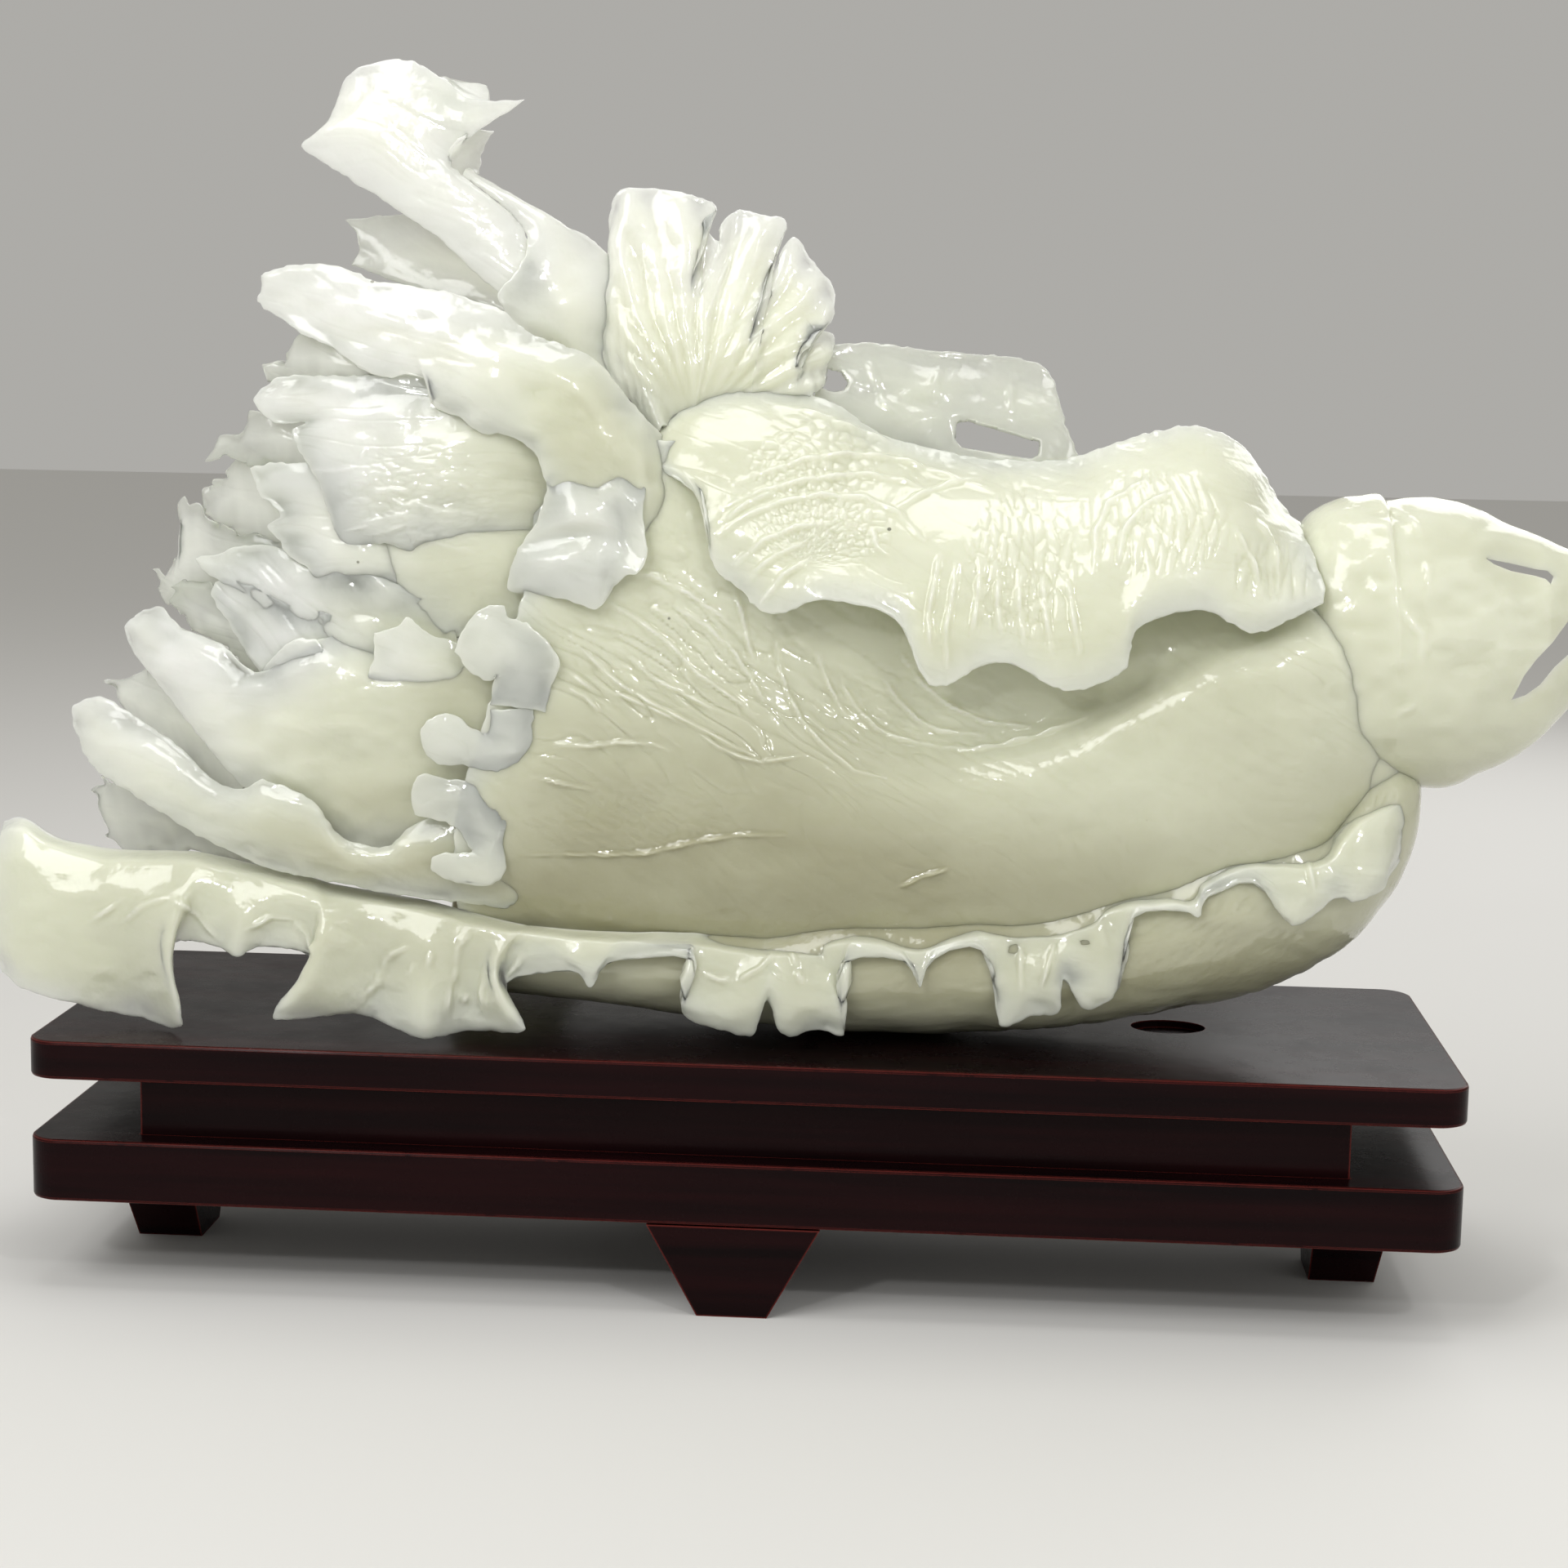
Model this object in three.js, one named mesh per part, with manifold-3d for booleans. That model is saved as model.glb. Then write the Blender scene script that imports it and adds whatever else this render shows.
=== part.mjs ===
// Jade cabbage carving lying on its lacquered two-tier wooden stand.
// Millimetres, +X along the stand, +Y away from the viewer, +Z up.
import * as THREE from 'three';
import { mergeVertices } from 'three/addons/utils/BufferGeometryUtils.js';
import Module from 'manifold-3d';

const wasm = await Module();
wasm.setup();

// Stand
const standLength = 440;
const standDepth = 140;
const cornerRadius = 10;
const footHeight = 28.5;
const lowerBoardThick = 19.5;
const waistHeight = 19;
const topBoardThick = 12;
const cutGap = 0.3;
const edgeEase = 0.9;

// Waist rails between the two boards
const railThick = 12;
const waistInsetFront = 10;
const waistInsetEnd = 34;
const railHousing = 2;

// Feet and their tenons
const footTopWidth = 53;
const footBottomWidth = 21.5;
const footThick = 20;
const endFootInset = 15;
const endFootThick = 24;
const endFootToe = 3;
const tenonLength = 16;
const tenonThick = 9;
const tenonDepth = 8;

// Oval pocket worn into the top board beside the root end
const pocketLength = 24;
const pocketWidth = 19;
const pocketDepth = 2.5;
const pocketFromCentre = 134;
const pocketFromFront = 71;

// Viewpoint that the carving's pixel readings are taken from
const frameCentrePixels = 960;
const focalPixels = 3490;
const viewAcross = 71.4;
const viewBack = 835.4;
const viewHeight = 288.4;
const viewYawDeg = -3.98;
const viewPitchDeg = 8.37;
const viewRollDeg = 1.02;

// Stone: depth of the whole carving and thickness of its leaves
const stoneFront = 4;
const stoneDepth = 120;
const leafThick = 5.2;
const leafEdgeThick = 2.2;
const stoneTolerance = 0.4;
const backShrinkShare = 0.05;
const backLowerShare = 0.1;

// Carving tables. Each point of a leaf is photo pixel x, photo pixel y, share
// of the stone's depth. Rows run from the leaf's root to its tip or along it.
const frontLeafShares = [
  [
    [1622, 738, 0.16], [1648, 768, 0.13], [1668, 805, 0.125], [1684, 850, 0.138],
    [1697, 900, 0.185], [1707, 935, 0.2], [1717, 953, 0.215], [1728, 968, 0.25],
  ],
  [
    [1590, 690, 0.35], [1600, 745, 0.2], [1602, 772, 0.15], [1602, 798, 0.11],
    [1600, 850, 0.085], [1600, 940, 0.09], [1600, 1040, 0.15], [1602, 1110, 0.25],
  ],
  [
    [1490, 650, 0.36], [1500, 745, 0.22], [1500, 785, 0.16], [1500, 815, 0.1],
    [1500, 850, 0.07], [1500, 935, 0.065], [1500, 1040, 0.1], [1500, 1150, 0.22],
  ],
  [
    [1395, 640, 0.36], [1400, 760, 0.22], [1400, 830, 0.17], [1400, 865, 0.095],
    [1400, 900, 0.065], [1400, 970, 0.06], [1400, 1060, 0.085], [1400, 1190, 0.22],
  ],
  [
    [1290, 610, 0.36], [1300, 770, 0.22], [1300, 870, 0.18], [1300, 915, 0.09],
    [1300, 950, 0.055], [1300, 1015, 0.055], [1300, 1095, 0.085], [1300, 1210, 0.22],
  ],
  [
    [1200, 600, 0.36], [1200, 780, 0.22], [1200, 890, 0.18], [1200, 938, 0.09],
    [1200, 975, 0.055], [1200, 1035, 0.055], [1200, 1105, 0.085], [1200, 1222, 0.22],
  ],
  [
    [1105, 590, 0.35], [1110, 760, 0.21], [1105, 880, 0.17], [1100, 940, 0.09],
    [1100, 975, 0.06], [1100, 1035, 0.055], [1100, 1105, 0.085], [1100, 1225, 0.22],
  ],
  [
    [1010, 570, 0.33], [1010, 730, 0.19], [1005, 850, 0.15], [1000, 912, 0.09],
    [1000, 950, 0.065], [1000, 1020, 0.055], [1000, 1095, 0.085], [1000, 1215, 0.22],
  ],
  [
    [905, 548, 0.28], [905, 690, 0.17], [900, 800, 0.13], [900, 878, 0.09],
    [900, 925, 0.07], [900, 1000, 0.06], [895, 1085, 0.085], [890, 1205, 0.22],
  ],
  [
    [800, 540, 0.24], [800, 660, 0.15], [800, 760, 0.12], [800, 845, 0.095],
    [800, 900, 0.08], [795, 980, 0.07], [792, 1075, 0.09], [785, 1190, 0.22],
  ],
  [
    [715, 575, 0.2], [706, 680, 0.135], [702, 770, 0.11], [700, 830, 0.095],
    [698, 890, 0.085], [692, 970, 0.075], [684, 1060, 0.1], [672, 1160, 0.21],
  ],
  [
    [655, 600, 0.19], [645, 700, 0.13], [625, 780, 0.1], [605, 840, 0.09],
    [588, 900, 0.085], [562, 980, 0.08], [555, 1060, 0.105], [560, 1130, 0.19],
  ],
];
const curledLeafShares = [
  [
    [808, 520, 0.34], [803, 535, 0.3], [802, 550, 0.27],
    [803, 560, 0.25], [806, 568, 0.23], [810, 577, 0.22],
  ],
  [
    [850, 488, 0.38], [838, 515, 0.3], [836, 545, 0.24],
    [838, 570, 0.2], [845, 590, 0.17], [858, 615, 0.15],
  ],
  [
    [905, 477, 0.4], [890, 520, 0.28], [880, 565, 0.2],
    [874, 610, 0.15], [868, 650, 0.12], [872, 690, 0.11],
  ],
  [
    [960, 478, 0.41], [945, 530, 0.26], [930, 590, 0.17],
    [915, 640, 0.12], [905, 690, 0.1], [905, 722, 0.1],
  ],
  [
    [1020, 492, 0.41], [1000, 550, 0.24], [985, 610, 0.15],
    [965, 670, 0.09], [950, 715, 0.06], [944, 752, 0.06],
  ],
  [
    [1080, 530, 0.4], [1060, 580, 0.24], [1040, 630, 0.14],
    [1025, 675, 0.1], [1018, 710, 0.05], [1012, 734, 0.03],
  ],
  [
    [1140, 548, 0.4], [1125, 600, 0.24], [1110, 650, 0.13],
    [1105, 695, 0.09], [1100, 730, 0.05], [1096, 758, 0.03],
  ],
  [
    [1190, 558, 0.4], [1175, 610, 0.23], [1165, 665, 0.12],
    [1155, 720, 0.07], [1145, 780, 0.03], [1142, 840, 0.03],
  ],
  [
    [1240, 562, 0.4], [1230, 615, 0.23], [1225, 670, 0.12],
    [1222, 720, 0.07], [1222, 765, 0.05], [1224, 810, 0.04],
  ],
  [
    [1300, 562, 0.4], [1290, 620, 0.23], [1290, 680, 0.12],
    [1295, 740, 0.06], [1300, 795, 0.03], [1306, 846, 0.03],
  ],
  [
    [1350, 547, 0.4], [1345, 610, 0.22], [1350, 670, 0.11],
    [1355, 730, 0.06], [1365, 780, 0.03], [1375, 822, 0.04],
  ],
  [
    [1414, 527, 0.42], [1410, 590, 0.23], [1410, 645, 0.12],
    [1408, 690, 0.07], [1402, 730, 0.04], [1396, 768, 0.04],
  ],
  [
    [1468, 521, 0.42], [1468, 580, 0.23], [1468, 635, 0.12],
    [1468, 680, 0.07], [1470, 715, 0.05], [1472, 748, 0.05],
  ],
  [
    [1525, 547, 0.42], [1522, 600, 0.24], [1520, 650, 0.13],
    [1518, 700, 0.09], [1522, 740, 0.07], [1534, 775, 0.07],
  ],
  [
    [1568, 614, 0.4], [1572, 650, 0.28], [1575, 685, 0.19],
    [1578, 715, 0.13], [1582, 740, 0.1], [1586, 756, 0.1],
  ],
  [
    [1592, 643, 0.36], [1605, 668, 0.28], [1614, 690, 0.22],
    [1620, 708, 0.18], [1623, 722, 0.15], [1622, 738, 0.14],
  ],
];
const finLeafShares = [
  [
    [1000, 500, 0.44], [998, 480, 0.46], [1004, 468, 0.47],
    [1010, 452, 0.48], [1016, 436, 0.49], [1023, 421, 0.5],
  ],
  [
    [1040, 520, 0.43], [1040, 495, 0.45], [1041, 472, 0.46],
    [1044, 455, 0.48], [1047, 438, 0.5], [1050, 419, 0.52],
  ],
  [
    [1085, 540, 0.42], [1085, 510, 0.44], [1086, 485, 0.46],
    [1087, 465, 0.48], [1088, 445, 0.5], [1089, 421, 0.53],
  ],
  [
    [1140, 560, 0.41], [1140, 530, 0.43], [1140, 500, 0.46],
    [1140, 475, 0.48], [1140, 450, 0.51], [1140, 428, 0.54],
  ],
  [
    [1190, 575, 0.4], [1190, 545, 0.43], [1188, 510, 0.46],
    [1185, 480, 0.49], [1182, 455, 0.52], [1180, 431, 0.55],
  ],
  [
    [1240, 585, 0.4], [1240, 555, 0.43], [1238, 520, 0.46],
    [1234, 490, 0.49], [1230, 460, 0.52], [1226, 434, 0.55],
  ],
  [
    [1285, 590, 0.41], [1282, 565, 0.43], [1280, 535, 0.45],
    [1277, 505, 0.48], [1274, 475, 0.51], [1270, 444, 0.54],
  ],
  [
    [1330, 585, 0.42], [1322, 560, 0.43], [1313, 540, 0.45],
    [1305, 520, 0.46], [1300, 500, 0.48], [1291, 464, 0.52],
  ],
];
const fanLeafShares = [
  [
    [800, 540, 0.3], [750, 475, 0.36], [715, 415, 0.42],
    [733, 355, 0.46], [744, 300, 0.48], [744, 270, 0.5],
  ],
  [
    [812, 520, 0.3], [775, 440, 0.35], [762, 370, 0.4],
    [760, 310, 0.43], [758, 265, 0.46], [757, 234, 0.5],
  ],
  [
    [825, 525, 0.34], [805, 430, 0.36], [795, 360, 0.41],
    [795, 310, 0.44], [795, 268, 0.47], [795, 229, 0.5],
  ],
  [
    [840, 515, 0.35], [830, 430, 0.36], [832, 365, 0.4],
    [838, 315, 0.42], [842, 270, 0.45], [845, 237, 0.49],
  ],
  [
    [850, 512, 0.35], [846, 435, 0.36], [852, 375, 0.4],
    [860, 325, 0.43], [868, 285, 0.46], [878, 253, 0.5],
  ],
  [
    [853, 511, 0.35], [850, 436, 0.36], [856, 378, 0.4],
    [860, 335, 0.43], [862, 300, 0.45], [862, 272, 0.47],
  ],
  [
    [858, 508, 0.36], [856, 436, 0.36], [862, 382, 0.4],
    [868, 348, 0.43], [874, 320, 0.45], [879, 295, 0.47],
  ],
  [
    [866, 505, 0.37], [868, 436, 0.37], [876, 385, 0.41],
    [882, 345, 0.44], [885, 315, 0.46], [884, 275, 0.48],
  ],
  [
    [876, 502, 0.38], [882, 434, 0.37], [892, 382, 0.41],
    [899, 335, 0.45], [902, 295, 0.48], [903, 257, 0.51],
  ],
  [
    [900, 500, 0.4], [908, 432, 0.38], [916, 385, 0.42],
    [923, 340, 0.45], [928, 300, 0.47], [930, 262, 0.5],
  ],
  [
    [915, 500, 0.4], [925, 434, 0.38], [935, 390, 0.42],
    [943, 350, 0.45], [950, 315, 0.48], [963, 274, 0.51],
  ],
  [
    [918, 500, 0.4], [928, 436, 0.38], [936, 395, 0.42],
    [941, 370, 0.44], [944, 350, 0.46], [945, 334, 0.48],
  ],
  [
    [925, 500, 0.4], [938, 438, 0.39], [949, 400, 0.42],
    [957, 365, 0.45], [964, 325, 0.48], [971, 288, 0.51],
  ],
  [
    [945, 500, 0.4], [958, 442, 0.39], [971, 408, 0.42],
    [982, 375, 0.45], [992, 350, 0.47], [1000, 326, 0.5],
  ],
  [
    [958, 502, 0.41], [972, 446, 0.39], [986, 418, 0.42],
    [998, 395, 0.45], [1010, 372, 0.47], [1020, 350, 0.5],
  ],
  [
    [965, 502, 0.41], [980, 450, 0.39], [994, 427, 0.42],
    [1004, 412, 0.44], [1012, 402, 0.46], [1020, 394, 0.48],
  ],
  [
    [968, 502, 0.41], [980, 456, 0.39], [984, 435, 0.41],
    [986, 420, 0.43], [988, 410, 0.44], [989, 400, 0.45],
  ],
  [
    [975, 502, 0.41], [986, 460, 0.4], [996, 443, 0.42],
    [1005, 430, 0.44], [1014, 420, 0.46], [1022, 410, 0.49],
  ],
  [
    [985, 502, 0.42], [992, 472, 0.4], [998, 468, 0.42],
    [1004, 462, 0.43], [1009, 456, 0.45], [1014, 450, 0.47],
  ],
  [
    [990, 503, 0.42], [995, 482, 0.41], [999, 480, 0.42],
    [1003, 478, 0.43], [1007, 476, 0.44], [1010, 473, 0.45],
  ],
];
const tallLeafShares = [
  [
    [700, 430, 0.365], [692, 405, 0.365], [684, 380, 0.37],
    [675, 355, 0.375], [665, 330, 0.385], [655, 310, 0.4],
  ],
  [
    [608, 357, 0.37], [618, 345, 0.365], [628, 330, 0.365],
    [636, 316, 0.37], [641, 303, 0.38], [645, 290, 0.395],
  ],
  [
    [531, 288, 0.41], [552, 278, 0.4], [575, 266, 0.395],
    [598, 257, 0.395], [616, 257, 0.4], [630, 264, 0.415],
  ],
  [
    [460, 240, 0.45], [485, 230, 0.435], [510, 220, 0.425],
    [535, 213, 0.42], [553, 212, 0.42], [566, 214, 0.43],
  ],
  [
    [413, 210, 0.47], [440, 192, 0.455], [470, 182, 0.44],
    [505, 178, 0.435], [530, 185, 0.435], [552, 198, 0.44],
  ],
  [
    [369, 179, 0.49], [405, 160, 0.47], [450, 150, 0.455],
    [500, 150, 0.445], [535, 160, 0.44], [562, 178, 0.44],
  ],
  [
    [396, 158, 0.51], [414, 135, 0.49], [465, 115, 0.47],
    [525, 122, 0.455], [560, 140, 0.44], [600, 150, 0.4],
  ],
  [
    [416, 112, 0.52], [435, 84, 0.5], [497, 73, 0.485],
    [545, 97, 0.475], [577, 121, 0.46], [641, 122, 0.36],
  ],
];
const tallSideShares = [
  [[566, 214, 0.43], [568, 210, 0.44], [570, 207, 0.46], [572, 205, 0.47]],
  [[612, 250, 0.42], [625, 245, 0.42], [636, 243, 0.44], [645, 249, 0.47]],
  [[642, 282, 0.4], [660, 275, 0.4], [680, 270, 0.43], [695, 277, 0.46]],
  [[645, 305, 0.37], [672, 305, 0.385], [700, 298, 0.42], [730, 296, 0.46]],
  [[632, 330, 0.35], [670, 335, 0.36], [705, 330, 0.4], [745, 315, 0.46]],
  [[609, 358, 0.33], [655, 365, 0.34], [700, 362, 0.37], [750, 350, 0.44]],
  [[616, 378, 0.33], [660, 392, 0.33], [705, 395, 0.36], [750, 390, 0.42]],
  [[633, 402, 0.34], [668, 414, 0.34], [705, 424, 0.35], [745, 430, 0.4]],
  [[668, 418, 0.36], [700, 438, 0.36], [735, 455, 0.37], [770, 470, 0.4]],
];
const tallCupShares = [
  [[560, 225, 0.46], [552, 192, 0.43], [562, 172, 0.4]],
  [[578, 215, 0.5], [575, 190, 0.48], [585, 160, 0.46]],
  [[588, 212, 0.54], [592, 185, 0.54], [606, 160, 0.54]],
];
const tallBackShares = [
  [[520, 150, 0.48], [560, 155, 0.46], [600, 150, 0.44]],
  [[520, 110, 0.52], [560, 120, 0.52], [602, 132, 0.52]],
  [[535, 92, 0.57], [560, 96, 0.58], [597, 105, 0.58]],
];
const behindLeafShares = [
  [[680, 420, 0.52], [640, 370, 0.54], [590, 310, 0.58], [540, 265, 0.62]],
  [[600, 375, 0.56], [560, 335, 0.6], [530, 295, 0.62], [500, 262, 0.64]],
  [[500, 350, 0.62], [485, 320, 0.65], [475, 290, 0.67], [465, 264, 0.68]],
  [[430, 324, 0.68], [438, 308, 0.69], [436, 285, 0.7], [421, 269, 0.72]],
];
const upperLeftShares = [
  [[860, 720, 0.17], [850, 680, 0.16], [850, 640, 0.165], [845, 600, 0.18], [840, 560, 0.24]],
  [[760, 690, 0.15], [760, 640, 0.14], [765, 590, 0.14], [775, 545, 0.16], [785, 505, 0.24]],
  [[700, 640, 0.14], [705, 590, 0.13], [712, 530, 0.13], [722, 480, 0.15], [735, 445, 0.23]],
  [[668, 590, 0.135], [672, 545, 0.125], [678, 500, 0.125], [685, 455, 0.14], [692, 422, 0.21]],
  [[655, 556, 0.135], [650, 520, 0.12], [648, 480, 0.12], [648, 440, 0.135], [650, 408, 0.2]],
  [[620, 533, 0.135], [617, 500, 0.12], [614, 460, 0.12], [614, 420, 0.14], [616, 380, 0.2]],
  [[590, 532, 0.14], [585, 500, 0.125], [580, 460, 0.13], [578, 415, 0.15], [578, 366, 0.2]],
  [[562, 512, 0.145], [556, 485, 0.135], [550, 450, 0.14], [546, 405, 0.16], [545, 356, 0.205]],
  [[528, 497, 0.155], [524, 475, 0.15], [518, 445, 0.155], [512, 400, 0.175], [510, 350, 0.215]],
  [[541, 475, 0.165], [520, 462, 0.165], [502, 435, 0.17], [492, 395, 0.185], [485, 347, 0.225]],
  [[505, 459, 0.175], [488, 448, 0.18], [470, 425, 0.185], [462, 385, 0.2], [458, 343, 0.235]],
  [[470, 462, 0.19], [455, 445, 0.195], [440, 420, 0.205], [432, 380, 0.22], [428, 330, 0.25]],
  [[440, 450, 0.205], [425, 432, 0.215], [412, 405, 0.225], [405, 370, 0.24], [402, 324, 0.265]],
  [[405, 425, 0.23], [394, 410, 0.24], [385, 388, 0.25], [380, 358, 0.26], [378, 323, 0.28]],
  [[372, 410, 0.25], [362, 395, 0.26], [358, 380, 0.27], [354, 355, 0.28], [352, 325, 0.295]],
  [[340, 388, 0.28], [336, 378, 0.285], [334, 365, 0.29], [330, 350, 0.295], [328, 331, 0.305]],
  [[322, 378, 0.3], [318, 372, 0.305], [314, 366, 0.31], [320, 352, 0.31], [318, 338, 0.315]],
];
const shellTopShares = [
  [[560, 530, 0.175], [560, 500, 0.17], [560, 470, 0.19]],
  [[510, 522, 0.17], [510, 492, 0.165], [512, 462, 0.185]],
  [[460, 516, 0.18], [460, 487, 0.175], [462, 456, 0.2]],
  [[420, 513, 0.2], [415, 485, 0.2], [410, 457, 0.225]],
  [[380, 519, 0.22], [375, 490, 0.225], [375, 455, 0.25]],
  [[340, 516, 0.25], [337, 490, 0.255], [345, 462, 0.27]],
  [[315, 502, 0.275], [311, 487, 0.28], [321, 470, 0.285]],
];
const shellFrontShares = [
  [[600, 700, 0.185], [610, 650, 0.178], [620, 600, 0.178], [625, 545, 0.188]],
  [[545, 680, 0.145], [555, 640, 0.135], [560, 600, 0.135], [565, 540, 0.15]],
  [[515, 662, 0.145], [520, 640, 0.135], [520, 600, 0.135], [520, 530, 0.155]],
  [[500, 671, 0.145], [495, 640, 0.14], [492, 600, 0.145], [490, 522, 0.165]],
  [[465, 660, 0.155], [462, 630, 0.15], [460, 595, 0.155], [455, 513, 0.18]],
  [[440, 682, 0.16], [440, 640, 0.16], [435, 590, 0.165], [430, 512, 0.195]],
  [[412, 656, 0.18], [410, 625, 0.18], [402, 580, 0.19], [398, 514, 0.21]],
  [[400, 612, 0.195], [390, 595, 0.2], [375, 560, 0.21], [378, 517, 0.22]],
  [[383, 590, 0.205], [370, 566, 0.22], [360, 545, 0.225], [359, 525, 0.23]],
];
const shellBodyShares = [
  [[650, 780, 0.165], [660, 700, 0.155], [668, 640, 0.15], [672, 580, 0.15], [676, 520, 0.17]],
  [[570, 780, 0.165], [590, 700, 0.15], [605, 630, 0.14], [612, 570, 0.145], [618, 505, 0.17]],
  [[500, 760, 0.175], [520, 690, 0.16], [530, 620, 0.15], [535, 560, 0.155], [540, 470, 0.18]],
  [[440, 740, 0.195], [455, 680, 0.18], [460, 620, 0.175], [462, 560, 0.18], [465, 440, 0.205]],
  [[400, 710, 0.22], [405, 660, 0.21], [405, 610, 0.21], [402, 560, 0.215], [400, 450, 0.24]],
  [[375, 695, 0.24], [370, 640, 0.24], [365, 590, 0.24], [362, 540, 0.245], [360, 462, 0.265]],
  [[350, 675, 0.265], [345, 640, 0.265], [335, 590, 0.27], [333, 530, 0.275], [332, 470, 0.29]],
  [[345, 660, 0.28], [336, 645, 0.28], [318, 600, 0.285], [320, 530, 0.29], [318, 500, 0.3]],
];
const shellLowShares = [
  [[570, 790, 0.16], [560, 730, 0.15], [550, 685, 0.155]],
  [[515, 770, 0.155], [510, 720, 0.145], [505, 675, 0.155]],
  [[455, 722, 0.17], [455, 690, 0.165], [450, 650, 0.18]],
  [[425, 692, 0.175], [420, 672, 0.175], [405, 640, 0.2]],
  [[396, 668, 0.19], [390, 640, 0.2], [385, 600, 0.215]],
  [[370, 692, 0.205], [362, 650, 0.22], [365, 585, 0.23]],
  [[345, 662, 0.235], [345, 625, 0.24], [345, 565, 0.25]],
  [[334, 645, 0.25], [322, 612, 0.26], [322, 568, 0.27]],
  [[316, 602, 0.27], [310, 588, 0.275], [304, 575, 0.285]],
];
const fringeOneShares = [
  [[480, 485, 0.22], [475, 455, 0.22], [470, 425, 0.25]],
  [[410, 475, 0.25], [410, 445, 0.25], [408, 408, 0.28]],
  [[365, 468, 0.29], [362, 440, 0.3], [370, 405, 0.31]],
  [[338, 468, 0.32], [345, 450, 0.325], [354, 432, 0.33]],
  [[327, 466, 0.34], [320, 449, 0.345], [349, 447, 0.34]],
];
const fringeTwoShares = [
  [[420, 600, 0.24], [410, 555, 0.24], [400, 500, 0.26]],
  [[350, 572, 0.28], [350, 540, 0.28], [345, 505, 0.3]],
  [[308, 568, 0.32], [308, 540, 0.32], [310, 503, 0.33]],
  [[282, 563, 0.34], [284, 547, 0.345], [299, 528, 0.35]],
  [[262, 561, 0.36], [266, 545, 0.365], [276, 533, 0.37]],
  [[254, 559, 0.38], [256, 553, 0.38], [261, 546, 0.38]],
];
const fringeThreeShares = [
  [[390, 700, 0.27], [380, 640, 0.27], [360, 565, 0.28]],
  [[335, 685, 0.31], [328, 630, 0.31], [318, 562, 0.33]],
  [[295, 655, 0.35], [295, 610, 0.35], [285, 563, 0.37]],
  [[264, 645, 0.38], [266, 615, 0.38], [272, 582, 0.39]],
  [[245, 622, 0.4], [244, 606, 0.4], [252, 592, 0.41]],
];
const fringeFourShares = [
  [[420, 740, 0.26], [400, 700, 0.26], [380, 665, 0.28]],
  [[320, 725, 0.31], [312, 690, 0.31], [300, 650, 0.33]],
  [[262, 725, 0.35], [262, 680, 0.36], [258, 635, 0.38]],
  [[228, 738, 0.39], [224, 680, 0.4], [222, 609, 0.42]],
  [[215, 744, 0.41], [210, 715, 0.415], [222, 665, 0.42]],
  [[208, 743, 0.43], [200, 722, 0.435], [203, 697, 0.435]],
  [[200, 735, 0.44], [192, 718, 0.445], [183, 700, 0.45]],
];
const fringeFiveShares = [
  [[450, 880, 0.21], [430, 830, 0.21], [410, 770, 0.23]],
  [[345, 845, 0.235], [335, 800, 0.235], [315, 750, 0.255]],
  [[292, 806, 0.275], [277, 768, 0.275], [264, 722, 0.295]],
  [[252, 782, 0.31], [237, 748, 0.315], [236, 706, 0.33]],
  [[222, 756, 0.35], [212, 738, 0.355], [210, 716, 0.37]],
];
const innerOneShares = [
  [[560, 840, 0.155], [560, 790, 0.15], [550, 740, 0.16]],
  [[460, 820, 0.155], [470, 770, 0.15], [470, 708, 0.165]],
  [[400, 800, 0.175], [415, 750, 0.17], [420, 698, 0.185]],
  [[350, 770, 0.2], [370, 728, 0.2], [375, 688, 0.215]],
  [[310, 735, 0.235], [325, 705, 0.235], [340, 670, 0.25]],
  [[280, 717, 0.27], [290, 695, 0.275], [300, 667, 0.285]],
  [[258, 706, 0.3], [255, 690, 0.305], [268, 677, 0.31]],
  [[243, 692, 0.32], [238, 684, 0.325], [246, 680, 0.325]],
];
const innerTwoShares = [
  [[480, 860, 0.155], [480, 815, 0.15], [470, 775, 0.165]],
  [[400, 845, 0.17], [405, 800, 0.165], [400, 750, 0.18]],
  [[350, 832, 0.19], [352, 790, 0.185], [350, 738, 0.205]],
  [[318, 822, 0.21], [320, 780, 0.21], [318, 722, 0.23]],
  [[298, 795, 0.235], [298, 755, 0.235], [295, 712, 0.255]],
  [[275, 757, 0.26], [275, 735, 0.265], [275, 708, 0.28]],
  [[262, 738, 0.28], [258, 725, 0.285], [264, 712, 0.29]],
];
const lowerLeftShares = [
  [[700, 1003, 0.18], [700, 940, 0.17], [700, 880, 0.17], [700, 820, 0.17], [700, 780, 0.19]],
  [[560, 1040, 0.16], [560, 940, 0.13], [570, 880, 0.12], [560, 810, 0.13], [560, 775, 0.17]],
  [[450, 1045, 0.16], [450, 930, 0.12], [455, 880, 0.11], [455, 830, 0.12], [460, 765, 0.16]],
  [[370, 1005, 0.18], [370, 920, 0.14], [378, 870, 0.13], [385, 820, 0.13], [388, 783, 0.16]],
  [[300, 965, 0.2], [300, 905, 0.17], [310, 860, 0.16], [315, 835, 0.17], [318, 822, 0.19]],
  [[250, 910, 0.24], [250, 880, 0.21], [255, 845, 0.2], [262, 812, 0.21], [270, 788, 0.23]],
  [[205, 853, 0.28], [205, 828, 0.26], [210, 805, 0.26], [216, 785, 0.27], [222, 768, 0.29]],
  [[168, 806, 0.34], [165, 788, 0.33], [170, 770, 0.33], [184, 755, 0.34], [200, 743, 0.36]],
  [[156, 785, 0.37], [153, 772, 0.37], [154, 764, 0.37], [162, 755, 0.37], [174, 747, 0.38]],
];
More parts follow.
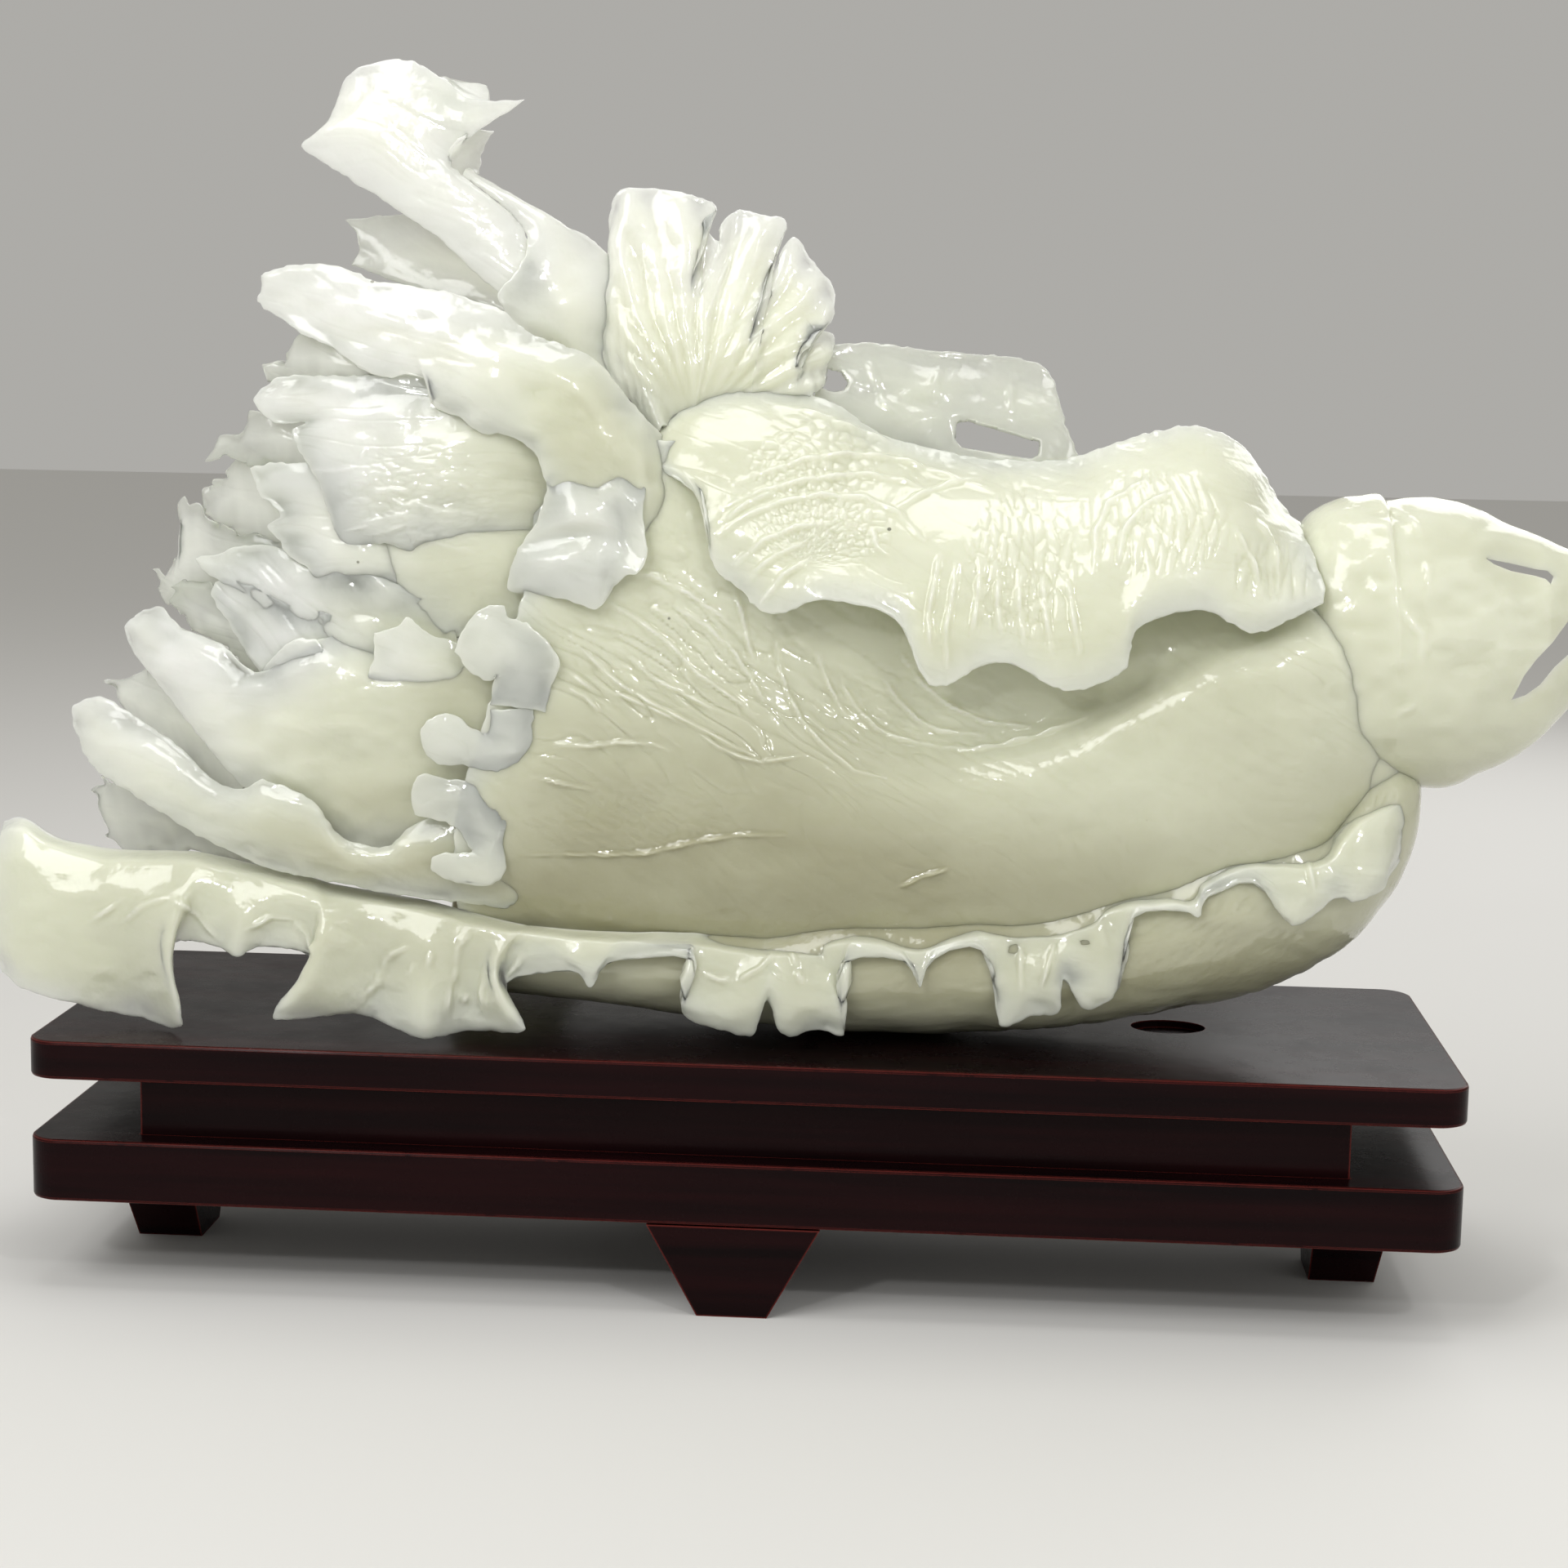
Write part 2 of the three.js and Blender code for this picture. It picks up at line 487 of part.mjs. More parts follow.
const lowerLobeShares = [
  [[470, 870, 0.16], [480, 825, 0.15], [470, 785, 0.16]],
  [[433, 852, 0.14], [432, 838, 0.135], [434, 824, 0.14]],
  [[400, 862, 0.14], [400, 838, 0.13], [402, 810, 0.135]],
  [[370, 857, 0.145], [374, 822, 0.135], [386, 783, 0.145]],
  [[340, 851, 0.155], [340, 825, 0.15], [353, 787, 0.16]],
  [[325, 840, 0.17], [318, 832, 0.17], [320, 820, 0.18]],
];
const midLobeShares = [
  [[505, 755, 0.14], [490, 762, 0.135], [475, 765, 0.135], [458, 770, 0.145]],
  [[530, 768, 0.135], [505, 785, 0.12], [480, 790, 0.12], [456, 795, 0.135]],
  [[552, 782, 0.13], [520, 805, 0.115], [485, 815, 0.12], [454, 822, 0.135]],
  [[575, 800, 0.13], [540, 830, 0.11], [500, 838, 0.12], [460, 835, 0.14]],
  [[600, 850, 0.14], [570, 860, 0.12], [530, 860, 0.13], [490, 850, 0.15]],
];
const lowerBehindShares = [
  [[440, 1040, 0.34], [400, 960, 0.35], [350, 870, 0.38]],
  [[315, 1000, 0.4], [285, 925, 0.43], [245, 838, 0.46]],
  [[232, 940, 0.47], [207, 870, 0.51], [194, 824, 0.54]],
  [[172, 895, 0.54], [157, 852, 0.57], [178, 818, 0.58]],
  [[150, 870, 0.58], [133, 833, 0.62], [150, 834, 0.61]],
];
const longLeafShares = [
  [[762, 1130, 0.19], [760, 1090, 0.19], [750, 1040, 0.18], [740, 990, 0.2]],
  [[640, 1115, 0.16], [640, 1070, 0.13], [640, 1020, 0.12], [630, 980, 0.15]],
  [[540, 1103, 0.14], [530, 1070, 0.11], [520, 1035, 0.1], [515, 1005, 0.13]],
  [[473, 1095, 0.14], [473, 1070, 0.11], [473, 1050, 0.1], [473, 1035, 0.11]],
  [[430, 1085, 0.15], [428, 1065, 0.11], [425, 1045, 0.1], [420, 1025, 0.12]],
  [[385, 1077, 0.16], [385, 1045, 0.12], [385, 1010, 0.1], [384, 981, 0.12]],
  [[335, 1065, 0.17], [335, 1030, 0.13], [330, 990, 0.11], [325, 955, 0.13]],
  [[295, 1050, 0.18], [292, 1022, 0.15], [290, 990, 0.14], [294, 965, 0.16]],
  [[235, 1020, 0.21], [245, 995, 0.18], [252, 970, 0.18], [262, 955, 0.2]],
  [[165, 975, 0.26], [180, 948, 0.23], [195, 922, 0.23], [215, 910, 0.25]],
  [[112, 937, 0.31], [125, 908, 0.29], [140, 888, 0.29], [160, 873, 0.31]],
  [[95, 905, 0.34], [102, 885, 0.33], [113, 870, 0.33], [126, 853, 0.34]],
  [[88, 882, 0.36], [86, 870, 0.36], [88, 863, 0.36], [98, 859, 0.36]],
];
const longBehindShares = [
  [[380, 1080, 0.34], [370, 1050, 0.36], [350, 1010, 0.38]],
  [[262, 1050, 0.42], [245, 1015, 0.44], [210, 985, 0.46]],
  [[195, 1046, 0.48], [180, 1000, 0.5], [160, 968, 0.52]],
  [[145, 1042, 0.55], [132, 1000, 0.56], [125, 950, 0.58]],
  [[128, 998, 0.58], [116, 966, 0.6], [124, 958, 0.6]],
];
const leafCurlOneShares = [
  [[780, 592, 0.09], [755, 586, 0.09], [725, 583, 0.086], [688, 586, 0.068]],
  [[789, 630, 0.077], [760, 618, 0.077], [728, 612, 0.082], [690, 602, 0.064]],
  [[791, 660, 0.064], [762, 648, 0.059], [726, 642, 0.064], [668, 628, 0.073]],
  [[786, 698, 0.073], [758, 680, 0.05], [718, 670, 0.05], [642, 655, 0.068]],
  [[762, 702, 0.077], [740, 700, 0.05], [700, 692, 0.045], [628, 685, 0.059]],
  [[744, 730, 0.073], [715, 726, 0.05], [680, 716, 0.05], [622, 705, 0.059]],
  [[730, 742, 0.082], [705, 746, 0.064], [672, 734, 0.064], [624, 723, 0.073]],
];
const leafCurlTwoShares = [
  [[668, 873, 0.077], [645, 868, 0.064], [620, 866, 0.064], [600, 862, 0.082]],
  [[676, 840, 0.064], [652, 836, 0.05], [628, 832, 0.05], [604, 834, 0.073]],
  [[684, 805, 0.064], [655, 805, 0.045], [630, 810, 0.045], [606, 832, 0.068]],
  [[650, 765, 0.073], [632, 780, 0.05], [615, 800, 0.045], [600, 833, 0.073]],
  [[622, 757, 0.077], [606, 775, 0.054], [596, 800, 0.05], [588, 832, 0.068]],
  [[618, 742, 0.077], [595, 755, 0.059], [580, 785, 0.054], [572, 820, 0.068]],
  [[598, 741, 0.082], [580, 752, 0.068], [565, 775, 0.064], [556, 798, 0.073]],
];
const leafCurlThreeShares = [
  [[655, 862, 0.077], [640, 866, 0.068], [620, 868, 0.068], [600, 870, 0.082]],
  [[652, 890, 0.073], [634, 895, 0.05], [615, 900, 0.05], [597, 893, 0.073]],
  [[650, 915, 0.068], [630, 920, 0.045], [612, 915, 0.05], [588, 895, 0.073]],
  [[628, 940, 0.073], [612, 930, 0.05], [592, 915, 0.05], [572, 886, 0.073]],
  [[600, 945, 0.077], [588, 930, 0.054], [572, 910, 0.054], [560, 876, 0.073]],
  [[570, 938, 0.082], [560, 925, 0.054], [550, 900, 0.05], [545, 873, 0.073]],
  [[540, 937, 0.073], [534, 920, 0.054], [528, 900, 0.05], [525, 880, 0.068]],
  [[522, 925, 0.073], [517, 915, 0.064], [514, 905, 0.064], [515, 893, 0.073]],
];
const leafCurlFourShares = [
  [[503, 972, 0.073], [502, 980, 0.068], [503, 988, 0.068], [508, 998, 0.077]],
  [[514, 948, 0.077], [520, 965, 0.059], [526, 985, 0.054], [530, 1004, 0.073]],
  [[545, 952, 0.077], [550, 968, 0.054], [552, 985, 0.05], [552, 1010, 0.068]],
  [[578, 958, 0.073], [580, 975, 0.05], [577, 995, 0.05], [566, 1022, 0.073]],
  [[610, 985, 0.068], [600, 1000, 0.05], [590, 1015, 0.05], [572, 1035, 0.073]],
  [[621, 1005, 0.068], [610, 1020, 0.05], [598, 1030, 0.05], [576, 1041, 0.073]],
  [[616, 1033, 0.073], [606, 1040, 0.054], [594, 1048, 0.05], [566, 1044, 0.073]],
  [[621, 1062, 0.073], [602, 1066, 0.05], [575, 1063, 0.05], [545, 1044, 0.068]],
  [[608, 1082, 0.077], [590, 1083, 0.059], [560, 1076, 0.059], [527, 1053, 0.068]],
  [[590, 1085, 0.082], [565, 1082, 0.073], [545, 1076, 0.073], [529, 1068, 0.077]],
];
const skirtLeafShares = [
  [[4, 1006, 0.32], [-10, 1050, 0.29], [-14, 1100, 0.27], [-10, 1150, 0.27], [2, 1190, 0.28]],
  [[28, 1000, 0.29], [25, 1060, 0.23], [25, 1120, 0.2], [25, 1170, 0.2], [30, 1212, 0.22]],
  [[80, 1028, 0.26], [80, 1080, 0.2], [82, 1130, 0.17], [85, 1180, 0.17], [96, 1231, 0.19]],
  [[150, 1040, 0.24], [150, 1080, 0.18], [155, 1120, 0.14], [160, 1180, 0.14], [170, 1247, 0.17]],
  [[215, 1042, 0.23], [215, 1080, 0.17], [210, 1120, 0.13], [205, 1180, 0.13], [222, 1254, 0.16]],
  [[245, 1044, 0.22], [244, 1070, 0.17], [238, 1100, 0.13], [222, 1135, 0.13], [206, 1160, 0.15]],
  [[275, 1050, 0.21], [272, 1080, 0.16], [270, 1110, 0.13], [266, 1140, 0.13], [262, 1159, 0.15]],
  [[310, 1058, 0.2], [305, 1090, 0.15], [300, 1120, 0.12], [293, 1145, 0.12], [289, 1173, 0.13]],
  [[350, 1068, 0.19], [345, 1092, 0.14], [340, 1115, 0.12], [332, 1140, 0.12], [322, 1160, 0.14]],
  [[385, 1076, 0.18], [385, 1100, 0.13], [385, 1125, 0.12], [384, 1150, 0.12], [382, 1175, 0.13]],
  [[410, 1082, 0.18], [406, 1112, 0.13], [396, 1150, 0.1], [372, 1205, 0.1], [334, 1247, 0.14]],
  [[470, 1092, 0.15], [465, 1130, 0.11], [462, 1170, 0.09], [455, 1210, 0.09], [440, 1243, 0.13]],
  [[530, 1104, 0.13], [525, 1140, 0.1], [520, 1180, 0.08], [516, 1225, 0.08], [514, 1272, 0.12]],
  [[590, 1120, 0.11], [585, 1150, 0.09], [580, 1185, 0.08], [578, 1220, 0.08], [576, 1262, 0.12]],
  [[640, 1132, 0.1], [622, 1150, 0.09], [605, 1180, 0.08], [612, 1220, 0.08], [643, 1262, 0.12]],
  [[655, 1134, 0.1], [640, 1148, 0.09], [628, 1165, 0.09], [620, 1185, 0.09], [622, 1205, 0.1]],
  [[690, 1137, 0.085], [680, 1150, 0.075], [680, 1165, 0.065], [688, 1178, 0.065], [700, 1190, 0.065]],
  [[740, 1140, 0.085], [735, 1160, 0.065], [730, 1175, 0.055], [726, 1190, 0.045], [724, 1209, 0.055]],
  [[775, 1141, 0.085], [768, 1150, 0.075], [762, 1158, 0.07], [757, 1168, 0.065], [752, 1178, 0.065]],
  [[840, 1141, 0.085], [842, 1150, 0.075], [846, 1160, 0.07], [849, 1168, 0.065], [851, 1176, 0.06]],
  [[870, 1145, 0.1], [858, 1170, 0.08], [845, 1200, 0.07], [832, 1225, 0.06], [836, 1242, 0.08]],
  [[905, 1152, 0.1], [895, 1180, 0.08], [890, 1210, 0.06], [888, 1240, 0.055], [887, 1263, 0.08]],
  [[935, 1156, 0.1], [930, 1175, 0.08], [925, 1200, 0.06], [922, 1230, 0.055], [922, 1268, 0.08]],
  [[950, 1156, 0.1], [949, 1172, 0.08], [946, 1190, 0.07], [943, 1207, 0.06], [940, 1226, 0.07]],
  [[970, 1156, 0.1], [970, 1180, 0.08], [968, 1205, 0.06], [966, 1235, 0.055], [958, 1268, 0.08]],
  [[1000, 1155, 0.1], [1005, 1180, 0.08], [1012, 1205, 0.06], [1014, 1235, 0.055], [1005, 1262, 0.08]],
  [[1008, 1144, 0.1], [1016, 1170, 0.08], [1028, 1200, 0.07], [1036, 1235, 0.06], [1034, 1266, 0.08]],
  [
    [1045, 1139, 0.085], [1044, 1147, 0.075], [1040, 1156, 0.065],
    [1035, 1168, 0.06], [1028, 1182, 0.055],
  ],
  [
    [1083, 1147, 0.085], [1088, 1154, 0.075], [1094, 1161, 0.065],
    [1100, 1169, 0.055], [1106, 1177, 0.055],
  ],
  [
    [1121, 1152, 0.085], [1122, 1165, 0.065], [1124, 1180, 0.055],
    [1125, 1195, 0.045], [1126, 1209, 0.045],
  ],
  [
    [1150, 1144, 0.085], [1149, 1151, 0.075], [1147, 1158, 0.065],
    [1145, 1165, 0.06], [1143, 1173, 0.055],
  ],
  [[1195, 1134, 0.085], [1196, 1141, 0.075], [1198, 1148, 0.07], [1201, 1155, 0.065], [1206, 1162, 0.06]],
  [[1235, 1134, 0.1], [1237, 1160, 0.08], [1235, 1190, 0.065], [1230, 1222, 0.06], [1224, 1254, 0.08]],
  [[1265, 1134, 0.1], [1265, 1160, 0.075], [1267, 1185, 0.055], [1268, 1213, 0.055], [1264, 1244, 0.08]],
  [[1292, 1133, 0.1], [1293, 1155, 0.075], [1291, 1178, 0.055], [1287, 1208, 0.055], [1296, 1242, 0.08]],
  [[1315, 1128, 0.1], [1313, 1145, 0.08], [1310, 1162, 0.065], [1305, 1180, 0.06], [1303, 1201, 0.065]],
  [[1338, 1117, 0.105], [1342, 1142, 0.08], [1345, 1170, 0.065], [1343, 1200, 0.06], [1330, 1237, 0.08]],
  [[1352, 1104, 0.105], [1358, 1130, 0.09], [1366, 1160, 0.075], [1378, 1185, 0.07], [1370, 1212, 0.085]],
  [
    [1391, 1096, 0.083], [1391, 1102, 0.078], [1390, 1109, 0.073],
    [1388, 1116, 0.068], [1385, 1124, 0.063],
  ],
  [
    [1430, 1096, 0.083], [1432, 1101, 0.078], [1436, 1106, 0.068],
    [1440, 1111, 0.063], [1445, 1116, 0.058],
  ],
  [
    [1458, 1094, 0.083], [1460, 1102, 0.068], [1463, 1110, 0.058],
    [1466, 1117, 0.053], [1468, 1124, 0.053],
  ],
  [
    [1474, 1070, 0.093], [1476, 1077, 0.088], [1478, 1084, 0.083],
    [1480, 1091, 0.078], [1480, 1099, 0.073],
  ],
  [
    [1520, 1051, 0.103], [1524, 1058, 0.098], [1528, 1065, 0.093],
    [1532, 1073, 0.088], [1536, 1081, 0.083],
  ],
  [
    [1560, 1047, 0.108], [1567, 1062, 0.088], [1571, 1085, 0.068],
    [1571, 1106, 0.058], [1573, 1128, 0.063],
  ],
  [
    [1600, 1049, 0.113], [1602, 1065, 0.088], [1604, 1085, 0.068],
    [1602, 1107, 0.063], [1596, 1131, 0.068],
  ],
  [
    [1625, 1041, 0.118], [1628, 1055, 0.098], [1632, 1070, 0.083],
    [1634, 1085, 0.078], [1634, 1101, 0.078],
  ],
  [
    [1640, 1018, 0.128], [1650, 1040, 0.103], [1661, 1060, 0.088],
    [1665, 1082, 0.078], [1660, 1104, 0.083],
  ],
  [
    [1665, 994, 0.148], [1672, 1020, 0.123], [1684, 1045, 0.108],
    [1694, 1070, 0.098], [1690, 1093, 0.103],
  ],
  [
    [1700, 976, 0.188], [1705, 1000, 0.168], [1709, 1022, 0.158],
    [1710, 1045, 0.153], [1706, 1068, 0.158],
  ],
  [[1730, 965, 0.27], [1731, 985, 0.26], [1729, 1008, 0.25], [1724, 1030, 0.25], [1717, 1052, 0.26]],
];
const skirtTipShares = [
  [[60, 1075, 0.34], [55, 1105, 0.33], [60, 1150, 0.34]],
  [[20, 1072, 0.36], [15, 1105, 0.35], [20, 1148, 0.36]],
  [[-14, 1080, 0.4], [-20, 1105, 0.39], [-16, 1140, 0.4]],
];
// Solid parts: photo pixel x, top pixel y, bottom pixel y, share of the depth
// at the middle and share of the depth to either side.
const heartShares = [
  [330, 640, 900, 0.5, 0.06],
  [400, 560, 985, 0.5, 0.16],
  [480, 500, 1045, 0.5, 0.24],
  [560, 455, 1095, 0.5, 0.22],
  [660, 420, 1150, 0.5, 0.26],
  [760, 445, 1190, 0.5, 0.29],
  [880, 455, 1215, 0.5, 0.29],
  [960, 462, 1226, 0.5, 0.28],
  [1020, 496, 1235, 0.5, 0.26],
  [1180, 560, 1240, 0.5, 0.255],
  [1340, 560, 1230, 0.5, 0.255],
  [1460, 550, 1206, 0.5, 0.255],
  [1560, 618, 1174, 0.5, 0.27],
  [1630, 660, 1150, 0.5, 0.3],
  [1680, 680, 1090, 0.5, 0.28],
  [1712, 720, 1020, 0.5, 0.22],
];
const ribShares = [
  [600, 850, 1060, 0.36, 0.17],
  [700, 805, 1110, 0.34, 0.22],
  [800, 845, 1130, 0.33, 0.23],
  [900, 890, 1125, 0.32, 0.23],
  [1000, 930, 1130, 0.31, 0.23],
  [1100, 962, 1130, 0.31, 0.235],
  [1200, 960, 1130, 0.31, 0.235],
  [1300, 935, 1120, 0.31, 0.235],
  [1400, 885, 1110, 0.31, 0.235],
  [1500, 835, 1060, 0.32, 0.225],
  [1560, 805, 1010, 0.33, 0.215],
  [1620, 790, 960, 0.35, 0.2],
];
const undersideShares = [
  [560, 1125, 1195, 0.42, 0.14],
  [621, 1074, 1208, 0.44, 0.27],
  [720, 1079, 1219, 0.45, 0.31],
  [830, 1071, 1233, 0.45, 0.34],
  [940, 1085, 1245, 0.45, 0.36],
  [1040, 1058, 1254, 0.45, 0.37],
  [1174, 1050, 1256, 0.45, 0.38],
  [1270, 1046, 1252, 0.45, 0.38],
  [1350, 1014, 1246, 0.45, 0.38],
  [1421, 998, 1234, 0.45, 0.37],
  [1506, 953, 1217, 0.45, 0.36],
  [1566, 945, 1197, 0.45, 0.34],
  [1613, 958, 1172, 0.45, 0.33],
  [1656, 911, 1143, 0.45, 0.31],
  [1690, 897, 1103, 0.45, 0.27],
  [1711, 907, 1071, 0.45, 0.23],
  [1726, 924, 1032, 0.45, 0.17],
  [1735, 945, 989, 0.45, 0.08],
];
const crownShares = [
  [1560, 720, 900, 0.46, 0.2],
  [1592, 645, 950, 0.46, 0.27],
  [1615, 620, 965, 0.45, 0.3],
  [1645, 607, 972, 0.45, 0.32],
  [1685, 602, 970, 0.45, 0.33],
  [1697, 611, 968, 0.45, 0.33],
  [1728, 610, 964, 0.45, 0.33],
  [1765, 611, 964, 0.46, 0.32],
  [1800, 620, 952, 0.46, 0.295],
  [1850, 645, 925, 0.46, 0.25],
  [1880, 657, 905, 0.45, 0.215],
  [1905, 667, 880, 0.45, 0.18],
  [1930, 678, 855, 0.44, 0.14],
  [1958, 692, 834, 0.44, 0.09],
  [1980, 716, 808, 0.44, 0.03],
];
// Through cuts: pixel corners of the openings in the curled leaf's fin and the
// root end.
const finHolePixels = [
  [1172, 516], [1185, 514], [1273, 540], [1271, 556], [1262, 560], [1178, 546], [1171, 538],
];
const finEyePixels = [
  [1007, 474], [1014, 450], [1030, 454], [1038, 466], [1034, 476], [1020, 479],
];
const rootSlitPixels = [
  [1820, 684], [1850, 690], [1880, 697], [1895, 699], [1902, 706],
  [1899, 715], [1893, 709], [1880, 705], [1850, 699], [1830, 691],
];
const rootEyePixels = [
  [1851, 857], [1866, 828], [1881, 808], [1901, 787], [1925, 754], [2000, 690],
  [2000, 830], [1925, 797], [1903, 817], [1886, 838], [1868, 851],
];

// Material finishes
const stoneFinish = { color: 0xc9cfae, roughness: 0.16, metalness: 0 };
const lacquerFinish = { color: 0x2a0f12, roughness: 0.28, metalness: 0 };

const baseHeight = footHeight + lowerBoardThick;
const boardTop = baseHeight + waistHeight + topBoardThick;
const half = 0.5;
const quarterTurn = Math.PI * half;
const fullTurn = Math.PI + Math.PI;

// Viewpoint
const toRadians = Math.PI / 180;
const yaw = viewYawDeg * toRadians;
const pitch = viewPitchDeg * toRadians;
const roll = viewRollDeg * toRadians;
const viewPoint = new THREE.Vector3(viewAcross, -viewBack, viewHeight);
const forward = new THREE.Vector3(
  Math.sin(yaw) * Math.cos(pitch),
  Math.cos(yaw) * Math.cos(pitch),
  -Math.sin(pitch),
);
const level = new THREE.Vector3(Math.cos(yaw), -Math.sin(yaw), 0);
const upright = new THREE.Vector3().crossVectors(level, forward);
const acrossView = level.clone().multiplyScalar(Math.cos(roll))
  .addScaledVector(upright, Math.sin(roll));
const upView = upright.clone().multiplyScalar(Math.cos(roll))
  .addScaledVector(level, -Math.sin(roll));

// Point in space that a pixel shows at a share of the stone's depth.
function fromPhoto(px, py, depthShare) {
  const ray = forward.clone().multiplyScalar(focalPixels)
    .addScaledVector(acrossView, px - frameCentrePixels)
    .addScaledVector(upView, frameCentrePixels - py);
  const planeY = stoneFront + stoneDepth * depthShare;
  const travel = (planeY - viewPoint.y) / ray.y;
  return viewPoint.clone().addScaledVector(ray, travel);
}

// Solids
function toSolid(geometry) {
  const plain = geometry.clone();
  plain.deleteAttribute('normal');
  plain.deleteAttribute('uv');
  const merged = mergeVertices(plain);
  const vertProperties = new Float32Array(merged.attributes.position.array);
  const triVerts = new Uint32Array(merged.index.array);
  return new wasm.Manifold(new wasm.Mesh({ numProp: 3, vertProperties, triVerts }));
}

function toGeometry(solid) {
  const mesh = solid.getMesh();
  const geometry = new THREE.BufferGeometry();
  const positions = new Float32Array(mesh.vertProperties);
  geometry.setAttribute('position', new THREE.BufferAttribute(positions, 3));
  geometry.setIndex(Array.from(mesh.triVerts));
  geometry.computeVertexNormals();
  return geometry;
}

function makeMesh(name, geometry, finish) {
  const mesh = new THREE.Mesh(geometry, new THREE.MeshStandardMaterial(finish));
  mesh.name = name;
  return mesh;
}

function geometryFrom(points, triangles) {
  const geometry = new THREE.BufferGeometry();
  const flat = points.flatMap((p) => [p.x, p.y, p.z]);
  geometry.setAttribute('position', new THREE.Float32BufferAttribute(flat, 3));
  geometry.setIndex(triangles.flat());
  return geometry;
}

// Catmull-Rom value between the two middle readings.
function blend(a, b, c, d, t) {
  const straight = (c - a) * t;
  const step = c - b;
  const bow = (a + a - b + step + step + step + step - d) * t * t;
  const turn = (b + b + b - a - c - c - c + d) * t * t * t;
  return (b + b + straight + bow + turn) * half;
}

// Adds evenly spaced rows between the rows of a table.
function refineRows(rows, steps) {
  const last = rows.length - 1;
  const out = [];
  for (let i = 0; i < last; i += 1) {
    const around = [rows[Math.max(i - 1, 0)], rows[i], rows[i + 1], rows[Math.min(i + 2, last)]];
    for (let k = 0; k < steps; k += 1) {
      const t = k / steps;
      out.push(rows[i].map((point, j) => point.map((value, n) => (
        blend(around[0][j][n], value, around[2][j][n], around[3][j][n], t)
      ))));
    }
  }
  out.push(rows[last]);
  return out;
}

function transpose(rows) {
  return rows[0].map((point, j) => rows.map((row) => row[j]));
}

function refineTable(table, rowSteps, acrossSteps) {
  const tall = refineRows(table, rowSteps);
  return transpose(refineRows(transpose(tall), acrossSteps));
}

// One leaf: a sheet through the table, thick along its middle and thin at its
// margins, closed all round.
function leafSolid(table, rowSteps = 1, acrossSteps = 1) {
  const rows = refineTable(table, rowSteps, acrossSteps);
  const countU = rows.length;
  const countV = rows[0].length;
  const front = [];
  const back = [];
  rows.forEach((row, i) => {
    row.forEach(([px, py, depth], j) => {
      const rise = Math.sin(Math.PI * j / (countV - 1)) * Math.sin(Math.PI * half * (1 - i / countU));
      const thick = leafEdgeThick + (leafThick - leafEdgeThick) * rise;
      front.push(fromPhoto(px, py, depth));
      back.push(fromPhoto(px, py, depth + thick / stoneDepth));
    });
  });
  const at = (i, j) => i * countV + j;
  const shift = front.length;
  const faces = [];
  for (let i = 0; i < countU - 1; i += 1) {
    for (let j = 0; j < countV - 1; j += 1) {
      const [a, b, c, d] = [at(i, j), at(i, j + 1), at(i + 1, j + 1), at(i + 1, j)];
      faces.push([a, b, c], [a, c, d]);
      faces.push([a + shift, c + shift, b + shift], [a + shift, d + shift, c + shift]);
    }
  }
  const rim = [];
  for (let j = 0; j < countV - 1; j += 1) rim.push(at(0, j));
  for (let i = 0; i < countU - 1; i += 1) rim.push(at(i, countV - 1));
  for (let j = countV - 1; j > 0; j -= 1) rim.push(at(countU - 1, j));
  for (let i = countU - 1; i > 0; i -= 1) rim.push(at(i, 0));
  rim.forEach((a, k) => {
    const b = rim[(k + 1) % rim.length];
    faces.push([b, a, a + shift], [b, a + shift, b + shift]);
  });
  return outward(geometryFrom([...front, ...back], faces));
}

function signedVolume(geometry) {
  const p = geometry.attributes.position;
  const index = geometry.index.array;
  const [a, b, c] = [new THREE.Vector3(), new THREE.Vector3(), new THREE.Vector3()];
  let total = 0;
  for (let k = 0; k < index.length; k += 3) {
    a.fromBufferAttribute(p, index[k]);
    b.fromBufferAttribute(p, index[k + 1]);
    c.fromBufferAttribute(p, index[k + 2]);
    total += a.dot(b.cross(c));
  }
  return total;
}

// Solid with its faces turned outward whichever way its table runs.
function outward(geometry) {
  if (signedVolume(geometry) < 0) {
    const index = geometry.index.array;
    for (let k = 0; k < index.length; k += 3) {
      [index[k + 1], index[k + 2]] = [index[k + 2], index[k + 1]];
    }
  }
  return toSolid(geometry);
}

// Solid stem of oval sections through a station table.
function stemSolid(table, sides) {
  const points = [];
  table.forEach(([px, top, bottom, depth, spread]) => {
    const high = fromPhoto(px, top, depth);
    const low = fromPhoto(px, bottom, depth);
    const centre = high.clone().add(low).multiplyScalar(half);
    const reach = high.clone().sub(low).multiplyScalar(half);
    for (let k = 0; k < sides; k += 1) {
      const angle = fullTurn * k / sides;
      const point = centre.clone().addScaledVector(reach, Math.cos(angle));
      point.y += stoneDepth * spread * Math.sin(angle);
      points.push(point);
    }
  });
  const first = points.length;
  [table[0], table[table.length - 1]].forEach(([px, top, bottom, depth]) => {
    points.push(fromPhoto(px, (top + bottom) * half, depth));
  });
  const faces = [];
  const lastRing = (table.length - 1) * sides;
  for (let k = 0; k < sides; k += 1) {
    const next = (k + 1) % sides;
    for (let i = 0; i < table.length - 1; i += 1) {
      const [a, b] = [i * sides + k, i * sides + next];
      faces.push([a, b, b + sides], [a, b + sides, a + sides]);
    }
    faces.push([first, next, k], [first + 1, lastRing + k, lastRing + next]);
  }
  return outward(geometryFrom(points, faces));
}

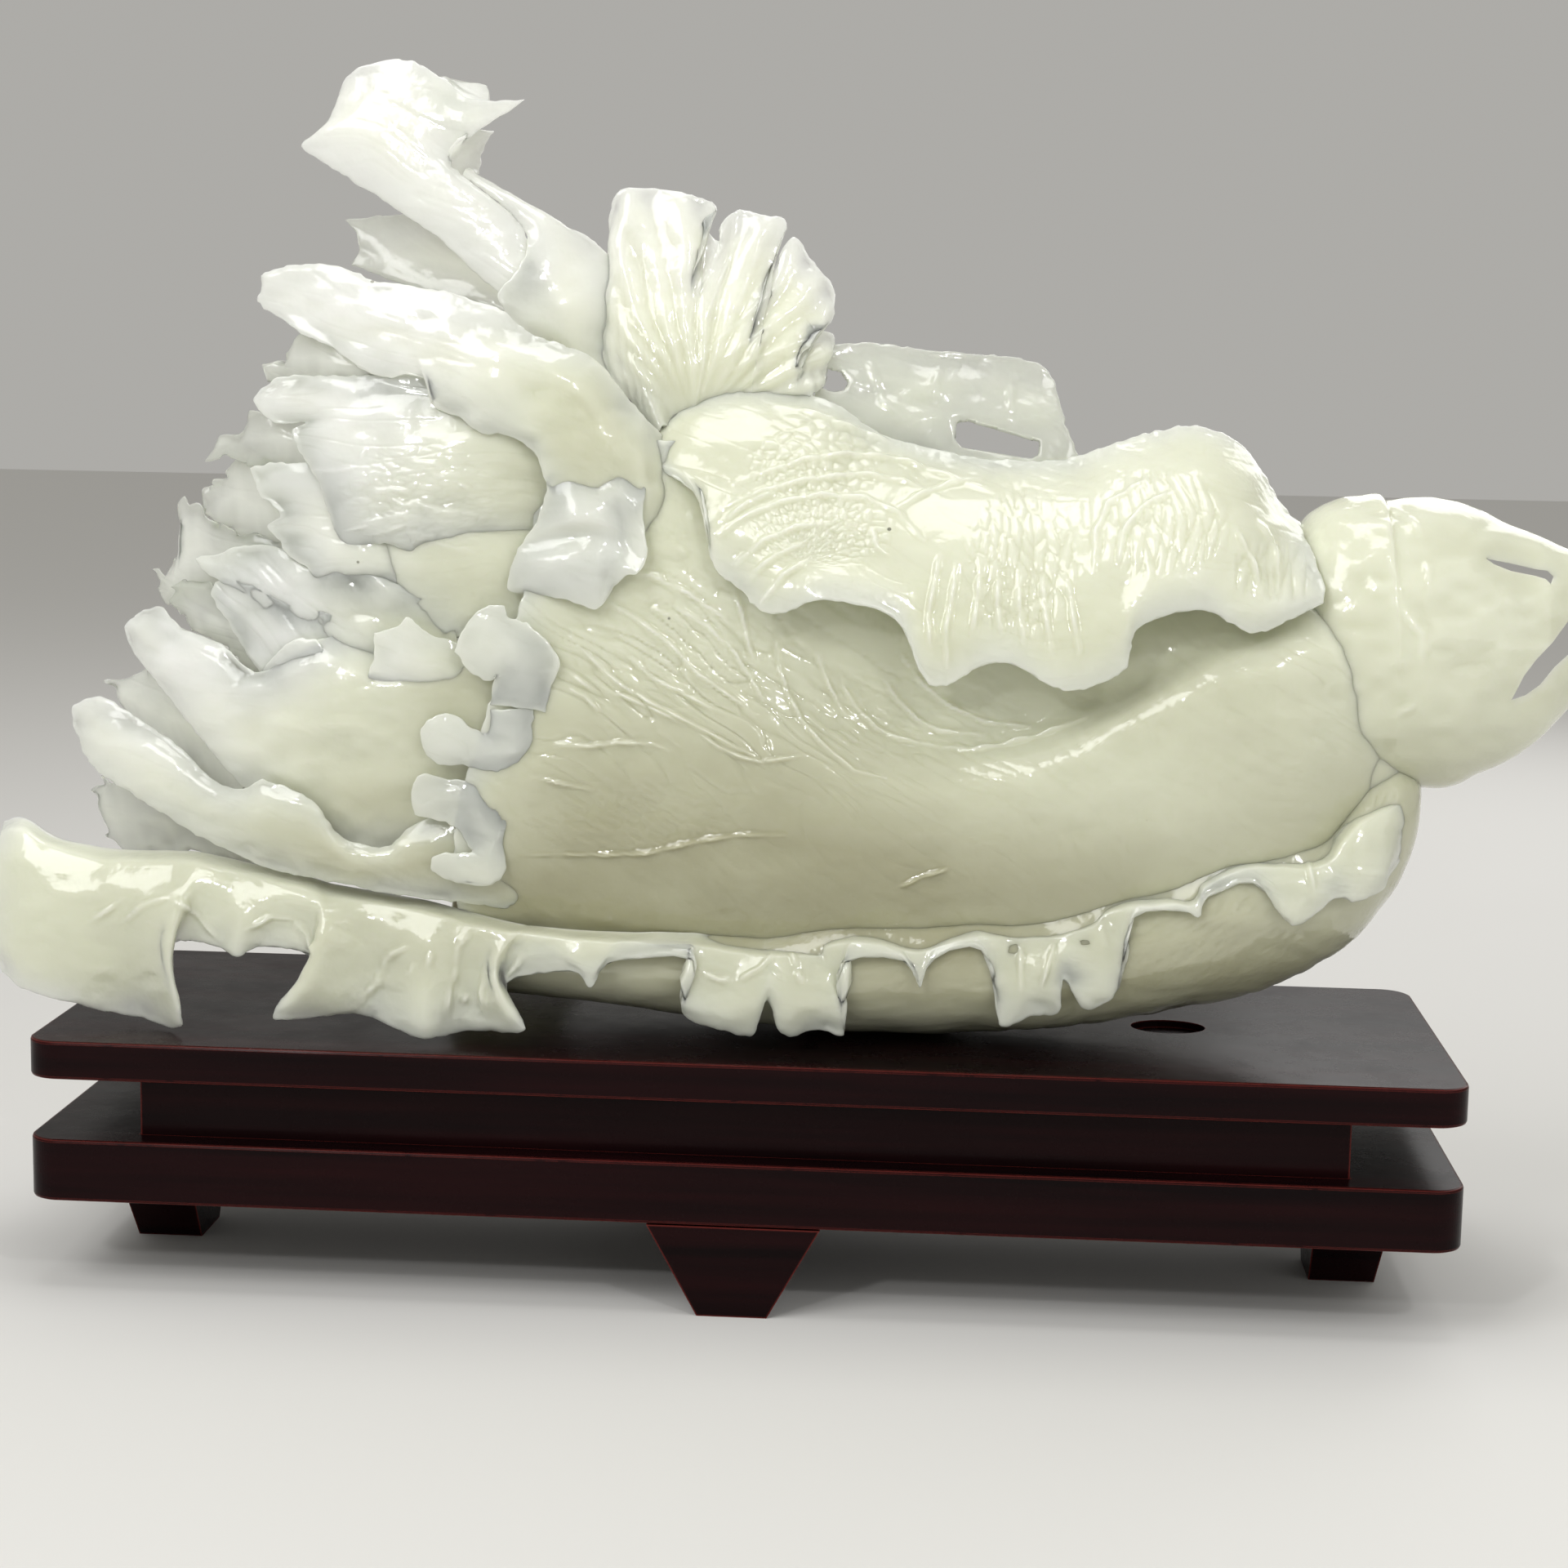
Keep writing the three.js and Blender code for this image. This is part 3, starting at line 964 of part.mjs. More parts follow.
// Through cut: the pixel outline swept along the view past both faces.
function slitSolid(outline) {
  const flat = outline.map(([px, py]) => new THREE.Vector2(px, -py));
  const caps = THREE.ShapeUtils.triangulateShape(flat, []);
  const near = outline.map(([px, py]) => fromPhoto(px, py, -half));
  const far = outline.map(([px, py]) => fromPhoto(px, py, 1 + half));
  const count = outline.length;
  const faces = [];
  const clockwise = THREE.ShapeUtils.isClockWise(flat);
  caps.forEach(([a, b, c]) => {
    faces.push([a, b, c], [a + count, c + count, b + count]);
  });
  for (let k = 0; k < count; k += 1) {
    const next = (k + 1) % count;
    if (clockwise) {
      faces.push([k, next, next + count], [k, next + count, k + count]);
    } else {
      faces.push([next, k, k + count], [next, k + count, next + count]);
    }
  }
  return outward(geometryFrom([...near, ...far], faces));
}

// The same leaf carved on the far side: mirrored through the stone's middle
// plane and drawn in a little towards the board and the stone's middle.
function farSide(table, keepEvery) {
  const last = table.length - 1;
  const near = leafSolid(table.filter((row, i) => i % keepEvery === 0 || i === last));
  const middle = stoneFront + stoneDepth * half;
  return near.translate(0, -middle, -boardTop)
    .mirror([0, 1, 0])
    .scale([1 - backShrinkShare, 1, 1 - backLowerShare])
    .translate(0, middle, boardTop);
}

function stoneLeaves() {
  return [
    leafSolid(frontLeafShares),
    leafSolid(curledLeafShares),
    leafSolid(finLeafShares),
    leafSolid(fanLeafShares),
    leafSolid(tallLeafShares),
    leafSolid(tallSideShares),
    leafSolid(tallCupShares),
    leafSolid(tallBackShares),
    leafSolid(behindLeafShares),
    leafSolid(upperLeftShares),
    leafSolid(shellTopShares),
    leafSolid(shellFrontShares),
    leafSolid(shellBodyShares),
    leafSolid(shellLowShares),
    leafSolid(lowerLeftShares),
    leafSolid(lowerLobeShares),
    leafSolid(midLobeShares),
    leafSolid(longLeafShares),
    leafSolid(skirtLeafShares),
    leafSolid(skirtTipShares),
  ];
}

function fringeLeaves() {
  return [
    fringeOneShares, fringeTwoShares, fringeThreeShares, fringeFourShares, fringeFiveShares,
    innerOneShares, innerTwoShares, lowerBehindShares, longBehindShares,
  ].map((table) => leafSolid(table));
}

function marginCurls() {
  return [
    leafCurlOneShares, leafCurlTwoShares, leafCurlThreeShares, leafCurlFourShares,
  ].map((table) => leafSolid(table));
}

function farLeaves() {
  return [
    farSide(frontLeafShares, 1),
    farSide(curledLeafShares, 2),
    farSide(upperLeftShares, 2),
    farSide(shellBodyShares, 1),
    farSide(lowerLeftShares, 2),
    farSide(longLeafShares, 2),
    farSide(skirtLeafShares, 4),
  ];
}

function stoneBody() {
  return [
    stemSolid(heartShares, 10),
    stemSolid(undersideShares, 14),
    stemSolid(ribShares, 10),
    stemSolid(crownShares, 18),
  ];
}

function stoneCuts() {
  return [
    finHolePixels, finEyePixels, rootSlitPixels, rootEyePixels,
  ].map(slitSolid);
}

function jadeCabbage() {
  const parts = [
    ...stoneBody(), ...stoneLeaves(), ...fringeLeaves(), ...marginCurls(), ...farLeaves(),
  ];
  let stone = wasm.Manifold.union(parts);
  stoneCuts().forEach((cut) => {
    stone = stone.subtract(cut);
  });
  stone = stone.simplify(stoneTolerance);
  const whole = stone.decompose().sort((a, b) => b.volume() - a.volume())[0];
  const geometry = toGeometry(whole);
  geometry.computeBoundingBox();
  geometry.translate(0, 0, boardTop + cutGap - geometry.boundingBox.min.z);
  return makeMesh('jade_cabbage', geometry, stoneFinish);
}

// Stand
function boardSolid(thick) {
  const [x, y, r] = [standLength * half - edgeEase, standDepth * half - edgeEase, cornerRadius - edgeEase];
  const outline = new THREE.Shape();
  outline.moveTo(-x + r, -y);
  outline.lineTo(x - r, -y);
  outline.absarc(x - r, -y + r, r, -quarterTurn, 0, false);
  outline.lineTo(x, y - r);
  outline.absarc(x - r, y - r, r, 0, quarterTurn, false);
  outline.lineTo(-x + r, y);
  outline.absarc(-x + r, y - r, r, quarterTurn, Math.PI, false);
  outline.lineTo(-x, -y + r);
  outline.absarc(-x + r, -y + r, r, Math.PI, Math.PI + quarterTurn, false);
  const geometry = new THREE.ExtrudeGeometry(outline, {
    depth: thick - edgeEase - edgeEase,
    bevelThickness: edgeEase,
    bevelSize: edgeEase,
    bevelSegments: 2,
    curveSegments: 8,
  });
  geometry.translate(0, standDepth * half, edgeEase);
  return toSolid(geometry);
}

function boxSolid(x0, x1, y0, y1, z0, z1) {
  const geometry = new THREE.BoxGeometry(x1 - x0, y1 - y0, z1 - z0);
  geometry.translate((x0 + x1) * half, (y0 + y1) * half, (z0 + z1) * half);
  return toSolid(geometry);
}

// Groove that houses the ring of waist rails, from z0 to z1.
function railGroove(z0, z1) {
  const outX = standLength * half - waistInsetEnd + cutGap;
  const inX = outX - railThick - cutGap - cutGap;
  const outY = waistInsetFront - cutGap;
  const inY = waistInsetFront + railThick + cutGap;
  const outer = boxSolid(-outX, outX, outY, standDepth - outY, z0, z1);
  return outer.subtract(boxSolid(-inX, inX, inY, standDepth - inY, z0 - railThick, z1 + railThick));
}

function pocketSolid() {
  const geometry = new THREE.CylinderGeometry(half, half, pocketDepth + pocketDepth, 28);
  geometry.rotateX(quarterTurn);
  geometry.scale(pocketLength, pocketWidth, 1);
  geometry.translate(pocketFromCentre, pocketFromFront, topBoardThick);
  return toSolid(geometry);
}

function topBoard() {
  const groove = railGroove(-railThick, railHousing);
  const solid = boardSolid(topBoardThick).subtract(groove).subtract(pocketSolid());
  const mesh = makeMesh('top_board', toGeometry(solid), lacquerFinish);
  mesh.position.z = baseHeight + waistHeight;
  return mesh;
}

// Places where the four feet stand: outer face point and turn about Z.
const footPlaces = {
  front_foot: [0, 0, 0],
  back_foot: [0, standDepth, Math.PI],
  left_foot: [endFootInset - standLength * half, standDepth * half, -quarterTurn],
  right_foot: [standLength * half - endFootInset, standDepth * half, quarterTurn],
};

function tenonSolid(thick, room) {
  const reach = tenonLength * half + room;
  const side = tenonThick * half + room;
  return boxSolid(-reach, reach, thick * half - side, thick * half + side, 0, tenonDepth + room);
}

function lowerBoard() {
  let solid = boardSolid(lowerBoardThick);
  solid = solid.subtract(railGroove(lowerBoardThick - railHousing, lowerBoardThick + railThick));
  Object.entries(footPlaces).forEach(([name, [x, y, turn]]) => {
    const thick = isEndFoot(name) ? endFootThick : footThick;
    const mortise = tenonSolid(thick, cutGap).translate(0, 0, -cutGap)
      .rotate(0, 0, turn / toRadians).translate(x, y, 0);
    solid = solid.subtract(mortise);
  });
  const mesh = makeMesh('lower_board', toGeometry(solid), lacquerFinish);
  mesh.position.z = footHeight;
  return mesh;
}

function isEndFoot(name) {
  return name === 'left_foot' || name === 'right_foot';
}

// Tapered foot with its outer face on y = 0 and a stub tenon on top.
function footSolid(thick, toe) {
  const rise = footHeight - cutGap;
  const [wide, narrow] = [footTopWidth * half, footBottomWidth * half];
  const points = [
    [-narrow, toe, 0], [narrow, toe, 0], [narrow, thick, 0], [-narrow, thick, 0],
    [-wide, 0, rise], [wide, 0, rise], [wide, thick, rise], [-wide, thick, rise],
  ].map((p) => new THREE.Vector3(...p));
  const faces = [
    [0, 2, 1], [0, 3, 2], [4, 5, 6], [4, 6, 7], [0, 1, 5], [0, 5, 4],
    [1, 2, 6], [1, 6, 5], [2, 3, 7], [2, 7, 6], [3, 0, 4], [3, 4, 7],
  ];
  const block = outward(geometryFrom(points, faces));
  const stub = tenonSolid(thick, 0).translate(0, 0, rise - cutGap);
  return block.add(stub);
}

function foot(name) {
  const [x, y, turn] = footPlaces[name];
  const solid = isEndFoot(name) ? footSolid(endFootThick, endFootToe) : footSolid(footThick, 0);
  const mesh = makeMesh(name, toGeometry(solid), lacquerFinish);
  mesh.position.set(x, y, 0);
  mesh.rotation.z = turn;
  return mesh;
}

function waistRail(name, x0, x1, y0, y1) {
  const low = baseHeight - railHousing + cutGap;
  const high = baseHeight + waistHeight + railHousing - cutGap;
  return makeMesh(name, toGeometry(boxSolid(x0, x1, y0, y1, low, high)), lacquerFinish);
}

function waistRails() {
  const endX = standLength * half - waistInsetEnd;
  const innerX = endX - railThick;
  const nearY = waistInsetFront;
  const farY = standDepth - waistInsetFront;
  const sideNear = nearY + railThick + cutGap;
  const sideFar = farY - railThick - cutGap;
  return [
    waistRail('waist_front_rail', -endX, endX, nearY, nearY + railThick),
    waistRail('waist_back_rail', -endX, endX, farY - railThick, farY),
    waistRail('waist_left_rail', -endX, -innerX, sideNear, sideFar),
    waistRail('waist_right_rail', innerX, endX, sideNear, sideFar),
  ];
}

function stand() {
  const group = new THREE.Group();
  group.name = 'stand';
  group.add(topBoard(), lowerBoard(), ...waistRails(), ...Object.keys(footPlaces).map(foot));
  return group;
}

// Whole ornament, origin under the middle of its box
function ornament() {
  const group = new THREE.Group();
  group.name = 'jade_cabbage_ornament';
  const pieces = new THREE.Group();
  pieces.name = 'pieces';
  pieces.add(stand(), jadeCabbage());
  group.add(pieces);
  group.updateMatrixWorld(true);
  const box = new THREE.Box3().setFromObject(pieces);
  const centre = box.getCenter(new THREE.Vector3());
  pieces.position.set(-centre.x, -centre.y, -box.min.z);
  group.updateMatrixWorld(true);
  return group;
}

const group = ornament();
export default group;
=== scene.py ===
import logging
import math
from dataclasses import dataclass, field
from enum import Enum

import bmesh
import bpy
import numpy as np
from mathutils import Matrix, Vector


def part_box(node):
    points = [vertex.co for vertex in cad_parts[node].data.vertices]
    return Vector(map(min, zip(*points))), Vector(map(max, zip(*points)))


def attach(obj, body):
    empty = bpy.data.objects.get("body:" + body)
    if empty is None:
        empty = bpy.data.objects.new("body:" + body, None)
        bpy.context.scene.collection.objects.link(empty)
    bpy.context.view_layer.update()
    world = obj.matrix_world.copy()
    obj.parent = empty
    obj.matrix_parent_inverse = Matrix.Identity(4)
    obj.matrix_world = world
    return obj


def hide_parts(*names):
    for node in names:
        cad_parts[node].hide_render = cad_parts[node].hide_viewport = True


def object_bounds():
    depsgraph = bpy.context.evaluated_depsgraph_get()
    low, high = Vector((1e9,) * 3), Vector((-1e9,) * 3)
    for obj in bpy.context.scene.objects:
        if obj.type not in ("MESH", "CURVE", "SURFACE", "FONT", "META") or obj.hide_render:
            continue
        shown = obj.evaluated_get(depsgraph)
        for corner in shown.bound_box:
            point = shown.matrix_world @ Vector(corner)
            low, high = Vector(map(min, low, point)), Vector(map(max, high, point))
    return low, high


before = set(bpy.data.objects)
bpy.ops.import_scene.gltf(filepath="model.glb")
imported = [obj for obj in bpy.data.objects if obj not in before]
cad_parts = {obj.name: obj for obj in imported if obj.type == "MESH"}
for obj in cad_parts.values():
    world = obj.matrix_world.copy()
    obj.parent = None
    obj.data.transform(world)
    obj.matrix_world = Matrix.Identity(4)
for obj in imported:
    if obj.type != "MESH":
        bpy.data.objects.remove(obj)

LOG = logging.getLogger("jade_cabbage")
MM = 0.001
FRAME_PX = 1920
CAD_BOX = [list(corner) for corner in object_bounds()]

Net = list[list[list[float]]]
Stations = list[list[float]]
Lines = list[list[tuple[float, float]]]

# Carving tables. A leaf is rows of photo pixel x, pixel y, share of the depth.
FRONT_LEAF_SHARES = [
    [(1622, 738, 0.16), (1648, 768, 0.13), (1668, 805, 0.125), (1684, 850, 0.138), (1697, 900, 0.185),
     (1707, 935, 0.22), (1717, 953, 0.28), (1728, 968, 0.4)],
    [(1590, 690, 0.35), (1600, 745, 0.2), (1602, 772, 0.15), (1602, 798, 0.11), (1600, 850, 0.085),
     (1600, 940, 0.09), (1600, 1040, 0.15), (1602, 1110, 0.25)],
    [(1490, 650, 0.36), (1500, 745, 0.22), (1500, 785, 0.16), (1500, 815, 0.1), (1500, 850, 0.07),
     (1500, 935, 0.065), (1500, 1040, 0.1), (1500, 1150, 0.22)],
    [(1395, 640, 0.36), (1400, 760, 0.22), (1400, 830, 0.17), (1400, 865, 0.095), (1400, 900, 0.065),
     (1400, 970, 0.06), (1400, 1060, 0.085), (1400, 1190, 0.22)],
    [(1290, 610, 0.36), (1300, 770, 0.22), (1300, 870, 0.18), (1300, 915, 0.09), (1300, 950, 0.055),
     (1300, 1015, 0.055), (1300, 1095, 0.085), (1300, 1210, 0.22)],
    [(1200, 600, 0.36), (1200, 780, 0.22), (1200, 890, 0.18), (1200, 938, 0.09), (1200, 975, 0.055),
     (1200, 1035, 0.055), (1200, 1105, 0.085), (1200, 1222, 0.22)],
    [(1105, 590, 0.35), (1110, 760, 0.21), (1105, 880, 0.17), (1100, 940, 0.09), (1100, 975, 0.06),
     (1100, 1035, 0.055), (1100, 1105, 0.085), (1100, 1225, 0.22)],
    [(1010, 570, 0.33), (1010, 730, 0.19), (1005, 850, 0.15), (1000, 912, 0.09), (1000, 950, 0.065),
     (1000, 1020, 0.055), (1000, 1095, 0.085), (1000, 1215, 0.22)],
    [(905, 548, 0.28), (905, 690, 0.17), (900, 800, 0.13), (900, 878, 0.09), (900, 925, 0.07),
     (900, 1000, 0.06), (895, 1085, 0.085), (890, 1205, 0.22)],
    [(800, 540, 0.24), (800, 660, 0.15), (800, 760, 0.12), (800, 845, 0.095), (800, 900, 0.08),
     (795, 980, 0.07), (792, 1075, 0.09), (785, 1190, 0.22)],
    [(715, 575, 0.2), (706, 680, 0.135), (702, 770, 0.11), (700, 830, 0.095), (698, 890, 0.085),
     (692, 970, 0.075), (684, 1060, 0.1), (672, 1160, 0.21)],
    [(655, 600, 0.19), (645, 700, 0.13), (625, 780, 0.1), (605, 840, 0.09), (588, 900, 0.085),
     (562, 980, 0.08), (555, 1060, 0.105), (560, 1130, 0.19)],
]
CURLED_LEAF_SHARES = [
    [(808, 520, 0.34), (803, 535, 0.3), (802, 550, 0.27), (803, 560, 0.25), (806, 568, 0.23),
     (810, 577, 0.22)],
    [(850, 488, 0.38), (838, 515, 0.3), (836, 545, 0.24), (838, 570, 0.2), (845, 590, 0.17),
     (858, 615, 0.15)],
    [(905, 477, 0.4), (890, 520, 0.28), (880, 565, 0.2), (874, 610, 0.15), (868, 650, 0.12),
     (872, 690, 0.11)],
    [(960, 478, 0.41), (945, 530, 0.26), (930, 590, 0.17), (915, 640, 0.12), (905, 690, 0.1),
     (905, 722, 0.1)],
    [(1020, 492, 0.41), (1000, 550, 0.24), (985, 610, 0.15), (965, 670, 0.09), (950, 715, 0.06),
     (944, 752, 0.06)],
    [(1080, 530, 0.4), (1060, 580, 0.24), (1040, 630, 0.14), (1025, 675, 0.1), (1018, 710, 0.05),
     (1012, 734, 0.03)],
    [(1140, 548, 0.4), (1125, 600, 0.24), (1110, 650, 0.13), (1105, 695, 0.09), (1100, 730, 0.05),
     (1096, 758, 0.03)],
    [(1190, 558, 0.4), (1175, 610, 0.23), (1165, 665, 0.12), (1155, 720, 0.07), (1145, 780, 0.03),
     (1142, 840, 0.03)],
    [(1240, 562, 0.4), (1230, 615, 0.23), (1225, 670, 0.12), (1222, 720, 0.07), (1222, 765, 0.05),
     (1224, 810, 0.04)],
    [(1300, 562, 0.4), (1290, 620, 0.23), (1290, 680, 0.12), (1295, 740, 0.06), (1300, 795, 0.03),
     (1306, 846, 0.03)],
    [(1350, 547, 0.4), (1345, 610, 0.22), (1350, 670, 0.11), (1355, 730, 0.06), (1365, 780, 0.03),
     (1375, 822, 0.04)],
    [(1414, 527, 0.42), (1410, 590, 0.23), (1410, 645, 0.12), (1408, 690, 0.07), (1402, 730, 0.04),
     (1396, 768, 0.04)],
    [(1468, 521, 0.42), (1468, 580, 0.23), (1468, 635, 0.12), (1468, 680, 0.07), (1470, 715, 0.05),
     (1472, 748, 0.05)],
    [(1525, 547, 0.42), (1522, 600, 0.24), (1520, 650, 0.13), (1518, 700, 0.09), (1522, 740, 0.07),
     (1534, 775, 0.07)],
    [(1568, 614, 0.4), (1572, 650, 0.28), (1575, 685, 0.19), (1578, 715, 0.13), (1582, 740, 0.1),
     (1586, 756, 0.1)],
    [(1592, 643, 0.36), (1605, 668, 0.28), (1614, 690, 0.22), (1620, 708, 0.18), (1623, 722, 0.15),
     (1622, 738, 0.14)],
]
FIN_LEAF_SHARES = [
    [(1000, 500, 0.44), (998, 480, 0.46), (1004, 468, 0.47), (1010, 452, 0.48), (1016, 436, 0.49),
     (1023, 421, 0.5)],
    [(1040, 520, 0.43), (1040, 495, 0.45), (1041, 472, 0.46), (1044, 455, 0.48), (1047, 438, 0.5),
     (1050, 419, 0.52)],
    [(1085, 540, 0.42), (1085, 510, 0.44), (1086, 485, 0.46), (1087, 465, 0.48), (1088, 445, 0.5),
     (1089, 421, 0.53)],
    [(1140, 560, 0.41), (1140, 530, 0.43), (1140, 500, 0.46), (1140, 475, 0.48), (1140, 450, 0.51),
     (1140, 428, 0.54)],
    [(1190, 575, 0.4), (1190, 545, 0.43), (1188, 510, 0.46), (1185, 480, 0.49), (1182, 455, 0.52),
     (1180, 431, 0.55)],
    [(1240, 585, 0.4), (1240, 555, 0.43), (1238, 520, 0.46), (1234, 490, 0.49), (1230, 460, 0.52),
     (1226, 434, 0.55)],
    [(1285, 590, 0.41), (1282, 565, 0.43), (1280, 535, 0.45), (1277, 505, 0.48), (1274, 475, 0.51),
     (1270, 444, 0.54)],
    [(1330, 585, 0.42), (1322, 560, 0.43), (1313, 540, 0.45), (1305, 520, 0.46), (1300, 500, 0.48),
     (1291, 464, 0.52)],
]
FAN_LEAF_SHARES = [
    [(800, 540, 0.3), (750, 475, 0.36), (715, 415, 0.42), (733, 355, 0.46), (744, 300, 0.48),
     (744, 270, 0.5)],
    [(812, 520, 0.3), (775, 440, 0.35), (762, 370, 0.4), (760, 310, 0.43), (758, 265, 0.46),
     (757, 234, 0.5)],
    [(825, 525, 0.34), (805, 430, 0.36), (795, 360, 0.41), (795, 310, 0.44), (795, 268, 0.47),
     (795, 229, 0.5)],
    [(840, 515, 0.35), (830, 430, 0.36), (832, 365, 0.4), (838, 315, 0.42), (842, 270, 0.45),
     (845, 237, 0.49)],
    [(850, 512, 0.35), (846, 435, 0.36), (852, 375, 0.4), (860, 325, 0.43), (868, 285, 0.46),
     (878, 253, 0.5)],
    [(853, 511, 0.35), (850, 436, 0.36), (856, 378, 0.4), (860, 335, 0.43), (862, 300, 0.45),
     (862, 272, 0.47)],
    [(858, 508, 0.36), (856, 436, 0.36), (862, 382, 0.4), (868, 348, 0.43), (874, 320, 0.45),
     (879, 295, 0.47)],
    [(866, 505, 0.37), (868, 436, 0.37), (876, 385, 0.41), (882, 345, 0.44), (885, 315, 0.46),
     (884, 275, 0.48)],
    [(876, 502, 0.38), (882, 434, 0.37), (892, 382, 0.41), (899, 335, 0.45), (902, 295, 0.48),
     (903, 257, 0.51)],
    [(900, 500, 0.4), (908, 432, 0.38), (916, 385, 0.42), (923, 340, 0.45), (928, 300, 0.47),
     (930, 262, 0.5)],
    [(915, 500, 0.4), (925, 434, 0.38), (935, 390, 0.42), (943, 350, 0.45), (950, 315, 0.48),
     (963, 274, 0.51)],
    [(918, 500, 0.4), (928, 436, 0.38), (936, 395, 0.42), (941, 370, 0.44), (944, 350, 0.46),
     (945, 334, 0.48)],
    [(925, 500, 0.4), (938, 438, 0.39), (949, 400, 0.42), (957, 365, 0.45), (964, 325, 0.48),
     (971, 288, 0.51)],
    [(945, 500, 0.4), (958, 442, 0.39), (971, 408, 0.42), (982, 375, 0.45), (992, 350, 0.47),
     (1000, 326, 0.5)],
    [(958, 502, 0.41), (972, 446, 0.39), (986, 418, 0.42), (998, 395, 0.45), (1010, 372, 0.47),
     (1020, 350, 0.5)],
    [(965, 502, 0.41), (980, 450, 0.39), (994, 427, 0.42), (1004, 412, 0.44), (1012, 402, 0.46),
     (1020, 394, 0.48)],
    [(968, 502, 0.41), (980, 456, 0.39), (984, 435, 0.41), (986, 420, 0.43), (988, 410, 0.44),
     (989, 400, 0.45)],
    [(975, 502, 0.41), (986, 460, 0.4), (996, 443, 0.42), (1005, 430, 0.44), (1014, 420, 0.46),
     (1022, 410, 0.49)],
    [(985, 502, 0.42), (992, 472, 0.4), (998, 468, 0.42), (1004, 462, 0.43), (1009, 456, 0.45),
     (1014, 450, 0.47)],
    [(990, 503, 0.42), (995, 482, 0.41), (999, 480, 0.42), (1003, 478, 0.43), (1007, 476, 0.44),
     (1010, 473, 0.45)],
]
TALL_LEAF_SHARES = [
    [(700, 430, 0.365), (692, 405, 0.365), (684, 380, 0.37), (675, 355, 0.375), (665, 330, 0.385),
     (655, 310, 0.4)],
    [(608, 357, 0.37), (618, 345, 0.365), (628, 330, 0.365), (636, 316, 0.37), (641, 303, 0.38),
     (645, 290, 0.395)],
    [(531, 288, 0.41), (552, 278, 0.4), (575, 266, 0.395), (598, 257, 0.395), (616, 257, 0.4),
     (630, 264, 0.415)],
    [(460, 240, 0.45), (485, 230, 0.435), (510, 220, 0.425), (535, 213, 0.42), (553, 212, 0.42),
     (566, 214, 0.43)],
    [(413, 210, 0.47), (440, 192, 0.455), (470, 182, 0.44), (505, 178, 0.435), (530, 185, 0.435),
     (552, 198, 0.44)],
    [(369, 179, 0.49), (405, 160, 0.47), (450, 150, 0.455), (500, 150, 0.445), (535, 160, 0.44),
     (562, 178, 0.44)],
    [(396, 158, 0.51), (414, 135, 0.49), (465, 115, 0.47), (525, 122, 0.455), (560, 140, 0.44),
     (600, 150, 0.4)],
    [(416, 112, 0.52), (435, 84, 0.5), (497, 73, 0.485), (545, 97, 0.475), (577, 121, 0.46),
     (641, 122, 0.36)],
]
TALL_SIDE_SHARES = [
    [(566, 214, 0.43), (568, 210, 0.44), (570, 207, 0.46), (572, 205, 0.47)],
    [(612, 250, 0.42), (625, 245, 0.42), (636, 243, 0.44), (645, 249, 0.47)],
    [(642, 282, 0.4), (660, 275, 0.4), (680, 270, 0.43), (695, 277, 0.46)],
    [(645, 305, 0.37), (672, 305, 0.385), (700, 298, 0.42), (730, 296, 0.46)],
    [(632, 330, 0.35), (670, 335, 0.36), (705, 330, 0.4), (745, 315, 0.46)],
    [(609, 358, 0.33), (655, 365, 0.34), (700, 362, 0.37), (750, 350, 0.44)],
    [(616, 378, 0.33), (660, 392, 0.33), (705, 395, 0.36), (750, 390, 0.42)],
    [(633, 402, 0.34), (668, 414, 0.34), (705, 424, 0.35), (745, 430, 0.4)],
    [(668, 418, 0.36), (700, 438, 0.36), (735, 455, 0.37), (770, 470, 0.4)],
]
TALL_CUP_SHARES = [
    [(560, 225, 0.46), (552, 192, 0.43), (562, 172, 0.4)],
    [(578, 215, 0.5), (575, 190, 0.48), (585, 160, 0.46)],
    [(588, 212, 0.54), (592, 185, 0.54), (606, 160, 0.54)],
]
TALL_BACK_SHARES = [
    [(520, 150, 0.48), (560, 155, 0.46), (600, 150, 0.44)],
    [(520, 110, 0.52), (560, 120, 0.52), (602, 132, 0.52)],
    [(535, 92, 0.57), (560, 96, 0.58), (597, 105, 0.58)],
]
BEHIND_LEAF_SHARES = [
    [(680, 420, 0.52), (640, 370, 0.54), (590, 310, 0.58), (540, 265, 0.62)],
    [(600, 375, 0.56), (560, 335, 0.6), (530, 295, 0.62), (500, 262, 0.64)],
    [(500, 350, 0.62), (485, 320, 0.65), (475, 290, 0.67), (465, 264, 0.68)],
    [(430, 324, 0.68), (438, 308, 0.69), (436, 285, 0.7), (421, 269, 0.72)],
]
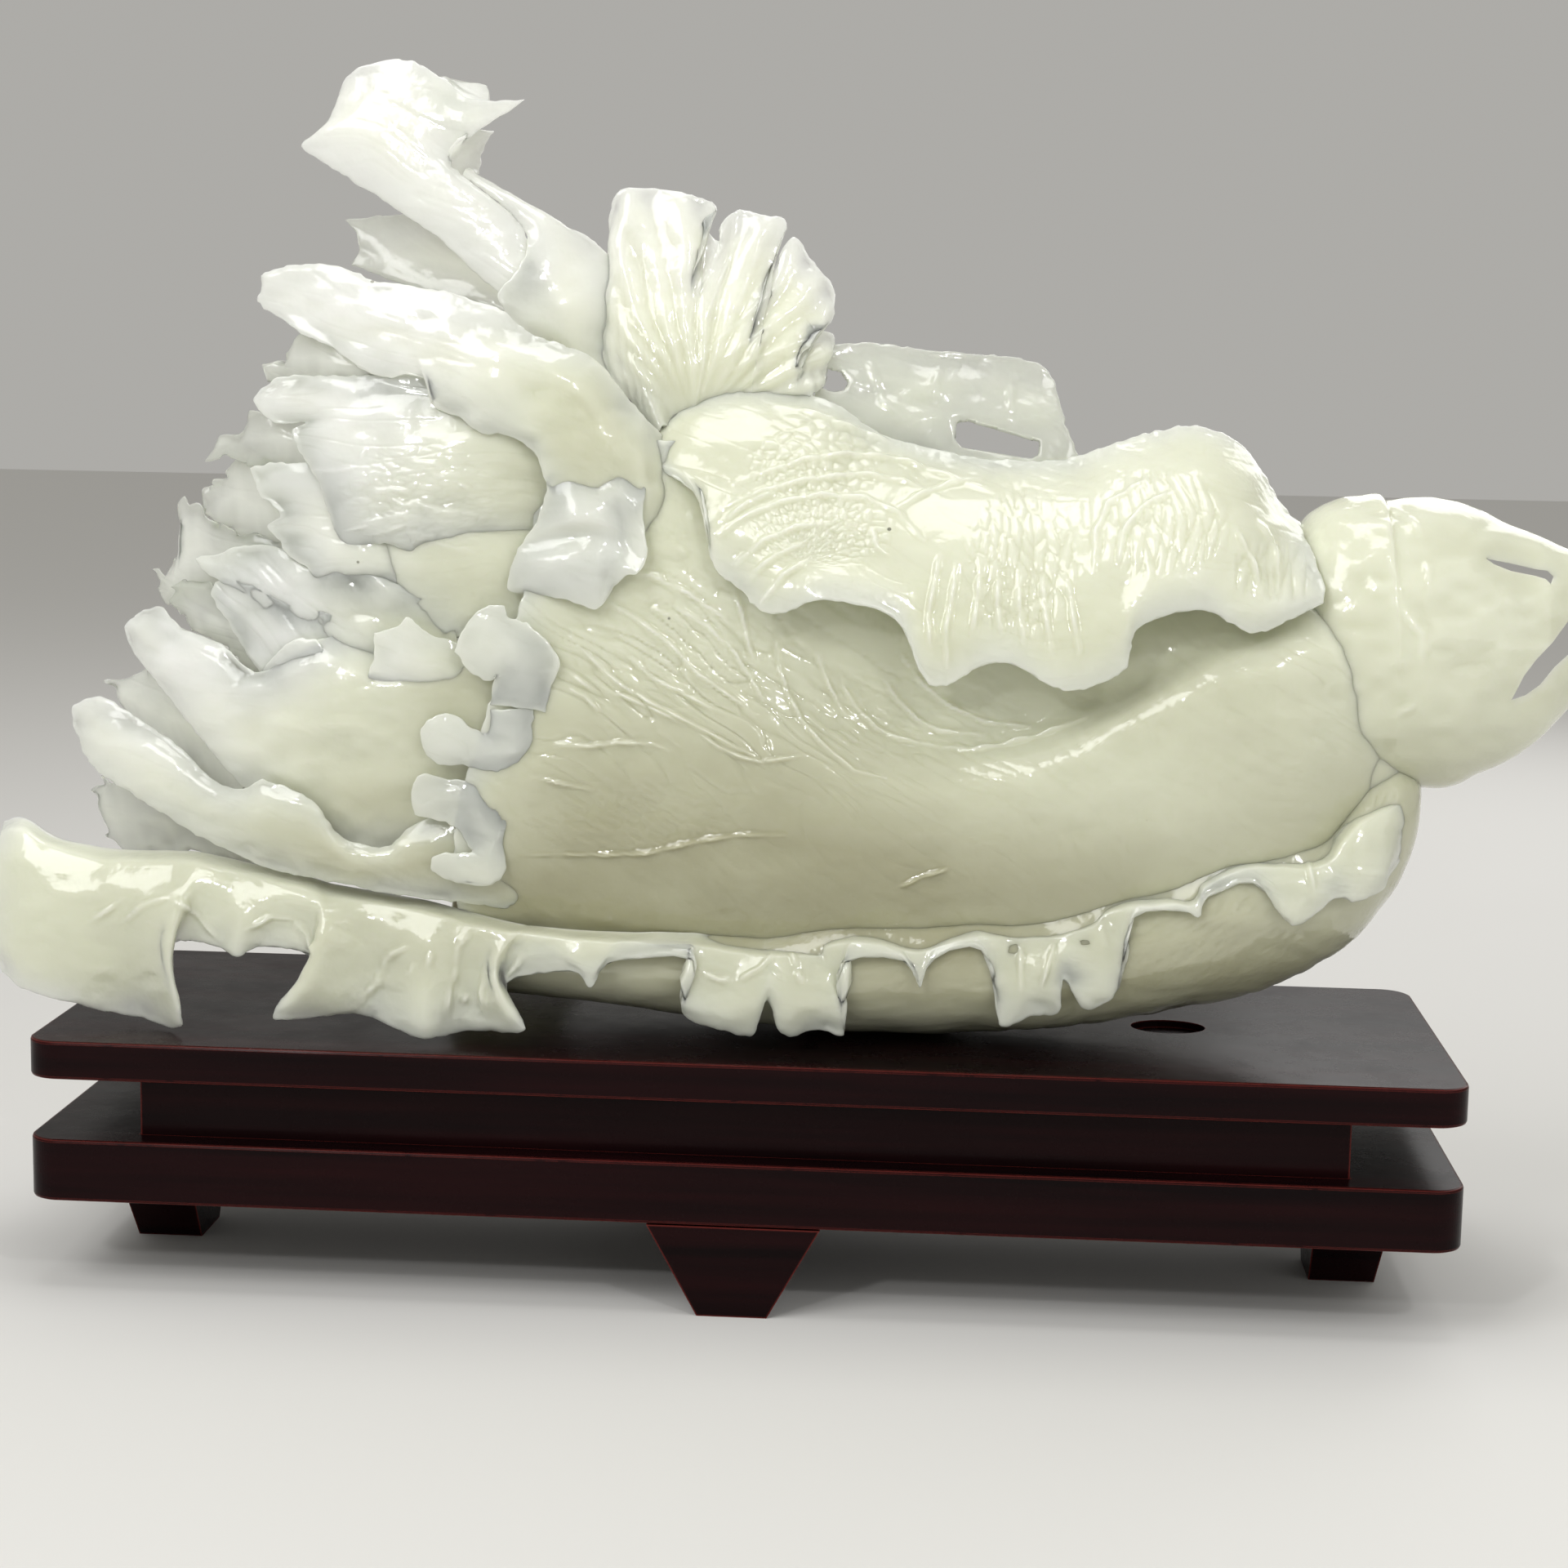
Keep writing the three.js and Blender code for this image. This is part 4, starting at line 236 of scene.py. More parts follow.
UPPER_LEFT_SHARES = [
    [(860, 720, 0.17), (850, 680, 0.16), (850, 640, 0.165), (845, 600, 0.18), (840, 560, 0.24)],
    [(760, 690, 0.15), (760, 640, 0.14), (765, 590, 0.14), (775, 545, 0.16), (785, 505, 0.24)],
    [(700, 640, 0.14), (705, 590, 0.13), (712, 530, 0.13), (722, 480, 0.15), (735, 445, 0.23)],
    [(668, 590, 0.135), (672, 545, 0.125), (678, 500, 0.125), (685, 455, 0.14), (692, 422, 0.21)],
    [(655, 556, 0.135), (650, 520, 0.12), (648, 480, 0.12), (648, 440, 0.135), (650, 408, 0.2)],
    [(620, 533, 0.135), (617, 500, 0.12), (614, 460, 0.12), (614, 420, 0.14), (616, 380, 0.2)],
    [(590, 532, 0.14), (585, 500, 0.125), (580, 460, 0.13), (578, 415, 0.15), (578, 366, 0.2)],
    [(562, 512, 0.145), (556, 485, 0.135), (550, 450, 0.14), (546, 405, 0.16), (545, 356, 0.205)],
    [(528, 497, 0.155), (524, 475, 0.15), (518, 445, 0.155), (512, 400, 0.175), (510, 350, 0.215)],
    [(541, 475, 0.165), (520, 462, 0.165), (502, 435, 0.17), (492, 395, 0.185), (485, 347, 0.225)],
    [(505, 459, 0.175), (488, 448, 0.18), (470, 425, 0.185), (462, 385, 0.2), (458, 343, 0.235)],
    [(470, 462, 0.19), (455, 445, 0.195), (440, 420, 0.205), (432, 380, 0.22), (428, 330, 0.25)],
    [(440, 450, 0.205), (425, 432, 0.215), (412, 405, 0.225), (405, 370, 0.24), (402, 324, 0.265)],
    [(405, 425, 0.23), (394, 410, 0.24), (385, 388, 0.25), (380, 358, 0.26), (378, 323, 0.28)],
    [(372, 410, 0.25), (362, 395, 0.26), (358, 380, 0.27), (354, 355, 0.28), (352, 325, 0.295)],
    [(340, 388, 0.28), (336, 378, 0.285), (334, 365, 0.29), (330, 350, 0.295), (328, 331, 0.305)],
    [(322, 378, 0.3), (318, 372, 0.305), (314, 366, 0.31), (320, 352, 0.31), (318, 338, 0.315)],
]
SHELL_FRONT_SHARES = [
    [(655, 690, 0.2), (662, 650, 0.18), (668, 620, 0.175), (672, 590, 0.175), (674, 565, 0.175),
     (675, 545, 0.178), (676, 530, 0.18), (676, 517, 0.185), (675, 505, 0.19), (672, 492, 0.195),
     (670, 480, 0.2), (668, 462, 0.21)],
    [(585, 672, 0.165), (590, 640, 0.14), (592, 612, 0.134), (592, 586, 0.134), (590, 562, 0.14),
     (588, 545, 0.146), (586, 530, 0.152), (584, 517, 0.158), (582, 505, 0.165), (578, 492, 0.172),
     (575, 480, 0.18), (575, 462, 0.19)],
    [(520, 668, 0.15), (525, 645, 0.133), (525, 618, 0.128), (520, 592, 0.132), (515, 566, 0.142),
     (512, 545, 0.152), (508, 528, 0.16), (508, 512, 0.168), (508, 498, 0.176), (505, 485, 0.184),
     (500, 473, 0.192), (500, 456, 0.205)],
    [(503, 676, 0.152), (495, 650, 0.135), (488, 624, 0.132), (480, 598, 0.138), (470, 570, 0.15),
     (465, 548, 0.16), (460, 530, 0.17), (460, 515, 0.178), (462, 500, 0.185), (448, 487, 0.197),
     (440, 475, 0.205), (445, 459, 0.22)],
    [(478, 668, 0.16), (462, 650, 0.145), (450, 628, 0.145), (442, 602, 0.15), (432, 575, 0.165),
     (424, 552, 0.175), (416, 535, 0.185), (420, 520, 0.19), (425, 506, 0.195), (400, 492, 0.215),
     (378, 478, 0.23), (400, 459, 0.235)],
    [(452, 668, 0.17), (436, 655, 0.162), (424, 635, 0.162), (415, 610, 0.17), (405, 583, 0.182),
     (395, 560, 0.192), (384, 541, 0.203), (388, 526, 0.206), (395, 512, 0.21), (365, 503, 0.235),
     (342, 484, 0.252), (368, 458, 0.258)],
    [(438, 686, 0.185), (420, 668, 0.182), (408, 645, 0.188), (398, 618, 0.197), (388, 590, 0.203),
     (374, 566, 0.213), (360, 541, 0.223), (359, 525, 0.228), (371, 517, 0.23), (334, 517, 0.255),
     (310, 488, 0.278), (340, 462, 0.272)],
]
SHELL_BODY_SHARES = [
    [(650, 780, 0.165), (660, 700, 0.165), (668, 640, 0.185), (672, 580, 0.19), (676, 520, 0.2)],
    [(610, 780, 0.16), (625, 700, 0.15), (632, 640, 0.165), (636, 580, 0.17), (640, 510, 0.185)],
    [(560, 780, 0.16), (575, 700, 0.142), (580, 640, 0.15), (584, 580, 0.16), (588, 505, 0.18)],
    [(500, 760, 0.165), (520, 690, 0.148), (530, 620, 0.155), (535, 560, 0.17), (540, 470, 0.2)],
    [(455, 740, 0.195), (465, 690, 0.18), (470, 630, 0.185), (472, 570, 0.2), (475, 450, 0.23)],
    [(430, 720, 0.22), (435, 670, 0.22), (438, 620, 0.22), (440, 560, 0.225), (440, 462, 0.25)],
]
SHELL_LOW_SHARES = [
    [(530, 740, 0.2), (530, 725, 0.195), (525, 705, 0.195), (520, 690, 0.195), (515, 675, 0.195),
     (505, 660, 0.195), (495, 645, 0.2), (490, 630, 0.2), (485, 612, 0.205), (480, 590, 0.21),
     (470, 565, 0.22)],
    [(490, 725, 0.168), (485, 710, 0.165), (475, 695, 0.165), (468, 680, 0.168), (460, 665, 0.172),
     (448, 650, 0.178), (440, 640, 0.185), (435, 625, 0.19), (428, 608, 0.198), (420, 590, 0.208),
     (410, 565, 0.22)],
    [(460, 712, 0.175), (445, 700, 0.168), (432, 688, 0.17), (424, 678, 0.175), (412, 665, 0.182),
     (400, 652, 0.19), (392, 642, 0.2), (392, 627, 0.205), (382, 608, 0.215), (372, 590, 0.225),
     (365, 566, 0.24)],
    [(445, 706, 0.182), (424, 704, 0.18), (402, 694, 0.182), (388, 683, 0.188), (375, 668, 0.2),
     (362, 655, 0.213), (352, 642, 0.225), (362, 630, 0.222), (350, 612, 0.235), (336, 596, 0.248),
     (330, 567, 0.262)],
    [(437, 706, 0.188), (415, 713, 0.19), (384, 707, 0.195), (371, 691, 0.2), (355, 682, 0.215),
     (340, 662, 0.232), (327, 643, 0.245), (343, 632, 0.24), (330, 617, 0.25), (314, 600, 0.265),
     (305, 572, 0.28)],
]
FRINGE_ONE_SHARES = [
    [(480, 485, 0.22), (475, 455, 0.22), (470, 425, 0.25)],
    [(410, 475, 0.25), (410, 445, 0.25), (408, 408, 0.28)],
    [(365, 468, 0.29), (362, 440, 0.3), (370, 405, 0.31)],
    [(338, 468, 0.32), (345, 450, 0.325), (354, 432, 0.33)],
    [(327, 466, 0.34), (320, 449, 0.345), (349, 447, 0.34)],
]
FRINGE_TWO_SHARES = [
    [(420, 600, 0.24), (410, 555, 0.24), (400, 500, 0.26)],
    [(350, 572, 0.28), (350, 540, 0.28), (345, 505, 0.3)],
    [(308, 568, 0.32), (308, 540, 0.32), (310, 503, 0.33)],
    [(282, 563, 0.34), (284, 547, 0.345), (299, 528, 0.35)],
    [(262, 561, 0.36), (266, 545, 0.365), (276, 533, 0.37)],
    [(254, 559, 0.38), (256, 553, 0.38), (261, 546, 0.38)],
]
FRINGE_THREE_SHARES = [
    [(390, 700, 0.27), (380, 640, 0.27), (360, 565, 0.28)],
    [(335, 685, 0.31), (328, 630, 0.31), (318, 562, 0.33)],
    [(295, 655, 0.35), (295, 610, 0.35), (285, 563, 0.37)],
    [(264, 645, 0.38), (266, 615, 0.38), (272, 582, 0.39)],
    [(245, 622, 0.4), (244, 606, 0.4), (252, 592, 0.41)],
]
FRINGE_FOUR_SHARES = [
    [(420, 740, 0.26), (400, 700, 0.26), (380, 665, 0.28)],
    [(320, 725, 0.31), (312, 690, 0.31), (300, 650, 0.33)],
    [(262, 725, 0.35), (262, 680, 0.36), (258, 635, 0.38)],
    [(228, 738, 0.39), (224, 680, 0.4), (222, 609, 0.42)],
    [(215, 744, 0.41), (210, 715, 0.415), (222, 665, 0.42)],
    [(208, 743, 0.43), (200, 722, 0.435), (203, 697, 0.435)],
    [(200, 735, 0.44), (192, 718, 0.445), (183, 700, 0.45)],
]
FRINGE_FIVE_SHARES = [
    [(450, 880, 0.21), (430, 830, 0.21), (410, 770, 0.23)],
    [(345, 845, 0.235), (335, 800, 0.235), (315, 750, 0.255)],
    [(292, 806, 0.275), (277, 768, 0.275), (264, 722, 0.295)],
    [(252, 782, 0.31), (237, 748, 0.315), (236, 706, 0.33)],
    [(222, 756, 0.35), (212, 738, 0.355), (210, 716, 0.37)],
]
INNER_ONE_SHARES = [
    [(560, 840, 0.155), (560, 790, 0.15), (550, 740, 0.16)],
    [(460, 820, 0.155), (470, 770, 0.15), (470, 708, 0.165)],
    [(400, 800, 0.175), (415, 750, 0.17), (420, 698, 0.185)],
    [(350, 770, 0.2), (370, 728, 0.2), (375, 688, 0.215)],
    [(310, 735, 0.235), (325, 705, 0.235), (340, 670, 0.25)],
    [(280, 717, 0.27), (290, 695, 0.275), (300, 667, 0.285)],
    [(258, 706, 0.3), (255, 690, 0.305), (268, 677, 0.31)],
    [(243, 692, 0.32), (238, 684, 0.325), (246, 680, 0.325)],
]
INNER_TWO_SHARES = [
    [(480, 860, 0.155), (480, 815, 0.15), (470, 775, 0.165)],
    [(400, 845, 0.17), (405, 800, 0.165), (400, 750, 0.18)],
    [(350, 832, 0.19), (352, 790, 0.185), (350, 738, 0.205)],
    [(318, 822, 0.21), (320, 780, 0.21), (318, 722, 0.23)],
    [(298, 795, 0.235), (298, 755, 0.235), (295, 712, 0.255)],
    [(275, 757, 0.26), (275, 735, 0.265), (275, 708, 0.28)],
    [(262, 738, 0.28), (258, 725, 0.285), (264, 712, 0.29)],
]
LOWER_LEFT_SHARES = [
    [(700, 1003, 0.18), (700, 940, 0.17), (700, 880, 0.17), (700, 820, 0.17), (700, 780, 0.19)],
    [(560, 1040, 0.16), (560, 940, 0.13), (570, 880, 0.12), (560, 810, 0.13), (560, 775, 0.21)],
    [(450, 1045, 0.16), (450, 930, 0.12), (455, 880, 0.11), (455, 830, 0.12), (460, 772, 0.2)],
    [(370, 1005, 0.18), (370, 920, 0.14), (378, 870, 0.13), (385, 820, 0.13), (388, 783, 0.16)],
    [(300, 965, 0.2), (300, 905, 0.17), (310, 860, 0.16), (315, 835, 0.17), (318, 822, 0.19)],
    [(250, 910, 0.24), (250, 880, 0.21), (255, 845, 0.2), (262, 812, 0.21), (270, 788, 0.23)],
    [(205, 853, 0.28), (205, 828, 0.26), (210, 805, 0.26), (216, 785, 0.27), (222, 768, 0.29)],
    [(168, 806, 0.34), (165, 788, 0.33), (170, 770, 0.33), (184, 755, 0.34), (200, 743, 0.36)],
    [(156, 785, 0.37), (153, 772, 0.37), (154, 764, 0.37), (162, 755, 0.37), (174, 747, 0.38)],
]
LOWER_LOBE_SHARES = [
    [(470, 870, 0.16), (480, 825, 0.15), (470, 785, 0.16)],
    [(433, 852, 0.14), (432, 838, 0.135), (434, 824, 0.14)],
    [(400, 862, 0.14), (400, 838, 0.13), (402, 810, 0.135)],
    [(370, 857, 0.145), (374, 822, 0.135), (386, 783, 0.145)],
    [(340, 851, 0.155), (340, 825, 0.15), (353, 787, 0.16)],
    [(325, 840, 0.17), (318, 832, 0.17), (320, 820, 0.18)],
]
MID_LOBE_SHARES = [
    [(448, 880, 0.13), (478, 886, 0.126), (508, 888, 0.125), (545, 884, 0.13), (600, 870, 0.142)],
    [(450, 832, 0.119), (480, 838, 0.115), (512, 840, 0.115), (548, 836, 0.12), (592, 826, 0.132)],
    [(458, 800, 0.11), (484, 806, 0.1), (512, 808, 0.104), (545, 808, 0.112), (572, 804, 0.122)],
    [(457, 775, 0.112), (485, 768, 0.1), (500, 756, 0.105), (520, 773, 0.112), (560, 786, 0.125)],
]
LOWER_BEHIND_SHARES = [
    [(440, 1040, 0.34), (400, 960, 0.35), (350, 870, 0.38)],
    [(315, 1000, 0.4), (285, 925, 0.43), (245, 838, 0.46)],
    [(232, 940, 0.47), (207, 870, 0.51), (194, 824, 0.54)],
    [(172, 895, 0.54), (157, 852, 0.57), (178, 818, 0.58)],
    [(150, 870, 0.58), (133, 833, 0.62), (150, 834, 0.61)],
]
LONG_LEAF_SHARES = [
    [(762, 1130, 0.19), (760, 1090, 0.19), (750, 1040, 0.18), (740, 990, 0.2)],
    [(640, 1115, 0.16), (640, 1070, 0.13), (640, 1020, 0.12), (630, 980, 0.15)],
    [(540, 1103, 0.14), (530, 1070, 0.11), (520, 1035, 0.1), (515, 1005, 0.13)],
    [(473, 1095, 0.14), (473, 1070, 0.11), (473, 1050, 0.1), (473, 1035, 0.11)],
    [(430, 1085, 0.15), (428, 1065, 0.11), (425, 1045, 0.1), (420, 1025, 0.12)],
    [(385, 1077, 0.16), (385, 1045, 0.12), (385, 1010, 0.1), (384, 981, 0.12)],
    [(335, 1065, 0.17), (335, 1030, 0.13), (330, 990, 0.11), (325, 955, 0.13)],
    [(295, 1050, 0.18), (292, 1022, 0.15), (290, 990, 0.14), (294, 965, 0.16)],
    [(235, 1020, 0.21), (245, 995, 0.18), (252, 970, 0.18), (262, 955, 0.2)],
    [(165, 975, 0.26), (180, 948, 0.23), (195, 922, 0.23), (215, 910, 0.25)],
    [(112, 937, 0.31), (125, 908, 0.29), (140, 888, 0.29), (160, 873, 0.31)],
    [(95, 905, 0.34), (102, 885, 0.33), (113, 870, 0.33), (126, 853, 0.34)],
    [(88, 882, 0.36), (86, 870, 0.36), (88, 863, 0.36), (98, 859, 0.36)],
]
LONG_BEHIND_SHARES = [
    [(380, 1080, 0.34), (370, 1050, 0.36), (350, 1010, 0.38)],
    [(262, 1050, 0.42), (245, 1015, 0.44), (210, 985, 0.46)],
    [(195, 1046, 0.48), (180, 1000, 0.5), (160, 968, 0.52)],
    [(145, 1042, 0.55), (132, 1000, 0.56), (125, 950, 0.58)],
    [(128, 998, 0.58), (116, 966, 0.6), (124, 958, 0.6)],
]
LEAF_CURL_ONE_SHARES = [
    [(790, 598, 0.15), (760, 576, 0.15), (730, 570, 0.15), (702, 566, 0.15), (672, 562, 0.15)],
    [(788, 632, 0.122), (758, 606, 0.125), (728, 602, 0.124), (696, 598, 0.118), (668, 602, 0.13)],
    [(791, 664, 0.102), (762, 640, 0.127), (735, 634, 0.1), (700, 634, 0.088), (656, 640, 0.137)],
    [(790, 686, 0.094), (764, 668, 0.122), (738, 655, 0.11), (702, 656, 0.112), (641, 661, 0.134)],
    [(780, 702, 0.092), (756, 690, 0.102), (726, 682, 0.088), (684, 684, 0.084), (626, 690, 0.127)],
    [(767, 706, 0.1), (745, 706, 0.097), (724, 706, 0.082), (676, 708, 0.09), (621, 722, 0.122)],
    [(748, 722, 0.107), (742, 738, 0.092), (722, 746, 0.087), (695, 735, 0.092), (640, 727, 0.127)],
]
LEAF_CURL_TWO_SHARES = [
    [(668, 873, 0.085), (645, 868, 0.079), (620, 866, 0.079), (600, 862, 0.087)],
    [(676, 840, 0.079), (652, 836, 0.073), (628, 832, 0.073), (604, 834, 0.083)],
    [(684, 805, 0.079), (655, 805, 0.07), (630, 810, 0.07), (606, 832, 0.081)],
    [(650, 765, 0.083), (632, 780, 0.073), (615, 800, 0.07), (600, 833, 0.083)],
    [(622, 757, 0.085), (606, 775, 0.074), (596, 800, 0.073), (588, 832, 0.081)],
    [(618, 742, 0.085), (595, 755, 0.077), (580, 785, 0.074), (572, 820, 0.081)],
    [(598, 741, 0.087), (580, 752, 0.081), (565, 775, 0.079), (556, 798, 0.083)],
]
LEAF_CURL_THREE_SHARES = [
    [(655, 862, 0.085), (640, 866, 0.081), (620, 868, 0.081), (600, 870, 0.087)],
    [(652, 890, 0.083), (634, 895, 0.073), (615, 900, 0.073), (597, 893, 0.083)],
    [(650, 915, 0.081), (630, 920, 0.07), (612, 915, 0.073), (588, 895, 0.083)],
    [(628, 940, 0.083), (612, 930, 0.073), (592, 915, 0.073), (572, 886, 0.083)],
    [(600, 945, 0.085), (588, 930, 0.074), (572, 910, 0.074), (560, 876, 0.083)],
    [(570, 938, 0.087), (560, 925, 0.074), (550, 900, 0.073), (545, 873, 0.083)],
    [(540, 937, 0.083), (534, 920, 0.074), (528, 900, 0.073), (525, 880, 0.081)],
    [(522, 925, 0.083), (517, 915, 0.079), (514, 905, 0.079), (515, 893, 0.083)],
]
LEAF_CURL_FOUR_SHARES = [
    [(503, 972, 0.083), (502, 980, 0.081), (503, 988, 0.081), (508, 998, 0.085)],
    [(514, 948, 0.085), (520, 965, 0.077), (526, 985, 0.074), (530, 1004, 0.083)],
    [(545, 952, 0.085), (550, 968, 0.074), (552, 985, 0.073), (552, 1010, 0.081)],
    [(578, 958, 0.083), (580, 975, 0.073), (577, 995, 0.073), (566, 1022, 0.083)],
    [(610, 985, 0.081), (600, 1000, 0.073), (590, 1015, 0.073), (572, 1035, 0.083)],
    [(621, 1005, 0.081), (610, 1020, 0.073), (598, 1030, 0.073), (576, 1041, 0.083)],
    [(616, 1033, 0.083), (606, 1040, 0.074), (594, 1048, 0.073), (566, 1044, 0.083)],
    [(621, 1062, 0.083), (602, 1066, 0.073), (575, 1063, 0.073), (545, 1044, 0.081)],
    [(608, 1082, 0.085), (590, 1083, 0.077), (560, 1076, 0.077), (527, 1053, 0.081)],
    [(590, 1085, 0.087), (565, 1082, 0.083), (545, 1076, 0.083), (529, 1068, 0.085)],
]
SKIRT_LEAF_SHARES = [
    [(4, 1006, 0.32), (-10, 1050, 0.29), (-14, 1100, 0.27), (-10, 1150, 0.27), (2, 1190, 0.28)],
    [(28, 1000, 0.29), (25, 1060, 0.23), (25, 1120, 0.2), (25, 1170, 0.2), (30, 1212, 0.22)],
    [(80, 1028, 0.26), (80, 1080, 0.2), (82, 1130, 0.17), (85, 1180, 0.17), (96, 1231, 0.18)],
    [(150, 1040, 0.24), (150, 1080, 0.18), (155, 1120, 0.155),
     (160, 1180, 0.165), (170, 1247, 0.185)],
    [(215, 1042, 0.23), (215, 1080, 0.165), (210, 1120, 0.115),
     (205, 1180, 0.09), (222, 1254, 0.095)],
    [(245, 1044, 0.22), (244, 1070, 0.17), (238, 1100, 0.15),
     (222, 1135, 0.155), (206, 1160, 0.165)],
    [(275, 1050, 0.21), (272, 1080, 0.16), (270, 1110, 0.145),
     (266, 1140, 0.15), (262, 1159, 0.155)],
    [(310, 1058, 0.2), (305, 1090, 0.15), (300, 1120, 0.125),
     (293, 1145, 0.12), (289, 1173, 0.125)],
    [(350, 1068, 0.19), (345, 1092, 0.14), (340, 1115, 0.135),
     (332, 1140, 0.14), (322, 1160, 0.145)],
    [(385, 1076, 0.18), (385, 1100, 0.13), (385, 1125, 0.13),
     (384, 1150, 0.135), (382, 1175, 0.14)],
    [(410, 1082, 0.18), (406, 1112, 0.125), (396, 1150, 0.08),
     (372, 1205, 0.07), (334, 1247, 0.085)],
    [(470, 1092, 0.15), (465, 1130, 0.12), (462, 1170, 0.115),
     (455, 1210, 0.125), (440, 1243, 0.14)],
    [(530, 1104, 0.13), (525, 1140, 0.09), (520, 1180, 0.07),
     (516, 1225, 0.055), (514, 1272, 0.06)],
    [(590, 1120, 0.11), (585, 1150, 0.09), (580, 1185, 0.09), (578, 1220, 0.1), (576, 1262, 0.115)],
    [(640, 1132, 0.1), (622, 1150, 0.08), (605, 1180, 0.06),
     (612, 1220, 0.045), (643, 1262, 0.055)],
    [(655, 1134, 0.1), (640, 1148, 0.09), (628, 1165, 0.095), (620, 1185, 0.1), (622, 1205, 0.105)],
    [(690, 1137, 0.085), (680, 1150, 0.075), (680, 1165, 0.065),
     (688, 1178, 0.065), (700, 1190, 0.065)],
    [(740, 1140, 0.085), (735, 1160, 0.065), (730, 1175, 0.055),
     (726, 1190, 0.045), (724, 1209, 0.055)],
    [(775, 1141, 0.085), (768, 1150, 0.075), (762, 1158, 0.07),
     (757, 1168, 0.065), (752, 1178, 0.065)],
    [(840, 1141, 0.085), (842, 1150, 0.075), (846, 1160, 0.07),
     (849, 1168, 0.065), (851, 1176, 0.06)],
    [(870, 1145, 0.1), (858, 1170, 0.08), (845, 1200, 0.07), (832, 1225, 0.06), (836, 1242, 0.08)],
    [(905, 1152, 0.1), (895, 1180, 0.08), (890, 1210, 0.06), (888, 1240, 0.055), (887, 1263, 0.08)],
    [(935, 1156, 0.1), (930, 1175, 0.08), (925, 1200, 0.06), (922, 1230, 0.055), (922, 1268, 0.08)],
    [(950, 1156, 0.1), (949, 1172, 0.08), (946, 1190, 0.07), (943, 1207, 0.06), (940, 1226, 0.07)],
    [(970, 1156, 0.1), (970, 1180, 0.08), (968, 1205, 0.06), (966, 1235, 0.055), (958, 1268, 0.08)],
    [(1000, 1155, 0.1), (1005, 1180, 0.08), (1012, 1205, 0.06),
     (1014, 1235, 0.055), (1005, 1262, 0.08)],
    [(1008, 1144, 0.1), (1016, 1170, 0.08), (1028, 1200, 0.07),
     (1036, 1235, 0.06), (1034, 1266, 0.08)],
    [(1045, 1139, 0.085), (1044, 1147, 0.075), (1040, 1156, 0.065),
     (1035, 1168, 0.06), (1028, 1182, 0.055)],
    [(1083, 1147, 0.085), (1088, 1154, 0.075), (1094, 1161, 0.065),
     (1100, 1169, 0.055), (1106, 1177, 0.055)],
    [(1121, 1152, 0.085), (1122, 1165, 0.065), (1124, 1180, 0.055),
     (1125, 1195, 0.045), (1126, 1209, 0.045)],
    [(1150, 1144, 0.085), (1149, 1151, 0.075), (1147, 1158, 0.065),
     (1145, 1165, 0.06), (1143, 1173, 0.055)],
    [(1195, 1134, 0.085), (1196, 1141, 0.075), (1198, 1148, 0.07),
     (1201, 1155, 0.065), (1206, 1162, 0.06)],
    [(1235, 1134, 0.1), (1237, 1160, 0.08), (1235, 1190, 0.065),
     (1230, 1222, 0.06), (1224, 1254, 0.08)],
    [(1265, 1134, 0.1), (1265, 1160, 0.075), (1267, 1185, 0.055),
     (1268, 1213, 0.055), (1264, 1244, 0.08)],
    [(1292, 1133, 0.1), (1293, 1155, 0.075), (1291, 1178, 0.055),
     (1287, 1208, 0.055), (1296, 1242, 0.08)],
    [(1315, 1128, 0.1), (1313, 1145, 0.08), (1310, 1162, 0.065),
     (1305, 1180, 0.06), (1303, 1201, 0.065)],
    [(1338, 1117, 0.105), (1342, 1142, 0.08), (1345, 1170, 0.065),
     (1343, 1200, 0.06), (1330, 1237, 0.08)],
    [(1352, 1104, 0.105), (1358, 1130, 0.09), (1366, 1160, 0.075),
     (1378, 1185, 0.07), (1370, 1212, 0.085)],
    [(1391, 1096, 0.083), (1391, 1102, 0.078), (1390, 1109, 0.073),
     (1388, 1116, 0.068), (1385, 1124, 0.063)],
    [(1430, 1096, 0.083), (1432, 1101, 0.078), (1436, 1106, 0.068),
     (1440, 1111, 0.063), (1445, 1116, 0.058)],
    [(1458, 1094, 0.083), (1460, 1102, 0.068), (1463, 1110, 0.058),
     (1466, 1117, 0.053), (1468, 1124, 0.053)],
    [(1474, 1070, 0.093), (1476, 1077, 0.088), (1478, 1084, 0.083),
     (1480, 1091, 0.078), (1480, 1099, 0.073)],
    [(1520, 1051, 0.103), (1524, 1058, 0.098), (1528, 1065, 0.093),
     (1532, 1073, 0.088), (1536, 1081, 0.083)],
    [(1560, 1047, 0.108), (1567, 1062, 0.088), (1571, 1085, 0.068),
     (1571, 1106, 0.058), (1573, 1128, 0.063)],
    [(1600, 1049, 0.113), (1602, 1065, 0.088), (1604, 1085, 0.068),
     (1602, 1107, 0.063), (1596, 1131, 0.068)],
    [(1625, 1041, 0.118), (1628, 1055, 0.098), (1632, 1070, 0.083),
     (1634, 1085, 0.078), (1634, 1101, 0.078)],
    [(1640, 1018, 0.128), (1650, 1040, 0.103), (1661, 1060, 0.088),
     (1665, 1082, 0.078), (1660, 1104, 0.083)],
    [(1665, 994, 0.148), (1672, 1020, 0.123), (1684, 1045, 0.108),
     (1694, 1070, 0.098), (1690, 1093, 0.103)],
    [(1700, 976, 0.188), (1705, 1000, 0.168), (1709, 1022, 0.158),
     (1710, 1045, 0.153), (1706, 1068, 0.158)],
    [(1730, 965, 0.27), (1731, 985, 0.26), (1729, 1008, 0.25),
     (1724, 1030, 0.25), (1717, 1052, 0.26)],
]
